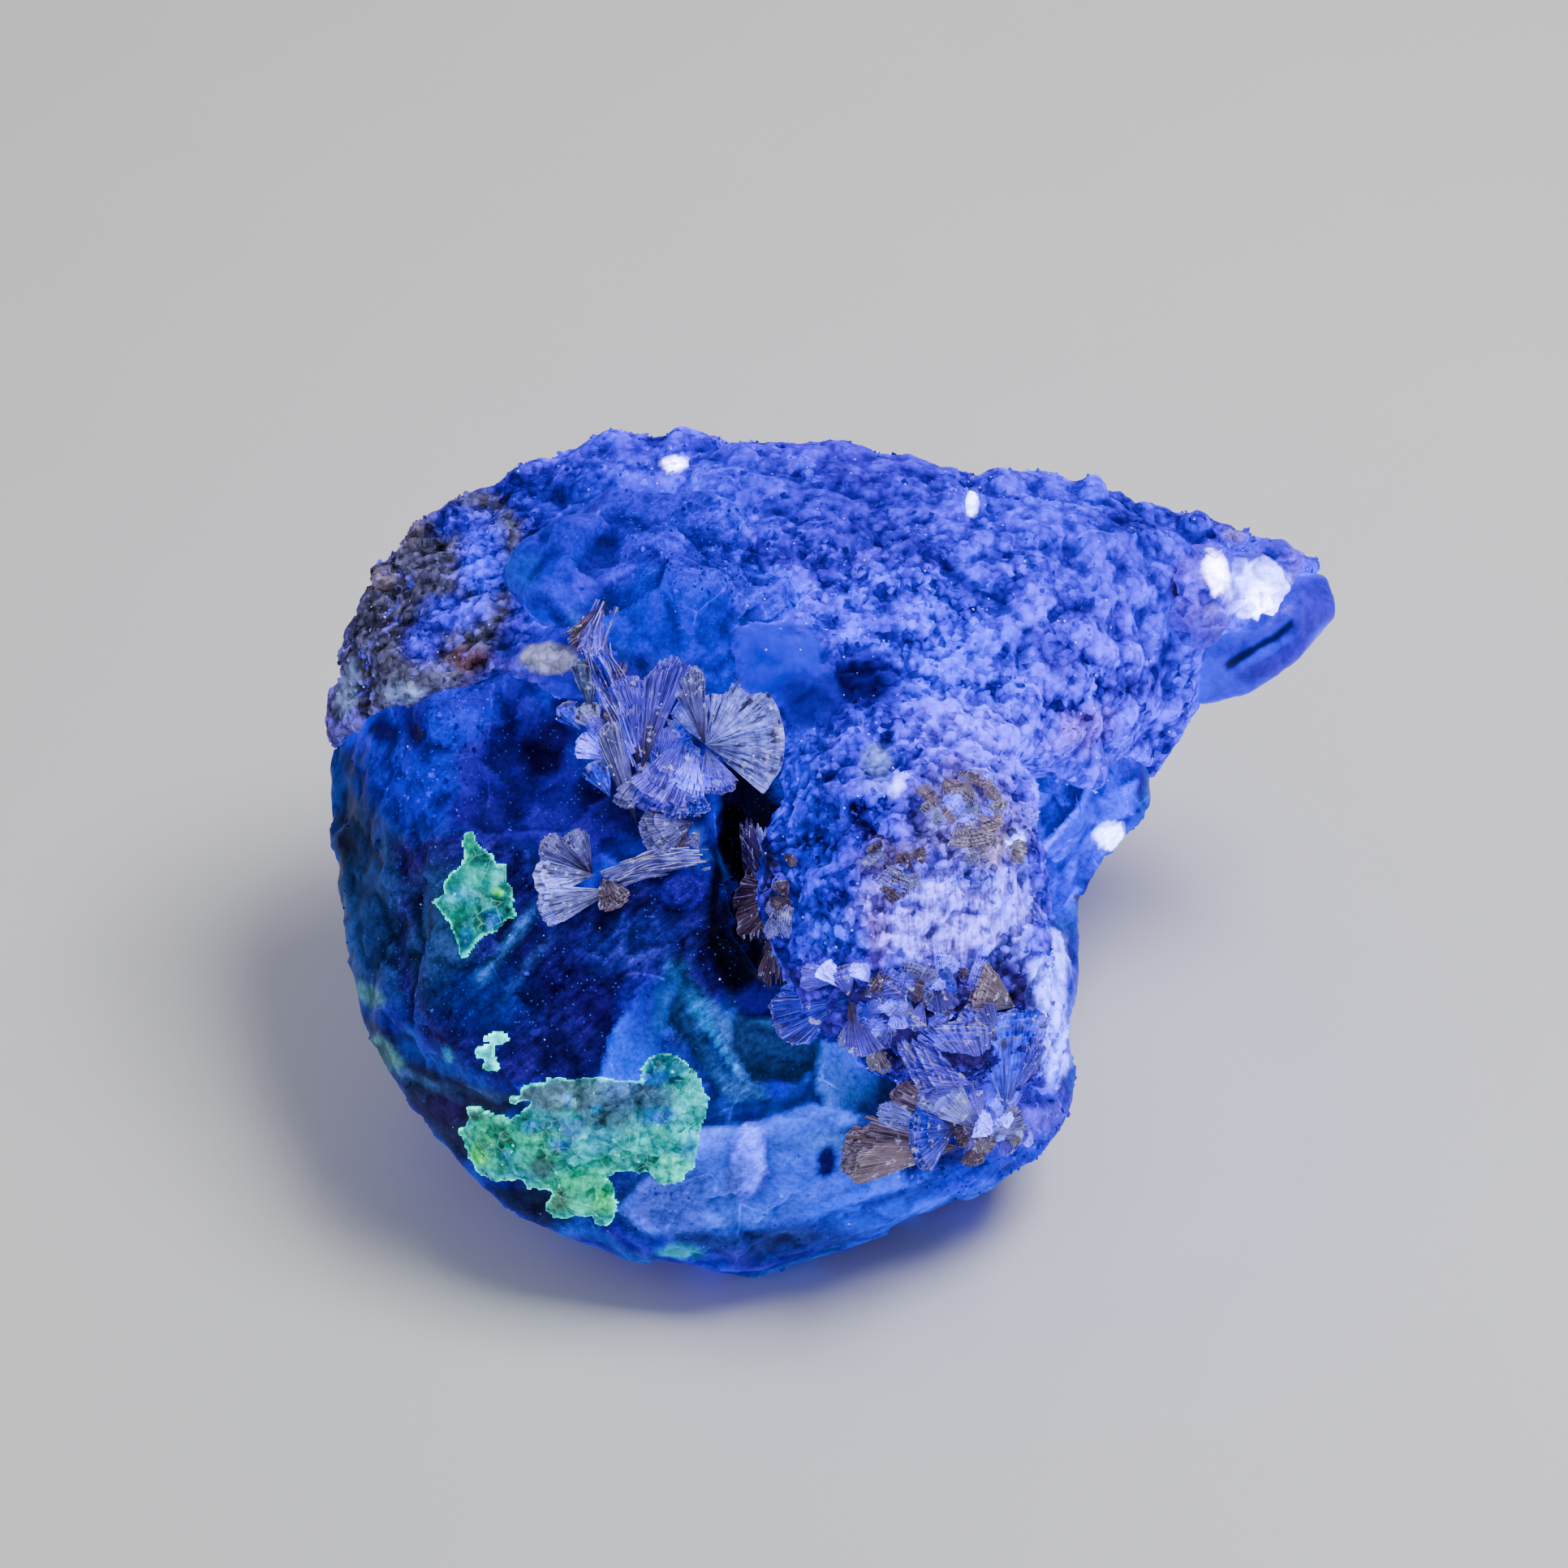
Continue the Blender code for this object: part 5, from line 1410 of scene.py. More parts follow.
# Round knobs along the skyline: the pixel they sit under, their radius and their height
SKYLINE_KNOBS: tuple[tuple[Pair, float, float], ...] = (
    ((1345, 608), 1.3, 0.75), ((1410, 638), 0.8, 0.4), ((1474, 650), 1.1, 0.75),
    ((1526, 676), 1.0, 0.75), ((1588, 694), 1.0, 0.6), ((1240, 598), 1.2, 0.45),
    ((1130, 582), 1.3, 0.45), ((1006, 562), 1.2, 0.4), ((920, 564), 0.9, 0.4),
    ((476, 710), 0.9, 0.6), ((520, 656), 0.8, 0.4), ((560, 638), 0.9, 0.4),
)

FELDSPAR_FEATURES: tuple[Bulge | Facet, ...] = (
    Bulge(1062, 838, 46, 34, -1.1, 0, 0.2),
    Bulge(1095, 836, 13, 13, 1.5),
    Bulge(1130, 770, 60, 50, 0.8),
    Bulge(1205, 730, 110, 18, -0.8, 36),
    Bulge(1055, 1002, 13, 20, -1.2),
    Bulge(1210, 900, 90, 40, 0.5),
    Bulge(1345, 602, 34, 22, 0.8),
    Bulge(1475, 642, 28, 18, 0.8, 0, 0.2),
    Bulge(1526, 664, 24, 16, 0.8, 0, 0.2),
    Bulge(1588, 694, 22, 18, 0.8, 0, 0.2),
    Bulge(470, 716, 20, 16, 0.9, 0, 0.3),
    Bulge(430, 850, 12, 32, 0.6, 14, 0.4),
    Bulge(497, 855, 24, 12, 0.6, 0, 0.4),
)


@dataclass
class FluoriteBody:
    """The blue crystal mass.

    Attributes:
        effects: the shared node groups.
        voxel_mm: how fine its skin is.
        swell_mm: height of its low swells.
        step_mm: width of the small cleavage faces.
    """

    effects: SharedEffects
    voxel_mm: float = 0.33
    swell_mm: float = 0.22
    step_mm: float = 2.6

    def build(self) -> bpy.types.Object:
        """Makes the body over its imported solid."""
        body = refine(node_copy("fluorite", "fluorite_body"), self.voxel_mm, 8)
        self.roughen(body)
        sculpt(body, FLUORITE_FEATURES)
        keep_in_box(body)
        self.dress(body)
        return settle(body, "fluorite")

    def roughen(self, body: bpy.types.Object) -> None:
        """Adds cleavage faces, low swells and a fine etch."""
        points = points_of(body.data)
        broken = smooth_step(-0.2, 0.35, noise_field(points / MM, 9.0, 2.0))
        flat_base = smooth_step(0.4, 1.6, points[:, 2] / MM)
        break_into_facets(body, self.step_mm, (0.35 + 0.5 * broken) * flat_base, 0.16, 11)
        points, normals = points_of(body.data), normals_of(body.data)
        lift = self.swell_mm * noise_field(points / MM, 3.0, 4.0, 3)
        lift += 0.06 * noise_field(points / MM, 0.8, 6.0, 2)
        flat_base = smooth_step(0.1, 0.8, points[:, 2] / MM)
        set_points(body.data, points + normals * (lift * flat_base * MM)[:, None])

    def dress(self, body: bpy.types.Object) -> None:
        """Paints the body and gives it its finish."""
        places = points_of(body.data) / MM
        paint(body, mottle(places, FLUORITE_GROUND, 8.0, 5.0), FLUORITE_ZONES, 0.15)
        clothe(body, fluorite_finish(self.effects))


@dataclass
class FeldsparCrust:
    """The sugary violet crust, from the brown left end to the spur.

    Attributes:
        effects: the shared node groups.
        voxel_mm: how fine its skin is.
        proud_mm: how far it grows towards the stone beside it.
        lump_mm: width of its lumps.
        lump_height_mm: height of its lumps.
        grain_mm: width of its grains.
        spur_share: how much higher its lumps are on the spur.
    """

    effects: SharedEffects
    voxel_mm: float = 0.29
    proud_mm: float = 0.22
    lump_mm: float = 2.6
    lump_height_mm: float = 0.3
    grain_mm: float = 0.7
    spur_share: float = 2.2

    def build(self) -> bpy.types.Object:
        """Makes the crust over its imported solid."""
        crust = refine(node_copy("feldspar_crust", "feldspar_sugar"), self.voxel_mm, 5)
        self.roughen(crust)
        sculpt(crust, FELDSPAR_FEATURES)
        keep_in_box(crust)
        self.dress(crust)
        return settle(crust, "feldspar_crust")

    def roughen(self, crust: bpy.types.Object) -> None:
        """Adds lumps, pits and grain faces."""
        points, normals = points_of(crust.data), normals_of(crust.data)
        places, pixels = points / MM, FACE.pixels(points)
        spur = smooth_step(6.0, 15.0, places[:, 0])
        fine = 1.0 - 0.5 * np.maximum(spur, smooth_step(680.0, 600.0, pixels[:, 1]))
        near = np.array([noise.voronoi(Vector(p / self.lump_mm))[0][0] for p in places])
        lift = self.lump_height_mm * (1.0 + self.spur_share * spur) * (0.5 - np.minimum(near, 0.9))
        lift += self.proud_mm
        lift += 0.3 * fine * noise_field(places, 1.1, 9.0, 3)
        lift += 0.3 * (1.0 - fine) * noise_field(places, 1.7, 31.0)
        pits = smooth_step(0.4, 0.6, noise_field(places, 1.1, 12.0))
        lift -= 0.45 * pits * fine
        calm = cover_of(GLASSY_LUMPS, pixels) * seen_share(points, normals)
        lift = lift * (1.0 - calm) + 0.35 * calm
        skin = skin_of(crust)
        for pixel, radius, height in SKYLINE_KNOBS:
            place, _ = on_skin(skin, FACE.seen_mm(pixel))
            far = np.linalg.norm(points - np.array(place), axis=1) / MM / radius
            lift += height * (1.0 - smooth_step(0.3, 1.0, far))
        set_points(crust.data, points + normals * (lift * MM)[:, None])
        share = 0.85 * (1.0 - 0.9 * calm) * (1.4 * fine - 0.4)
        break_into_facets(crust, self.grain_mm, share, 0.4, 23)

    def dress(self, crust: bpy.types.Object) -> None:
        """Paints the crust and gives it its finish."""
        places = points_of(crust.data) / MM
        ground = mottle(places, FELDSPAR_GROUND, 4.5, 15.0)
        drift = 2.2 * noise_field(places, 3.0, 27.0, 3)
        dull = smooth_step(-17.0, -22.0, places[:, 0] + drift)[:, None] * 0.85
        ground = ground * (1.0 - dull) + mottle(places, DULL_GROUND, 1.8, 19.0) * dull
        swell = 1.0 + 0.75 * noise_field(places, 2.3, 71.0, 2)
        swell += 0.3 * noise_field(places, 7.0, 73.0, 2)
        ground = ground * swell.clip(0.25, 2.2)[:, None]
        paint(crust, ground, FELDSPAR_ZONES, 0.7)
        clothe(crust, sugar_finish(self.effects))


# --- Mica -------------------------------------------------------------------------------------


@dataclass(frozen=True)
class Fan:
    """One book of mica, opening from its apex to its rim.

    Attributes:
        apex: where it starts, in pixels of the frame.
        rim: middle of its rim, in the same pixels.
        spread: its opening, in degrees.
        thick: its thickness at the rim, in millimetres.
        lift: height of the rim above what it grew on, in millimetres.
        roll: turn about its own length, in degrees.
        inner: the light it sends out near its apex, as linear colour.
        outer: the same near its rim.
        sheets: how many sheets show.
        ribs: how many ribs fan out over it.
        root_mm: how far the apex stands off the stone.
        square: how far it turns from the stone's own slope to face the viewer, from 0 up.
    """

    apex: Pair
    rim: Pair
    spread: float
    thick: float
    lift: float
    roll: float
    inner: Colour
    outer: Colour
    sheets: int = 11
    ribs: int = 7
    root_mm: float = 0.5
    square: float = 0.0


GREY, LAVENDER, BROWN = (0.207, 0.193, 0.801), (0.141, 0.0718, 1.29), (0.116, 0.0573, 0.099)
CREAM, BLUE, TAN = (0.348, 0.372, 1.56), (0.000204, 0.0002, 0.992), (0.309, 0.197, 0.282)
DUSK, PALE, KHAKI = (0.0451, 0.0162, 0.159), (0.397, 0.281, 3.58), (0.309, 0.257, 0.385)
GLASS, MIST, SKY = (0.0759, 0.104, 0.348), (0.297, 0.29, 0.841), (0.0002, 0.0002, 1.04)
# the brightest colour below is a painted glint on the rims of a few books
# the darkest colour below is painted shade for mica deep in the cleft
CLEFT_SHADE, GLINT_WHITE = (0.0232, 0.0177, 0.0634), (1.1, 1.03, 7.5)

MICA_CLUSTERS: dict[str, tuple[Fan, ...]] = {
    "mica_lower_rosette": (
        Fan((1182, 1412), (1038, 1424), 40, 2.4, 1.0, -12, BROWN, TAN, 14, 7, 0.5, 0.5),
        Fan((1178, 1388), (1124, 1408), 80, 1.2, 2.2, 0, DUSK, BLUE, 8, 4),
        Fan((1200, 1394), (1100, 1344), 40, 2.2, 0.9, 20, DUSK, TAN, 12, 5),
        Fan((1172, 1394), (1084, 1366), 18, 1.4, 1.5, 35, BROWN, CREAM, 10, 4),
        Fan((1208, 1392), (1148, 1338), 34, 1.4, 2.2, -15, BROWN, CREAM, 9, 5),
        Fan((1212, 1390), (1182, 1338), 46, 1.2, 2.4, 0, KHAKI, LAVENDER, 7, 4),
        Fan((1214, 1336), (1114, 1286), 38, 1.8, 1.2, 18, DUSK, LAVENDER, 12, 6),
        Fan((1216, 1330), (1152, 1264), 44, 1.2, 1.5, 0, DUSK, LAVENDER, 8, 5),
        Fan((1238, 1368), (1246, 1250), 40, 1.0, 1.8, -6, (0.00401, 0.0002, 1.02),
            (0.0002, 0.0002, 1.75), 6, 1, 1.0, 3.0),
        Fan((1240, 1356), (1276, 1280), 24, 1.2, 1.0, 20, BROWN, LAVENDER, 9, 4),
        Fan((1210, 1398), (1256, 1380), 40, 1.2, 0.8, -10, KHAKI, GREY, 8, 4),
        Fan((1196, 1396), (1222, 1410), 60, 1.0, 0.6, 0, BROWN, KHAKI, 7, 4),
        Fan((1226, 1400), (1208, 1378), 50, 0.8, 1.6, 20, GREY, GLINT_WHITE, 6, 4),
        Fan((1240, 1396), (1240, 1374), 60, 0.8, 1.3, -20, LAVENDER, GLINT_WHITE, 6, 4),
    ),
    "mica_middle_rosette": (
        Fan((1046, 1230), (962, 1256), 44, 2.6, 1.6, 25, BLUE, (0.0204, 0.0002, 1.07), 15, 4),
        Fan((1046, 1228), (972, 1232), 30, 1.0, 3.0, 8, BLUE, BLUE, 6, 3),
        Fan((1048, 1204), (986, 1204), 36, 1.2, 1.0, 20, BLUE, LAVENDER, 8, 4),
        Fan((1046, 1234), (1080, 1288), 70, 1.8, 1.4, 0, BROWN, LAVENDER, 11, 6),
        Fan((1052, 1244), (1052, 1290), 40, 1.2, 1.2, 10, DUSK, GREY, 8, 4),
        Fan((1048, 1230), (1036, 1196), 38, 1.0, 1.4, 10, DUSK, LAVENDER, 8, 4),
        Fan((1046, 1222), (1012, 1190), 34, 0.9, 1.8, 30, BLUE, GLINT_WHITE, 7, 4),
        Fan((1076, 1212), (1050, 1190), 44, 0.8, 1.2, -20, LAVENDER, GLINT_WHITE, 6, 4),
        Fan((1060, 1226), (1114, 1212), 66, 1.5, 1.0, 20, DUSK, LAVENDER, 10, 6),
        Fan((1074, 1280), (1086, 1318), 58, 1.0, 0.8, 0, BROWN, KHAKI, 7, 5),
    ),
    "mica_edge_books": (
        Fan((1230, 1282), (1188, 1246), 66, 1.4, 1.5, 0, GREY, LAVENDER, 9, 4),
        Fan((1250, 1240), (1204, 1212), 52, 1.3, 1.4, 10, KHAKI, TAN, 9, 4),
        Fan((1150, 1210), (1168, 1244), 70, 1.3, 1.0, 0, DUSK, LAVENDER, 8, 5),
    ),
    "mica_upper_rosette": (
        Fan((870, 918), (957, 872), 134, 0.8, 1.8, 0, CREAM, CREAM, 5, 2, 1.0, 4.0),
        Fan((870, 922), (890, 976), 54, 1.2, 1.4, 0, GREY, LAVENDER, 8, 4),
        Fan((790, 950), (830, 810), 20, 1.8, 1.6, 50, BROWN, LAVENDER, 12, 4),
        Fan((868, 918), (848, 828), 24, 1.6, 1.5, -25, BROWN, GREY, 10, 4),
        Fan((870, 918), (836, 872), 18, 0.8, 2.2, -5, CREAM, CREAM, 5, 2),
        Fan((786, 940), (784, 864), 34, 1.4, 1.8, 30, BROWN, LAVENDER, 10, 4),
        Fan((846, 900), (812, 984), 40, 1.8, 1.8, 15, BLUE, LAVENDER, 12, 4),
        Fan((858, 924), (842, 976), 44, 1.2, 2.4, 0, LAVENDER, PALE, 8, 3),
        Fan((852, 960), (858, 1002), 60, 0.8, 1.2, 0, BLUE, BLUE, 6, 3),
        Fan((854, 1014), (794, 1030), 64, 1.7, 1.5, 0, DUSK, GREY, 11, 5),
        Fan((846, 996), (802, 994), 40, 1.0, 1.6, 20, DUSK, BROWN, 7, 4),
        Fan((784, 1016), (752, 890), 18, 1.3, 1.0, 30, DUSK, GREY, 10, 4),
        Fan((858, 918), (800, 996), 46, 2.0, 1.9, 20, DUSK, LAVENDER, 12, 5),
        Fan((798, 924), (846, 1000), 44, 1.5, 1.3, -10, BLUE, LAVENDER, 10, 5),
        Fan((800, 934), (766, 836), 28, 1.5, 1.3, -30, BROWN, LAVENDER, 11, 4),
        Fan((748, 740), (706, 800), 30, 1.8, 0.9, 40, DUSK, BROWN, 12, 4),
        Fan((744, 742), (722, 806), 16, 1.6, 1.3, 60, BROWN, LAVENDER, 9, 3),
        Fan((728, 874), (716, 812), 46, 0.6, 0.9, 0, GLASS, GLASS, 4, 1),
        Fan((716, 900), (690, 868), 60, 0.6, 0.6, 0, BLUE, SKY, 4, 1),
        Fan((740, 902), (716, 868), 72, 0.5, 1.0, 0, GREY, MIST, 4, 1),
        Fan((756, 936), (712, 910), 56, 0.6, 1.0, 0, LAVENDER, PALE, 4, 2),
        Fan((752, 982), (728, 938), 60, 0.6, 0.8, 0, BLUE, SKY, 4, 1),
        Fan((822, 922), (846, 896), 70, 0.8, 1.2, 0, BLUE, SKY, 5, 2),
        Fan((796, 944), (762, 992), 26, 1.2, 1.4, 30, BROWN, GREY, 9, 3),
        Fan((812, 950), (826, 896), 26, 1.4, 1.8, -30, DUSK, LAVENDER, 9, 3),
    ),
    "mica_trio": (
        Fan((730, 1078), (706, 1024), 34, 1.5, 1.9, 40, DUSK, GREY, 11, 4),
        Fan((728, 1076), (670, 1034), 30, 1.4, 1.5, 30, DUSK, GREY, 10, 4),
        Fan((734, 1078), (658, 1082), 42, 0.9, 1.6, 0, MIST, CREAM, 5, 1),
        Fan((756, 1096), (664, 1120), 34, 1.6, 1.3, -20, MIST, CREAM, 9, 2),
        Fan((742, 1080), (760, 1114), 66, 1.4, 1.3, 0, DUSK, TAN, 8, 3),
    ),
    "mica_cleft_books": (
        Fan((962, 1140), (922, 1120), 60, 1.4, 0.9, 0, CLEFT_SHADE, GREY, 9, 5),
        Fan((970, 1096), (932, 1072), 58, 1.4, 0.9, 20, CLEFT_SHADE, BROWN, 9, 5),
        Fan((962, 1136), (954, 1178), 50, 1.4, 0.9, 0, CLEFT_SHADE, BROWN, 9, 5),
    ),
}

SHEET_BEAT = 91.7  # makes one sheet lighter and the next darker
LONGEST = 0.012  # a book longer than this, in metres, has its rim on another part of the stone

# Edge-on sheaths: the line they follow, in pixels, their width in millimetres and their colours
MICA_SHEATHS: dict[str, tuple[tuple[Pair, ...], float, Colour, Colour]] = {
    "mica_upper_rosette": (
        ((748, 736), (724, 794), (740, 830), (764, 880), (788, 950)), 2.0, DUSK, LAVENDER,
    ),
    "mica_trio": (((742, 1088), (800, 1066), (874, 1058)), 1.3, BROWN, GREY),
}


@dataclass(frozen=True)
class FlakeField(Oval):
    """An area of the feldspar where many small mica books stand.

    Attributes:
        count: how many books.
        length_mm: the shortest and longest book.
        colours: what their colours are drawn from.
    """

    count: int
    length_mm: Pair
    colours: tuple[Colour, ...]


FLAKE_FIELDS = (
    FlakeField(1190, 1004, 74, 56, 36, (0.6, 1.7), (TAN, KHAKI, PALE, MIST, PALE)),
    FlakeField(1100, 1062, 44, 22, 14, (0.6, 1.6), (BROWN, GREY, LAVENDER, MIST)),
    FlakeField(1150, 1222, 96, 34, 30, (0.8, 2.0), (LAVENDER, PALE, BROWN, GREY, BLUE)),
    FlakeField(1092, 1252, 46, 36, 12, (0.7, 1.7), (LAVENDER, BROWN, GREY, PALE)),
    FlakeField(1222, 1392, 52, 20, 20, (0.6, 1.5), (PALE, KHAKI, LAVENDER, BROWN)),
    FlakeField(958, 1100, 16, 60, 12, (0.6, 1.3), (BROWN, DUSK, CLEFT_SHADE, GREY)),
    FlakeField(822, 936, 42, 56, 24, (0.7, 1.6), (LAVENDER, BLUE, GREY, BROWN, PALE)),
    FlakeField(744, 850, 16, 50, 8, (0.6, 1.4), (BROWN, DUSK, LAVENDER)),
    FlakeField(822, 1020, 40, 24, 8, (0.6, 1.3), (GREY, BROWN, DUSK)),
)


class BookTree:
    """The geometry tree that lays thin scalloped sheets into one mica book."""

    PORTS = {
        "Reach": (VALUE, 0.004), "Spread": (VALUE, 1.0), "Thickness": (VALUE, 0.0015),
        "Sheets": (COUNT, 10), "Ribs": (VALUE, 7.0), "Rows": (COUNT, 8), "Columns": (COUNT, 30),
        "Seed": (COUNT, 1), "Finish": (FINISH, None),
    }

    def __init__(self) -> None:
        """One sheet is bent out of a grid, then stacked, splayed and realised."""
        self.tree = node_tree("mica_book", "GeometryNodeTree", self.PORTS, {"Geometry": MESH})
        w = GeometryWiring(self.tree)
        get, out = ends_of(w)
        grid = w.add("GeometryNodeMeshGrid", {
            "Size X": 1.0, "Size Y": 1.0, "Vertices X": get["Columns"], "Vertices Y": get["Rows"]})
        place = w.add("ShaderNodeSeparateXYZ", {0: w.add("GeometryNodeInputPosition").outputs[0]})
        sheet = w.keep(grid.outputs["Mesh"], "turn", place.outputs[0])
        sheet = w.keep(sheet, "radial", w.math("ADD", place.outputs[1], 0.5))
        points = w.add("GeometryNodeMeshLine", {"Count": get["Sheets"], "Offset": (0.0, 0.0, 0.0)})
        copies = w.add("GeometryNodeInstanceOnPoints", {"Points": points.outputs["Mesh"],
                                                        "Instance": sheet})
        index = w.add("GeometryNodeInputIndex").outputs[0]
        last = w.math("SUBTRACT", get["Sheets"], 1.0)
        level = w.math("SUBTRACT", w.math("DIVIDE", index, last), 0.5)
        kept = w.keep(copies.outputs[0], "sheet", level, "INSTANCE")
        for name, low, more in (("slip", -1.0, 0.0), ("short", 0.0, 31.0), ("window", 0.0, 62.0)):
            seed = w.math("ADD", get["Seed"], more)
            kept = w.keep(kept, name, w.chance(low, 1.0, seed), "INSTANCE")
        loose = w.add("GeometryNodeRealizeInstances", {"Geometry": kept}).outputs[0]
        bent = w.add("GeometryNodeSetPosition", {"Geometry": loose, "Position": self._bend(w, get)})
        w.show(bent.outputs[0], get["Finish"], out)

    @staticmethod
    def _bend(w: GeometryWiring, get: dict[str, Socket]) -> Socket:
        """Where each grid point goes: out along its own angle, folded by the ribs."""
        turn, along, level = w.named("turn"), w.named("radial"), w.named("sheet")
        slip, short, window = w.named("slip"), w.named("short"), w.named("window")
        # Outer sheets cover less of the opening, so the ones under them show as terraces
        outer = w.times(w.math("ABSOLUTE", level), 2.0)
        cover = w.mad(w.times(outer, window), -0.55, 1.0)
        aside = w.times(w.math("SUBTRACT", 1.0, cover), w.times(slip, 0.5))
        across = w.mad(turn, cover, aside)
        angle = w.times(across, get["Spread"])
        phase = w.times(across, w.times(get["Ribs"], math.tau))
        folds = w.bundle(w.times(phase, 0.32), w.times(level, 0.5), w.times(along, 0.5))
        rib = w.times(w.math("SUBTRACT", w.cloud(folds, 1.0, 3.0, 0.6), 0.5), 4.2)
        ragged = w.cloud(w.bundle(across, level, slip), 6.0, 4.0, 0.5)
        edge = w.mad(rib, 0.04, w.times(w.math("SUBTRACT", ragged, 0.5), 0.15))
        edge = w.mad(w.times(across, across), -0.5, edge)
        edge = w.mad(w.times(short, outer), -0.22, edge)
        length = w.times(w.mad(w.times(edge, along), along, along), get["Reach"])
        rise = w.times(w.times(level, w.math("POWER", along, 0.8)), get["Thickness"])
        fold = w.times(w.times(rib, along), 0.00011)
        droop = w.times(w.times(across, across), w.times(along, -0.0016))
        rise = w.math("ADD", rise, w.math("ADD", fold, droop))
        return w.bundle(w.times(length, w.math("COSINE", angle)),
                        w.times(length, w.math("SINE", angle)), rise)


@dataclass
class MicaCluster:
    """One grown-together cluster of mica books.

    Attributes:
        name: the new piece's name.
        skin: the stone under it.
        tree: the tree that makes a book.
        material: its finish.
        leaf_mm: thickness of one sheet.
        silver: how much lighter its colours turn, channel by channel.
        glow_share: how much of its glow it keeps.
        points: places taken so far, in metres.
        faces: faces taken so far.
        marks: for each place how far along and across its book it is, and in which sheet.
        inner: for each place its book's colour near the apex.
        outer: the same near the rim.
    """

    name: str
    skin: BVHTree
    tree: BookTree
    material: bpy.types.Material
    leaf_mm: float = 0.05
    silver: Colour = (0.95, 1.0, 1.0)
    glow_share: float = 0.75
    points: list = field(default_factory=list)
    faces: list = field(default_factory=list)
    marks: dict = field(default_factory=lambda: {"radial": [], "turn": [], "sheet": []})
    inner: list = field(default_factory=list)
    outer: list = field(default_factory=list)

    def build(self, node: str) -> bpy.types.Object:
        """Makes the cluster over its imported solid."""
        for seed, fan in enumerate(MICA_CLUSTERS[node]):
            self.add_book(fan, seed + 7)
        if node in MICA_SHEATHS:
            self.add_sheath(*MICA_SHEATHS[node])
        return self.join(node)

    def build_flakes(self) -> bpy.types.Object:
        """Makes the small books of every flake field, grown onto the crust."""
        chance = np.random.default_rng(77)
        for area in FLAKE_FIELDS:
            for _ in range(area.count):
                off = chance.normal(0, 0.45, 2).clip(-1, 1) * (area.wide, area.high)
                apex = (area.x + off[0], area.y + off[1])
                heading, length = chance.uniform(0, math.tau), chance.uniform(*area.length_mm)
                reach = length / FACE.mm_per_px
                rim = (apex[0] + reach * math.cos(heading), apex[1] + reach * math.sin(heading))
                first, second = chance.choice(len(area.colours), 2)
                fan = Fan(apex, rim, chance.uniform(40, 85), chance.uniform(0.5, 1.1),
                          chance.uniform(0.5, 1.2), chance.uniform(-40, 40),
                          area.colours[first], area.colours[second], 6, 4, 0.1)
                self.add_book(fan, int(chance.integers(1, 999)), 4, 9)
        return self.join()

    def frame_of(self, fan: Fan) -> tuple[Matrix, float]:
        """Where a fan stands: its own axes at its apex, and its reach in metres."""
        root, normal = on_skin(self.skin, FACE.seen_mm(fan.apex), fan.root_mm)
        end, _ = on_skin(self.skin, FACE.seen_mm(fan.rim), fan.lift)
        heading = end - root
        reach = heading.length
        heading.normalize()
        normal = normal + fan.square * FACE.direction(0, 0, 1)
        facing = (normal - heading * normal.dot(heading)).normalized()
        facing = Matrix.Rotation(math.radians(fan.roll), 3, heading) @ facing
        side = facing.cross(heading)
        turned = Matrix((heading, side, facing)).transposed().to_4x4()
        return Matrix.Translation(root) @ turned, reach

    def add_book(self, fan: Fan, seed: int, rows: int = 6, columns: int = 24) -> None:
        """Adds one book."""
        try:
            placed, reach = self.frame_of(fan)
        except ValueError:
            return
        if reach > LONGEST:
            return
        carrier = grown("book", self.tree.tree, {
            "Reach": reach, "Spread": math.radians(fan.spread), "Thickness": fan.thick * MM,
            "Sheets": fan.sheets, "Ribs": float(fan.ribs), "Rows": rows, "Columns": columns,
            "Seed": seed, "Finish": self.material})
        self.take(carrier, placed, fan)
        bpy.data.objects.remove(carrier)

    def add_sheath(self, line: Sequence[Pair], width: float, inner: Colour, outer: Colour) -> None:
        """Adds a long sheath of sheets seen on edge, which follows its line."""
        places = [np.array(on_skin(self.skin, FACE.seen_mm(seen), 0.9)[0]) for seen in line]
        steps = np.linspace(0, len(places) - 1, 40)
        known = np.arange(len(places))
        track = np.column_stack([np.interp(steps, known, [p[i] for p in places]) for i in range(3)])
        for _ in range(12):
            track[1:-1] = 0.5 * track[1:-1] + 0.25 * (track[:-2] + track[2:])
        out = np.array(FACE.direction(0, 0, 1))
        ahead = np.gradient(track, axis=0)
        across = np.cross(ahead, out)
        across /= np.linalg.norm(across, axis=1, keepdims=True)
        chance = np.random.default_rng(5)
        leaves, depth = 19, 4
        swell = 0.55 + 0.45 * np.sin(np.pi * np.linspace(0.08, 0.92, len(track)))
        for leaf in range(leaves):
            level = 2.0 * leaf / (leaves - 1) - 1.0
            wave = chance.normal(0, 0.12) + 0.22 * np.sin(
                np.linspace(0, chance.uniform(4, 9), len(track)) + chance.uniform(0, 6))
            side = across * ((level + wave) * 0.5 * width * swell * MM)[:, None]
            tall = (0.75 - 0.45 * abs(level) + chance.uniform(-0.2, 0.2)) * width
            start, stop = chance.integers(0, 10), len(track) - chance.integers(0, 10)
            lean = across * (chance.normal(0, 0.18) * MM)
            rows = [track + side + lean * share + out * ((share * tall - 0.6) * MM) for share in
                    np.linspace(-0.2, 1.0, depth)]
            self.take_grid([r[start:stop] for r in rows], level, inner, outer)

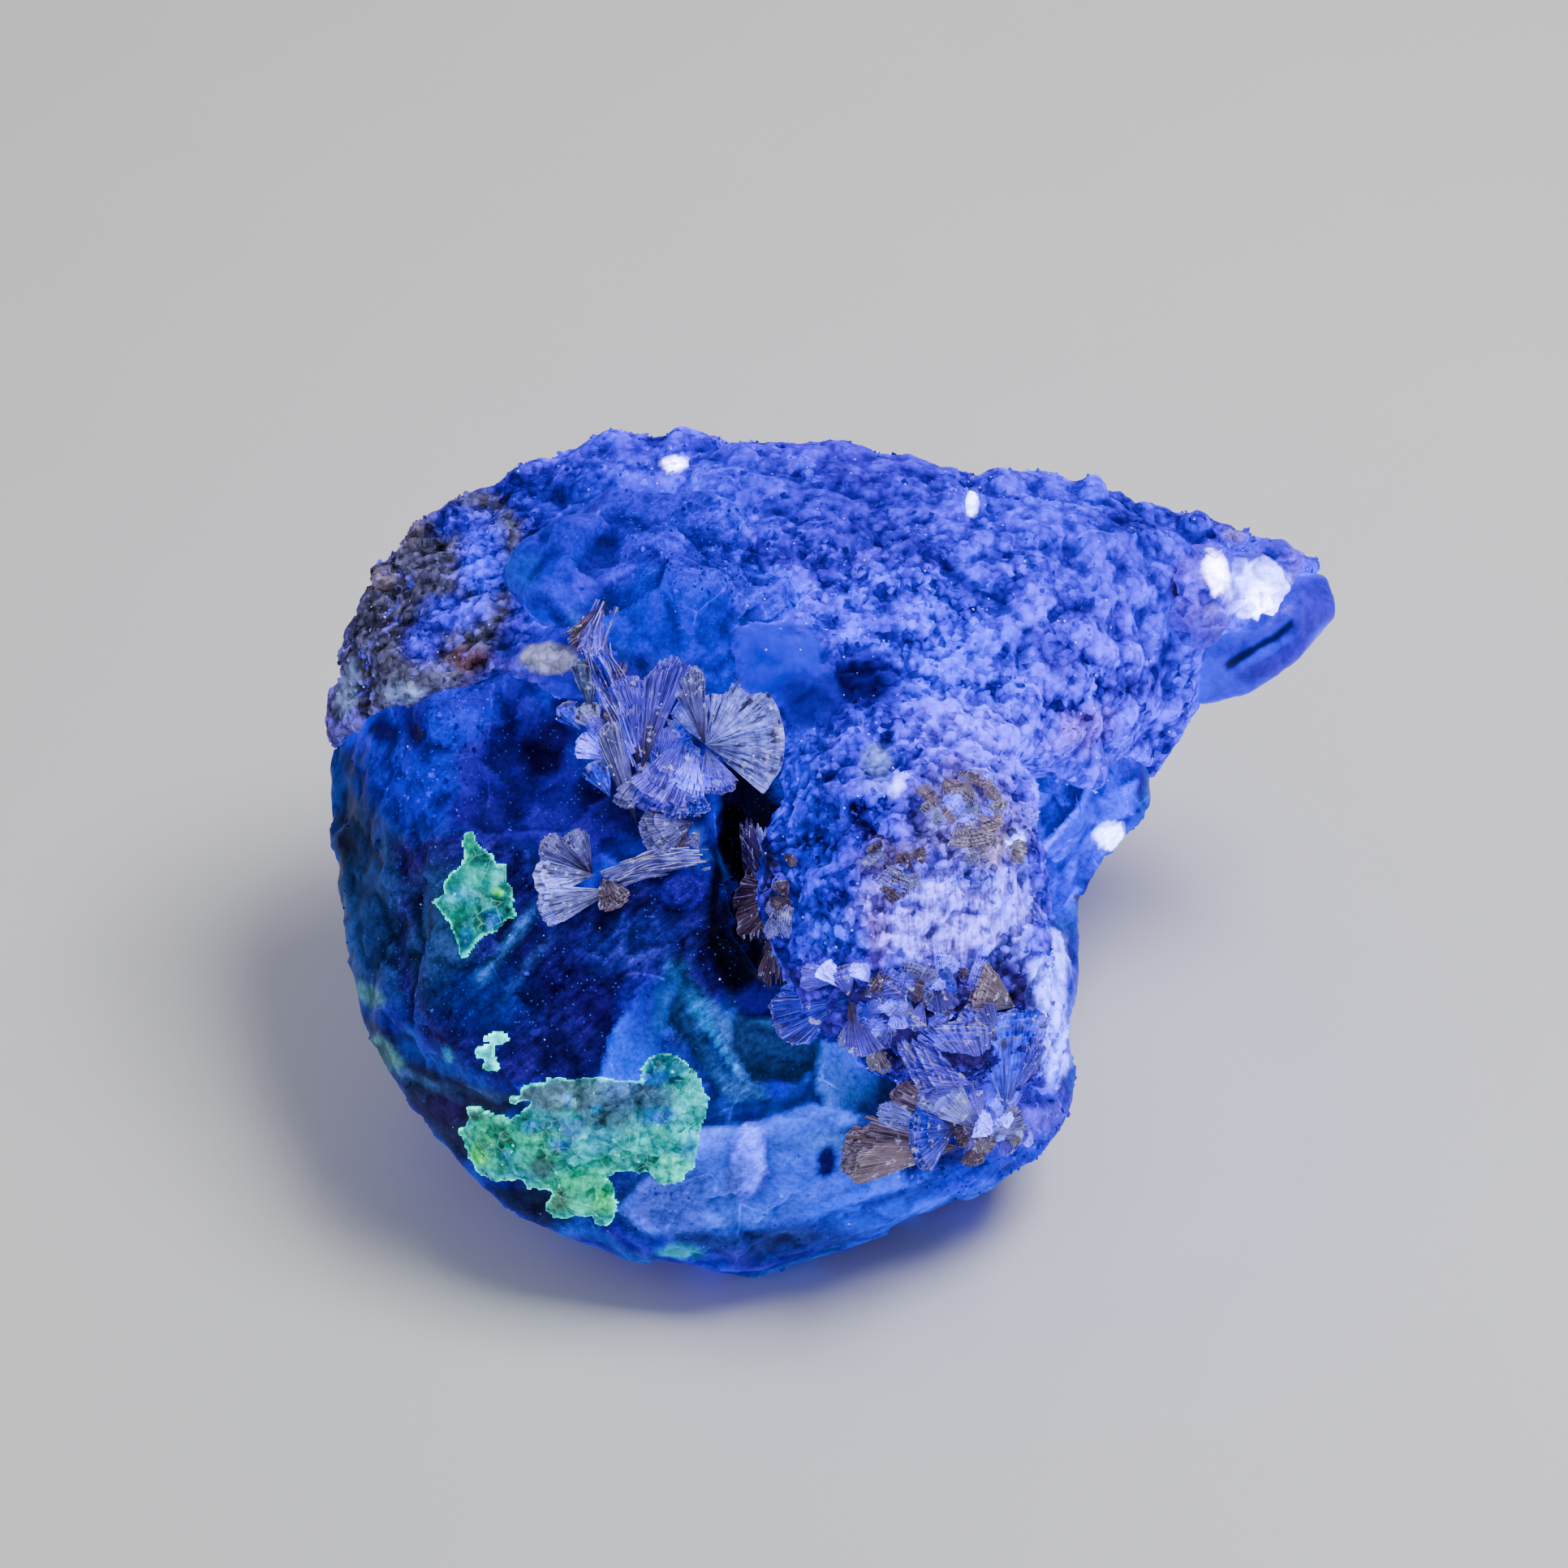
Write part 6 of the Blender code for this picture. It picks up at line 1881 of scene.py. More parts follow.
    def take_grid(self, rows: Sequence[Array], level: float, inner: Colour, outer: Colour) -> None:
        """Adds one upright leaf, given as rows of points from its foot to its edge."""
        first, width = len(self.points), len(rows[0])
        for r, row in enumerate(rows):
            for c, place in enumerate(row):
                self.points.append(tuple(place))
                self.marks["radial"].append(0.35 + 0.65 * r / (len(rows) - 1))
                self.marks["turn"].append(level + 0.05 * c / width)
                self.marks["sheet"].append(level)
                self.inner.append(inner)
                self.outer.append(outer)
        for r in range(len(rows) - 1):
            for c in range(width - 1):
                a = first + r * width + c
                self.faces.append((a, a + 1, a + width + 1, a + width))

    def take(self, carrier: bpy.types.Object, placed: Matrix, fan: Fan) -> None:
        """Takes over a baked book's faces and attributes."""
        mesh, first = carrier.data, len(self.points)
        self.points.extend(tuple(placed @ v.co) for v in mesh.vertices)
        self.faces.extend(tuple(first + i for i in f.vertices) for f in mesh.polygons)
        for name, kept in self.marks.items():
            scale = 0.25 * fan.ribs if name == "turn" else 1.0
            kept.extend(scale * item.value for item in mesh.attributes[name].data)
        self.inner.extend([fan.inner] * len(mesh.vertices))
        self.outer.extend([fan.outer] * len(mesh.vertices))

    def join(self, node: str | None = None) -> bpy.types.Object:
        """Makes one closed mesh of everything taken so far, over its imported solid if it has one."""
        cluster = mesh_object(self.name, np.array(self.points), self.faces)
        for name, kept in self.marks.items():
            layer = cluster.data.attributes.new(name, "FLOAT", "POINT")
            layer.data.foreach_set("value", np.array(kept, np.float32))
        share = smooth_step(0.1, 0.75, np.array(self.marks["radial"]))[:, None]
        light = np.array(self.inner) * (1.0 - share) + np.array(self.outer) * share
        sheet = np.array(self.marks["sheet"])[:, None]
        odd = np.sin(sheet * SHEET_BEAT + len(self.name)) * 0.5 + 0.5
        light = light * (0.62 + 0.76 * odd) * self.silver
        patch = noise_field(np.array(self.points) / MM, 1.1, 21.0, 2)[:, None]
        tint, glow = split_light(np.maximum(light * (1.0 + 0.4 * patch), 0.0))
        set_colours(cluster.data, "tint", tint)
        set_colours(cluster.data, "glow", glow * self.glow_share)
        leaf = cluster.modifiers.new("leaf", "SOLIDIFY")
        leaf.thickness = self.leaf_mm * MM
        leaf.offset = 0.0
        apply_modifiers(cluster)
        clothe(cluster, self.material)
        keep_in_box(cluster)
        return settle(cluster, node)


# --- Hyalite, quartz, the point and loose grains ----------------------------------------------

HYALITE_OUTLINES: dict[str, tuple[Pair, ...]] = {
    "hyalite_crust": (
        (578, 1361), (590, 1362), (600, 1366), (612, 1368), (622, 1371), (630, 1376), (640, 1372),
        (645, 1365), (652, 1362), (655, 1355), (642, 1357), (630, 1355), (628, 1349), (642, 1347),
        (645, 1336), (655, 1333), (674, 1333), (673, 1327), (684, 1329), (706, 1329), (718, 1327),
        (732, 1327), (745, 1329), (788, 1330), (784, 1326), (790, 1322), (788, 1315), (793, 1308),
        (800, 1304), (808, 1296), (820, 1297), (832, 1298), (840, 1302), (846, 1308), (852, 1315),
        (858, 1318), (862, 1325), (866, 1336), (870, 1346), (875, 1354), (872, 1362), (872, 1374),
        (868, 1384), (864, 1395), (864, 1405), (859, 1415), (858, 1428), (854, 1440), (845, 1443),
        (843, 1455), (834, 1457), (822, 1459), (812, 1457), (806, 1450), (798, 1443), (788, 1444),
        (778, 1440), (766, 1441), (758, 1446), (750, 1448), (756, 1458), (760, 1468), (764, 1480),
        (762, 1492), (757, 1502), (748, 1510), (738, 1509), (731, 1504), (730, 1497), (715, 1496),
        (700, 1498), (690, 1500), (683, 1502), (682, 1495), (672, 1489), (672, 1479), (678, 1474),
        (681, 1466), (672, 1464), (668, 1467), (660, 1461), (650, 1463), (648, 1451), (630, 1450),
        (618, 1452), (610, 1453), (605, 1449), (594, 1445), (588, 1436), (580, 1424), (576, 1412),
        (573, 1402), (567, 1395), (566, 1389), (574, 1387), (580, 1380), (580, 1370),
    ),
    "hyalite_flake": (
        (570, 1032), (576, 1022), (583, 1024), (585, 1031), (592, 1041), (600, 1046), (607, 1051),
        (609, 1057), (614, 1064), (626, 1063), (627, 1070), (625, 1084), (633, 1096), (633, 1105),
        (636, 1120), (640, 1130), (625, 1136), (605, 1150), (592, 1160), (582, 1172), (570, 1183),
        (566, 1174), (564, 1162), (560, 1150), (554, 1138), (544, 1124), (534, 1111), (543, 1107),
        (549, 1100), (547, 1094), (550, 1085), (556, 1074), (566, 1066), (571, 1056), (569, 1046),
    ),
    "hyalite_speck": (
        (594, 1278), (602, 1272), (614, 1268), (626, 1272), (629, 1281), (620, 1286), (611, 1288),
        (612, 1296), (615, 1306), (618, 1319), (603, 1319), (595, 1312), (599, 1304), (589, 1302),
        (585, 1293), (591, 1286), (602, 1286), (603, 1283), (596, 1283),
    ),
}
HYALITE_GROUND = {
    "hyalite_crust": ((0.000425, 0.384, 0.267), (0.0002, 0.563, 0.555), (0.000496, 0.403, 0.627),
                      (0.000217, 0.594, 0.337)),
    "hyalite_flake": ((0.0002, 0.336, 0.215), (0.000243, 0.337, 0.331), (0.0002, 0.299, 0.247),
                      (0.0002, 0.412, 0.376)),
    "hyalite_speck": ((0.0002, 0.77, 0.967), (0.000371, 1.08, 1.24), (0.000247, 0.743, 0.896)),
}
HYALITE_ZONES: tuple[Zone | Patch, ...] = (
    Zone(700, 1350, 80, 22, (0.0908, 0.222, 0.299), 0.4),
    Zone(600, 1370, 40, 10, (0.0905, 0.201, 0.232), 0.4),
    Zone(780, 1350, 60, 22, (0.0644, 0.191, 0.383), 0.5),
    Zone(700, 1355, 7, 9, (0.0959, 0.568, 1.14), 0.4),
    Zone(735, 1372, 7, 10, (0.000272, 0.604, 1.37), 0.4),
    Zone(700, 1392, 50, 16, (0.0348, 0.262, 0.53), 0.5),
    Zone(760, 1384, 40, 14, (0.0676, 0.221, 0.32), 0.6),
    Zone(815, 1376, 24, 12, (0.00678, 0.153, 0.691), 0.6),
    Zone(612, 1408, 44, 34, (0.000252, 0.483, 0.277), 0.4),
    Zone(592, 1420, 10, 26, (0.0002, 0.818, 0.15), 0.5, 30),
    Zone(600, 1390, 16, 10, (0.0002, 0.701, 0.398), 0.5),
    Zone(655, 1388, 12, 8, (0.000496, 0.68, 1.54), 0.5),
    Zone(632, 1424, 14, 10, (0.000345, 0.403, 0.626), 0.5),
    Zone(600, 1412, 16, 8, (0.0212, 0.234, 0.156), 0.6, 30),
    Zone(664, 1418, 30, 26, (0.000513, 0.629, 0.388), 0.5),
    Zone(668, 1438, 16, 12, (0.0607, 0.227, 0.224), 0.6),
    Zone(692, 1412, 12, 6, (0.00057, 0.229, 0.922), 0.5),
    Zone(716, 1420, 12, 26, (0.0002, 1.04, 1.15), 0.5, 20),
    Zone(752, 1404, 26, 16, (0.0002, 0.737, 1.16), 0.5),
    Zone(722, 1450, 34, 12, (0.000359, 1.18, 0.781), 0.5),
    Zone(712, 1470, 44, 26, (0.000254, 0.804, 0.407), 0.4),
    Zone(690, 1480, 14, 14, (0.0758, 0.28, 0.188), 0.6),
    Zone(745, 1480, 16, 14, (0.0002, 1.02, 0.341), 0.5),
    Zone(800, 1412, 46, 24, (0.000217, 0.659, 0.595), 0.5),
    Zone(850, 1390, 18, 66, (0.000201, 1.05, 1.05), 0.4),
    Zone(826, 1440, 26, 18, (0.000591, 1.16, 0.787), 0.4),
    Zone(826, 1312, 30, 16, (0.000729, 0.403, 0.626), 0.35),
    Zone(808, 1328, 26, 8, (0.000206, 0.184, 0.788), 0.4),
    Zone(854, 1340, 14, 22, (0.000203, 0.719, 0.707), 0.5),
    Zone(578, 1048, 10, 24, (0.0002, 0.326, 0.201), 0.5),
    Zone(593, 1060, 10, 10, (0.0002, 0.201, 0.179), 0.5),
    Zone(592, 1076, 20, 8, (0.000205, 0.48, 0.42), 0.5, -30),
    Zone(576, 1104, 30, 10, (0.0002, 0.495, 0.765), 0.5, 4),
    Zone(606, 1104, 24, 20, (0.000209, 0.437, 0.43), 0.6),
    Zone(616, 1074, 9, 14, (0.00157, 0.811, 0.798), 0.5),
    Zone(614, 1100, 7, 6, (0.000283, 1.44, 0.272), 0.5),
    Zone(560, 1132, 14, 14, (0.0002, 0.222, 0.172), 0.5),
    Zone(574, 1158, 9, 18, (0.0002, 0.197, 0.461), 0.5),
    Zone(606, 1134, 16, 12, (0.000322, 0.231, 0.921), 0.5),
    Zone(592, 1136, 8, 10, (0.000345, 0.197, 0.154), 0.6),
)
# painted glow along the thin rim of each hyalite skin
RIM_LIGHT = (0.00117, 3.03, 2.31)


@dataclass
class HyaliteSkin:
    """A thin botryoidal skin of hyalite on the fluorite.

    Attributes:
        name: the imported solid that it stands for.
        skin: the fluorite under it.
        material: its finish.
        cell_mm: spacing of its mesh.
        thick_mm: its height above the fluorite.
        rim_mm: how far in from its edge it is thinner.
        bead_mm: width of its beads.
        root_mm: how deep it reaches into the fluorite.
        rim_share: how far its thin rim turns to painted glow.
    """

    name: str
    skin: BVHTree
    material: bpy.types.Material
    cell_mm: float = 0.13
    thick_mm: float = 0.34
    rim_mm: float = 0.16
    bead_mm: float = 0.6
    root_mm: float = 0.5
    rim_share: float = 0.8

    def build(self) -> bpy.types.Object:
        """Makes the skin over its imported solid."""
        sheet = self.lay()
        keep_in_box(sheet)
        return settle(sheet, self.name)

    def lay(self) -> bpy.types.Object:
        """Lays a grid cut to the outline on the fluorite, with a closed edge and a hidden back."""
        outline = np.array([FACE.seen_mm(corner) for corner in HYALITE_OUTLINES[self.name]])
        low, high = outline.min(axis=0) - 0.3, outline.max(axis=0) + 0.3
        xs = np.arange(low[0], high[0], self.cell_mm)
        ys = np.arange(low[1], high[1], self.cell_mm)
        seen = np.array([(x, y) for y in ys for x in xs])
        places = np.column_stack((seen, np.zeros(len(seen))))
        fringe = 0.12 * noise_field(places, 0.4, 2.0, 2) + 0.06 * noise_field(places, 1.2, 5.0)
        fringe *= min(1.0, 0.1 * float((high - low).max()) + 0.1)
        inside = inside_px(outline, seen) + fringe
        number, top, under, depth = {}, [], [], []
        for i in np.flatnonzero(inside > 0.0):
            try:
                place, normal = on_skin(self.skin, tuple(seen[i]))
            except ValueError:
                continue
            bead = noise.voronoi(Vector((*(seen[i] / self.bead_mm), 0.0)))[0][0]
            round_rim = math.sqrt(min(1.0, inside[i] / self.rim_mm))
            height = self.thick_mm * (0.3 + 0.7 * round_rim) * (1.05 - 0.45 * min(bead, 0.8))
            height += 0.1 * noise.noise(Vector((*(seen[i] / 0.35), 4.0)))
            number[i] = len(top)
            top.append(place + normal * height * MM)
            under.append(place - normal * self.root_mm * MM)
            depth.append(inside[i])
        return self.close(number, top, under, np.array(depth), len(xs))

    def close(self, number: dict[int, int], top: list, under: list, depth: Array,
              width: int) -> bpy.types.Object:
        """Turns the grid into one closed, painted solid."""
        count, faces = len(top), []
        for i in number:
            corners = (i, i + 1, i + width + 1, i + width)
            if all(c in number for c in corners):
                faces.append(tuple(number[c] for c in corners))
        edges = {}
        for f in faces:
            for a, b in zip(f, f[1:] + f[:1]):
                edges[(a, b)] = edges.get((a, b), 0) + 1
        walls = [(b, a, a + count, b + count) for (a, b) in edges if (b, a) not in edges]
        back = [tuple(v + count for v in reversed(f)) for f in faces]
        sheet = mesh_object(self.name + "_skin", np.array(top + under), faces + back + walls)
        bm = bmesh.new()
        bm.from_mesh(sheet.data)
        loose = [v for v in bm.verts if not v.link_faces]
        bmesh.ops.delete(bm, geom=loose, context="VERTS")
        bmesh.ops.recalc_face_normals(bm, faces=bm.faces[:])
        bm.to_mesh(sheet.data)
        bm.free()
        self.dress(sheet, np.delete(np.concatenate((depth, depth)), self.lost(faces, count)))
        return sheet

    @staticmethod
    def lost(faces: list, count: int) -> Array:
        """The numbers of the vertices that no face uses."""
        used = np.zeros(count, bool)
        used[np.unique([v for f in faces for v in f])] = True
        gone = np.flatnonzero(~used)
        return np.concatenate((gone, gone + count))

    def dress(self, sheet: bpy.types.Object, depth: Array) -> None:
        """Paints the skin, with a painted glow along its thin rim, and gives it its finish."""
        places = points_of(sheet.data) / MM
        ground = mottle(places, HYALITE_GROUND[self.name], 1.6, 33.0)
        paint(sheet, ground, HYALITE_ZONES, 0.5, 0.45)
        rim = (1.0 - smooth_step(0.02, 0.2, depth))[:, None] * self.rim_share
        for name, other in zip(("tint", "glow"), split_light(np.array([RIM_LIGHT]))):
            colours = rows_of(sheet.data.attributes[name].data, "color", 4)[:, :3]
            set_colours(sheet.data, name, colours * (1.0 - rim) + other * rim)
        clothe(sheet, self.material)
        for face in sheet.data.polygons:
            face.use_smooth = True


QUARTZ_ZONES: tuple[Zone | Patch, ...] = (
    Zone(1470, 772, 50, 40, (0.0585, 0.000203, 0.782), 0.4),
    Zone(1464, 712, 18, 40, (0.102, 0.000425, 1.04), 0.4),
    Zone(1490, 760, 26, 16, (0.174, 0.0567, 1.36), 0.5),
    Zone(1526, 736, 22, 26, (0.454, 0.222, 4.67), 0.4),
    Zone(1552, 731, 38, 39, (1.39, 1.47, 8.01), 0.3),
    Zone(1556, 744, 18, 20, (4.99, 5.03, 13.4), 0.6),
    # a painted glint beside the large white grain
    Zone(1498, 704, 13, 24, (8.46, 7.1, 19.8), 0.35, -14),
    Zone(1470, 716, 14, 26, (0.305, 0.0885, 2.31), 0.5),
    Zone(1612, 700, 12, 20, (0.258, 0.0027, 1.73), 0.4),
    Zone(1596, 690, 16, 20, (0.178, 0.0568, 1.29), 0.5),
    Zone(1540, 782, 40, 10, (0.152, 0.0973, 0.865), 0.5),
)
TIP_ZONES: tuple[Zone | Patch, ...] = (
    Zone(1590, 830, 60, 40, (0.0269, 0.0002, 1.06), 0.5),
    Zone(1520, 850, 50, 30, (0.0139, 0.0002, 1.4), 0.5),
    Zone(1625, 765, 26, 44, (0.0411, 0.0002, 0.866), 0.5),
    Zone(1565, 815, 44, 18, (0.0341, 0.00027, 0.671), 0.5, -28),
    Patch(((1508, 818), (1530, 802), (1570, 780), (1592, 762), (1594, 772), (1572, 790),
           (1540, 808), (1512, 826)), (0.000207, 0.0037, 0.0765), 3, 1),
    Zone(1556, 806, 40, 5, (0.0116, 0.0002, 1.83), 0.5, -30),
    Zone(1618, 800, 8, 34, (0.0366, 0.0002, 1.79), 0.5, 20),
)


@dataclass
class CrystalGrains:
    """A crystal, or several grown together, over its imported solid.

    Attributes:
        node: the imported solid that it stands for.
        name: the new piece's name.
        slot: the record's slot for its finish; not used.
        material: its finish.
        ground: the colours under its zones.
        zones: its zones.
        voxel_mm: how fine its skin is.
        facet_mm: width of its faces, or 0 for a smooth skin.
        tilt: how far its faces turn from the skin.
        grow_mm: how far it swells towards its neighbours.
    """

    node: str
    name: str
    slot: Slot
    material: bpy.types.Material
    ground: tuple[Colour, ...]
    zones: tuple[Zone | Patch, ...]
    voxel_mm: float = 0.14
    facet_mm: float = 1.1
    tilt: float = 0.34
    grow_mm: float = 0.1

    def build(self) -> bpy.types.Object:
        """Makes the grains."""
        grains = refine(node_copy(self.node, self.name), self.voxel_mm, 3)
        points, normals = points_of(grains.data), normals_of(grains.data)
        lift = self.grow_mm + 0.06 * noise_field(points / MM, 0.9, 2.0, 2)
        set_points(grains.data, points + normals * (lift * MM)[:, None])
        if self.facet_mm:
            break_into_facets(grains, self.facet_mm, 0.95, self.tilt, 41)
            grains.data.shade_flat()
        keep_in_box(grains)
        paint(grains, mottle(points / MM, self.ground, 1.5, 51.0), self.zones, 0.6)
        clothe(grains, self.material)
        return settle(grains, self.node)


class ScatterTree:
    """The geometry tree that strews small crystals over a stone."""

    PORTS = {
        "Stone": ("NodeSocketObject", None), "Shapes": ("NodeSocketCollection", None),
        "Density": (VALUE, 300000.0), "Smallest": (VALUE, 0.0003), "Largest": (VALUE, 0.0008),
        "Seed": (COUNT, 3), "Finish": (FINISH, None),
    }

    def __init__(self) -> None:
        """Wires the tree."""
        self.tree = node_tree("strewn_grains", "GeometryNodeTree", self.PORTS, {"Geometry": MESH})
        w = GeometryWiring(self.tree)
        get, out = ends_of(w)
        stone = w.add("GeometryNodeObjectInfo", {"Object": get["Stone"]}).outputs["Geometry"]
        points = w.add("GeometryNodeDistributePointsOnFaces", {
            "Mesh": stone, "Density": w.times(w.named("strewn"), get["Density"]),
            "Seed": get["Seed"]}, distribute_method="RANDOM")
        shapes = w.add("GeometryNodeCollectionInfo", {
            "Collection": get["Shapes"], "Separate Children": True, "Reset Children": True})
        skewed = w.math("POWER", w.chance(0.0, 1.0, get["Seed"]), 2.2)
        size = w.mad(skewed, w.math("SUBTRACT", get["Largest"], get["Smallest"]), get["Smallest"])
        spin = w.chance((-3.1,) * 3, (3.1,) * 3, get["Seed"], "FLOAT_VECTOR")
        copies = w.add("GeometryNodeInstanceOnPoints", {
            "Points": points.outputs["Points"], "Instance": shapes.outputs[0],
            "Pick Instance": True, "Rotation": spin, "Scale": size})
        marked = w.keep(copies.outputs[0], "grain", w.chance(0.0, 1.0, 11), "INSTANCE")
        loose = w.add("GeometryNodeRealizeInstances", {"Geometry": marked})
        w.show(loose.outputs[0], get["Finish"], out)


@dataclass
class StrewnGrains:
    """Small angular crystals strewn over a stone.

    Attributes:
        name: the new piece's name.
        stone: the piece under them, painted already.
        tree: the tree that strews them.
        material: their finish.
        slot: the record's slot for their finish; not used.
        density: crystals to the square metre.
        sizes_mm: the smallest and largest crystal.
        weight: where they lie, from points and normals to shares.
        seed: fixes the pattern.
    """

    name: str
    stone: bpy.types.Object
    tree: ScatterTree
    material: bpy.types.Material
    slot: Slot
    density: float
    sizes_mm: Pair
    weight: Callable[[Array, Array], Array]
    seed: int = 3

    def build(self) -> bpy.types.Object:
        """Makes the crystals."""
        mesh = self.stone.data
        layer = mesh.attributes.new("strewn", "FLOAT", "POINT")
        share = self.weight(points_of(mesh), normals_of(mesh))
        layer.data.foreach_set("value", share.astype(np.float32))
        shapes = self.shapes()
        grains = grown(self.name, self.tree.tree, {
            "Stone": self.stone, "Shapes": shapes, "Density": self.density,
            "Smallest": self.sizes_mm[0] * MM, "Largest": self.sizes_mm[1] * MM,
            "Seed": self.seed, "Finish": self.material})
        for shape in list(shapes.objects):
            bpy.data.objects.remove(shape)
        bpy.data.collections.remove(shapes)
        mesh.attributes.remove(mesh.attributes["strewn"])
        for name in [a.name for a in grains.data.attributes if a.name == "strewn"]:
            grains.data.attributes.remove(grains.data.attributes[name])
        keep_in_box(grains)
        return settle(grains)

    def shapes(self) -> bpy.types.Collection:
        """A handful of different angular crystals, about one unit wide."""
        chance = np.random.default_rng(self.seed)
        held = bpy.data.collections.new(self.name + "_shapes")
        for i in range(6):
            bm = bmesh.new()
            corners = chance.normal(0, 1, (9, 3))
            corners /= np.linalg.norm(corners, axis=1, keepdims=True)
            corners *= (0.5, 0.42, 0.36) * chance.uniform(0.8, 1.0, (9, 1))
            made = bmesh.ops.convex_hull(bm, input=[bm.verts.new(c) for c in corners])
            inner = [v for v in made["geom_interior"] if isinstance(v, bmesh.types.BMVert)]
            bmesh.ops.delete(bm, geom=inner, context="VERTS")
            name = f"crystal_{i}"
            held.objects.link(bpy.data.objects.new(name, mesh_from(bm, name)))
        return held


# --- Studio -----------------------------------------------------------------------------------

AIM = (0.0, 0.0, 0.018)  # what the lights are turned to, in metres


@dataclass(frozen=True)
class SoftBox:
    """One soft light of the studio.

    Attributes:
        name: its name.
        at_mm: where it hangs, as it is seen face on: across, up and out.
        width_m: its width.
        watts: its power.
    """

    name: str
    at_mm: tuple[float, float, float]
    width_m: float
    watts: float

    def hang(self) -> None:
        """Hangs the light and turns it to the specimen."""
        lamp = bpy.data.lights.new(self.name, "AREA")
        lamp.shape = "SQUARE"
        lamp.size = self.width_m
        lamp.energy = self.watts
        obj = linked(self.name, lamp)
        obj.location = FACE.stand(*self.at_mm)
        toward = Vector(AIM) - obj.location
        obj.rotation_euler = toward.to_track_quat("-Z", "Y").to_euler()


@dataclass(frozen=True)
class Studio:
    """Floor, lights and camera.

    Attributes:
        floor_m: width of the floor.
        lens_mm: focal length of the camera.
        sensor_mm: width of its sensor.
        boxes: its lights.
        sky: strength of the light from all round.
    """

    floor_m: float = 1.6
    lens_mm: float = 100.0
    sensor_mm: float = 36.0
    sky: float = 0.22
    boxes: tuple[SoftBox, ...] = (
        SoftBox("key", (120.0, 210.0, 190.0), 0.14, 0.95),
        SoftBox("fill", (-240.0, 80.0, 200.0), 0.30, 0.15),
        SoftBox("rim", (40.0, 260.0, -120.0), 0.20, 0.12),
    )

    def build(self) -> None:
        """Sets the stage."""
        self.lay_floor()
        for box in self.boxes:
            box.hang()
        world = bpy.data.worlds.new("studio_air")
        world.use_nodes = True
        sky = world.node_tree.nodes["Background"]
        sky.inputs["Color"].default_value = (0.86, 0.88, 0.92, 1.0)
        sky.inputs["Strength"].default_value = self.sky
        bpy.context.scene.world = world
        self.place_camera()

    def lay_floor(self) -> None:
        """Lays a plain pale floor."""
        half = 0.5 * self.floor_m
        corners = [(-half, -half, 0), (half, -half, 0), (half, half, 0), (-half, half, 0)]
        floor = mesh_object("studio_floor", np.array(corners), [(0, 1, 2, 3)])
        made = bpy.data.materials.new("pale_paper")
        made.use_nodes = True
        w, shader = Wiring(made.node_tree), made.node_tree.nodes["Principled BSDF"]
        grain = w.cloud(w.add("ShaderNodeTexCoord").outputs["Object"], 60.0, 3.0)
        w.feed(shader.inputs["Base Color"], w.blend(grain, (0.86, 0.86, 0.87), (0.9, 0.9, 0.91)))
        shader.inputs["Roughness"].default_value = 0.9
        clothe(floor, made)

    def place_camera(self) -> None:
        """Stands the camera square in front of the leaning face."""
        lens = bpy.data.cameras.new("camera")
        lens.lens = self.lens_mm
        lens.sensor_width = self.sensor_mm
        lens.clip_start = 0.01
        camera = linked("camera", lens)
        camera.location = FACE.viewer()
        camera.rotation_euler = (math.radians(90 - FACE.lean_deg), 0.0, 0.0)
        bpy.context.scene.camera = camera


# --- The specimen -----------------------------------------------------------------------------


def crust_weight(points: Array, normals: Array) -> Array:
    """Where grains lie on the feldspar: in patches, thickest on the block and the ridge."""
    patches = smooth_step(-0.25, 0.35, noise_field(points / MM, 3.2, 61.0, 2))
    calm = cover_of(GLASSY_LUMPS, FACE.pixels(points))
    share = (0.2 + 0.8 * patches) * (1.0 - calm * seen_share(points, normals))
    return share * (1.0 - 0.75 * smooth_step(12.0, 19.0, points[:, 0] / MM))


SUGARED_SPOTS = tuple(Zone(*oval, UNPAINTED) for oval in (
    (1250, 1390, 64, 50), (570, 885, 44, 44), (820, 1495, 44, 34), (1200, 1440, 90, 30),
    (900, 680, 120, 70), (520, 960, 50, 46)))


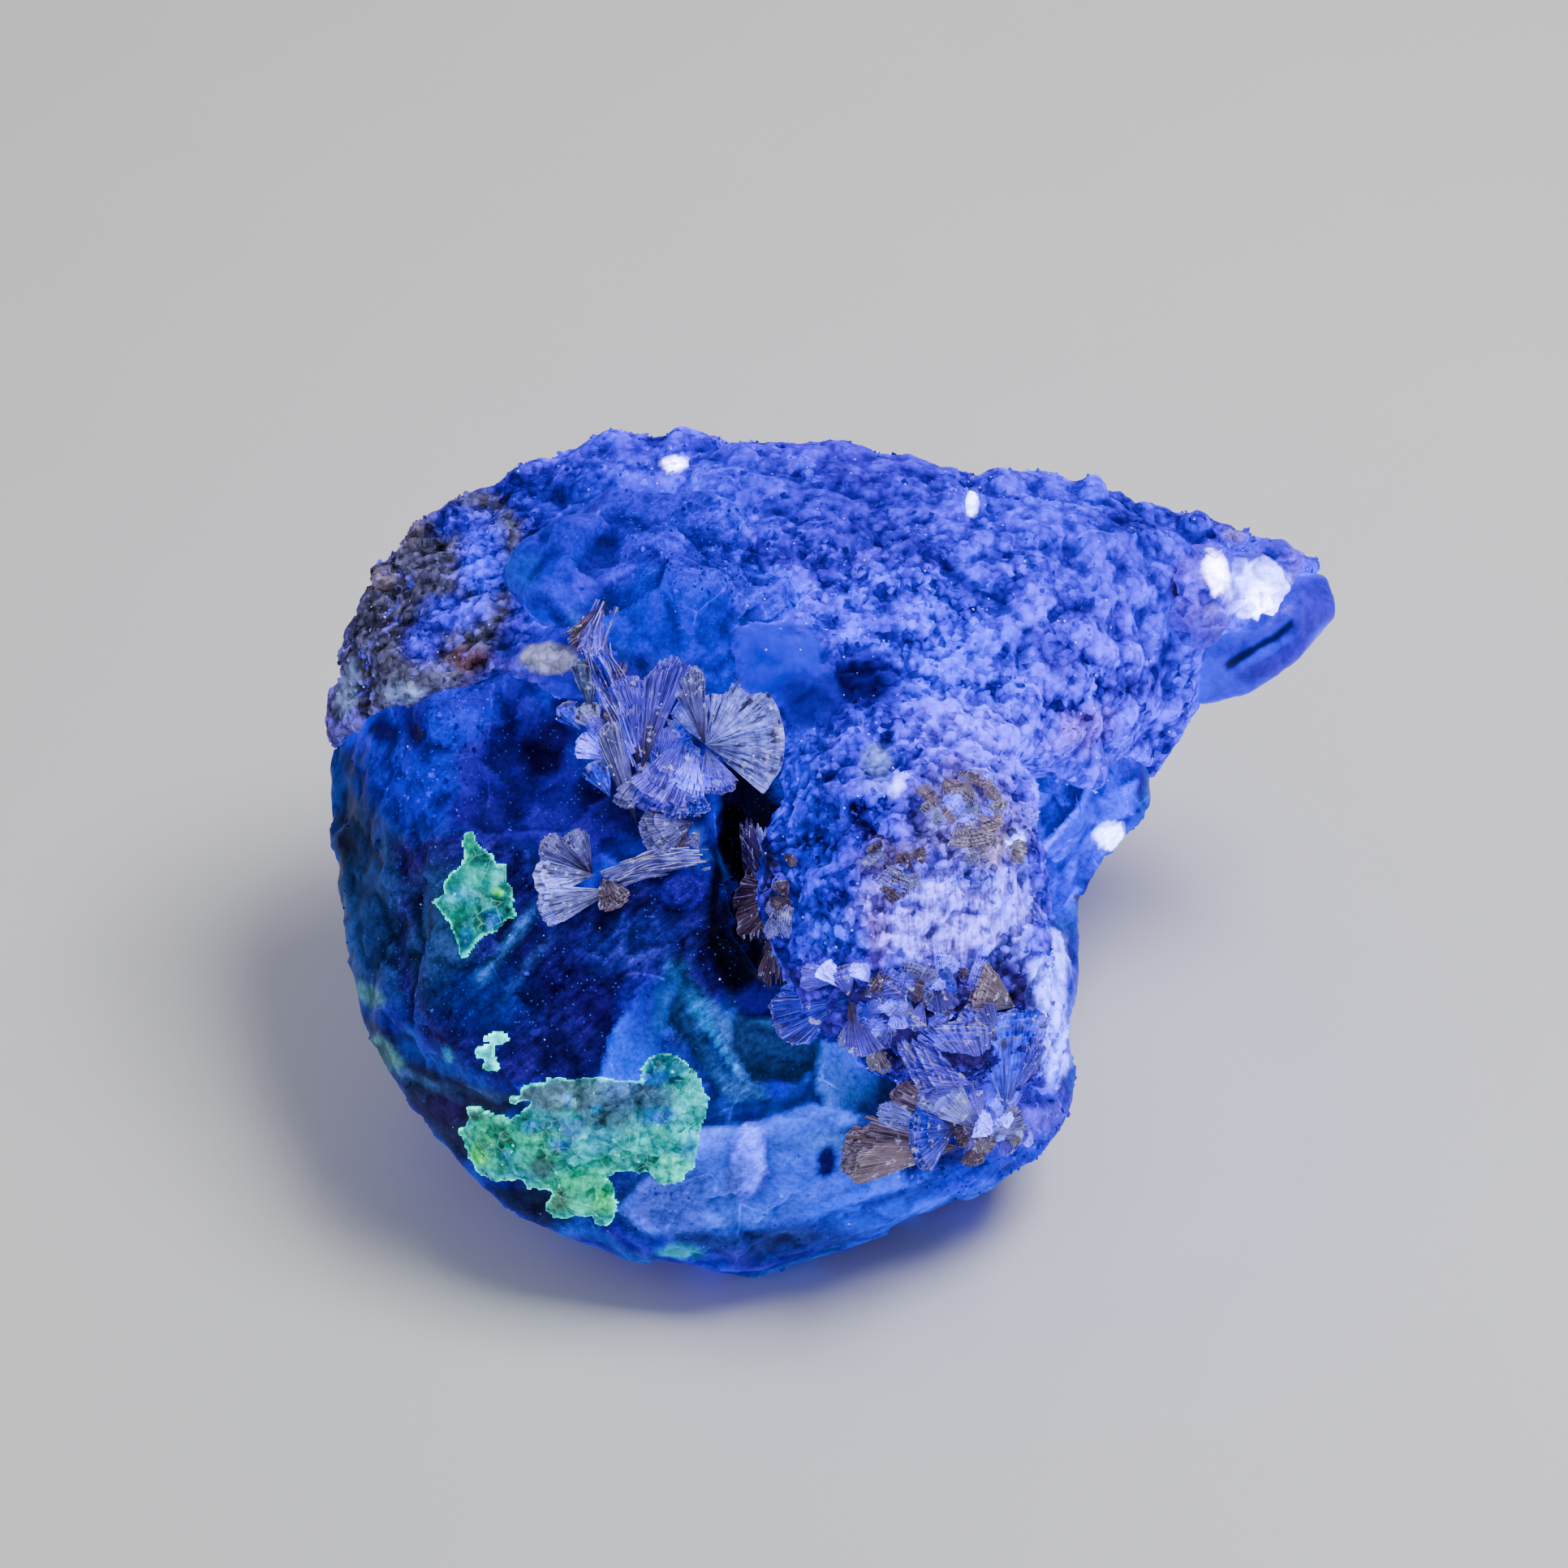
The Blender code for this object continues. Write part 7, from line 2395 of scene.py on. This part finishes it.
def spot_weight(points: Array, normals: Array) -> Array:
    """Where grains lie on the fluorite: on a few sugared spots of its face, thinly elsewhere."""
    pixels, unrest = FACE.pixels(points), noise_field(points / MM, 1.6, 3.0, 2)
    return 0.02 + cover_of(SUGARED_SPOTS, pixels, unrest) * seen_share(points, normals)


def report(piece: bpy.types.Object) -> bpy.types.Object:
    """Logs one finished piece."""
    faces = sum(len(f.vertices) - 2 for f in piece.data.polygons)
    LOG.info("%s: %d triangles", piece.name, faces)
    return piece


def main() -> None:
    """Builds the specimen piece by piece and sets the stage round it."""
    logging.basicConfig(level=logging.INFO, format="%(message)s")
    Studio().build()
    effects = SharedEffects()
    nodes = frame["nodes"]
    stone_skin = skin_of(nodes["fluorite"], nodes["feldspar_crust"])
    fluorite = report(FluoriteBody(effects).build())
    feldspar = report(FeldsparCrust(effects).build())
    strewn = ScatterTree()
    grain_finish = sugar_finish(effects, "feldspar_grains", 2600.0, 0.5, True)
    report(StrewnGrains("feldspar_grains", feldspar, strewn, grain_finish, Slot.FELDSPAR,
                        3.4e6, (0.2, 0.8), crust_weight).build())
    report(StrewnGrains("fluorite_grains", fluorite, strewn, grain_finish, Slot.FLUORITE,
                        4.0e6, (0.2, 0.6), spot_weight, 5).build())
    report(CrystalGrains(
        "quartz_grains", "quartz_crystals", Slot.QUARTZ,
        clear_finish(effects, "quartz_white", 0.1, 0.3, 0.4),
        ((0.03, 0.0002, 0.586), (0.0618, 0.0002, 1.34), (0.0395, 0.0002, 0.771)),
        QUARTZ_ZONES).build())
    report(CrystalGrains(
        "fluorite_tip_crystal", "fluorite_point", Slot.TIP,
        clear_finish(effects, "point_blue", 0.08, 0.16),
        ((0.0251, 0.000271, 0.755), (0.0281, 0.0002, 1.01), (0.028, 0.0002, 0.599)), TIP_ZONES,
        0.16, 0.0, 0.0, 0.2).build())
    book, mica = BookTree(), mica_finish(effects)
    for name in MICA_CLUSTERS:
        report(MicaCluster(name + "_sheets", stone_skin, book, mica).build(name))
    report(MicaCluster("mica_flakes", stone_skin, book, mica).build_flakes())
    hyalite = hyalite_finish(effects)
    crystal_skin = skin_of(fluorite)
    for name in HYALITE_OUTLINES:
        report(HyaliteSkin(name, crystal_skin, hyalite).build())


if __name__ == "__main__":
    main()
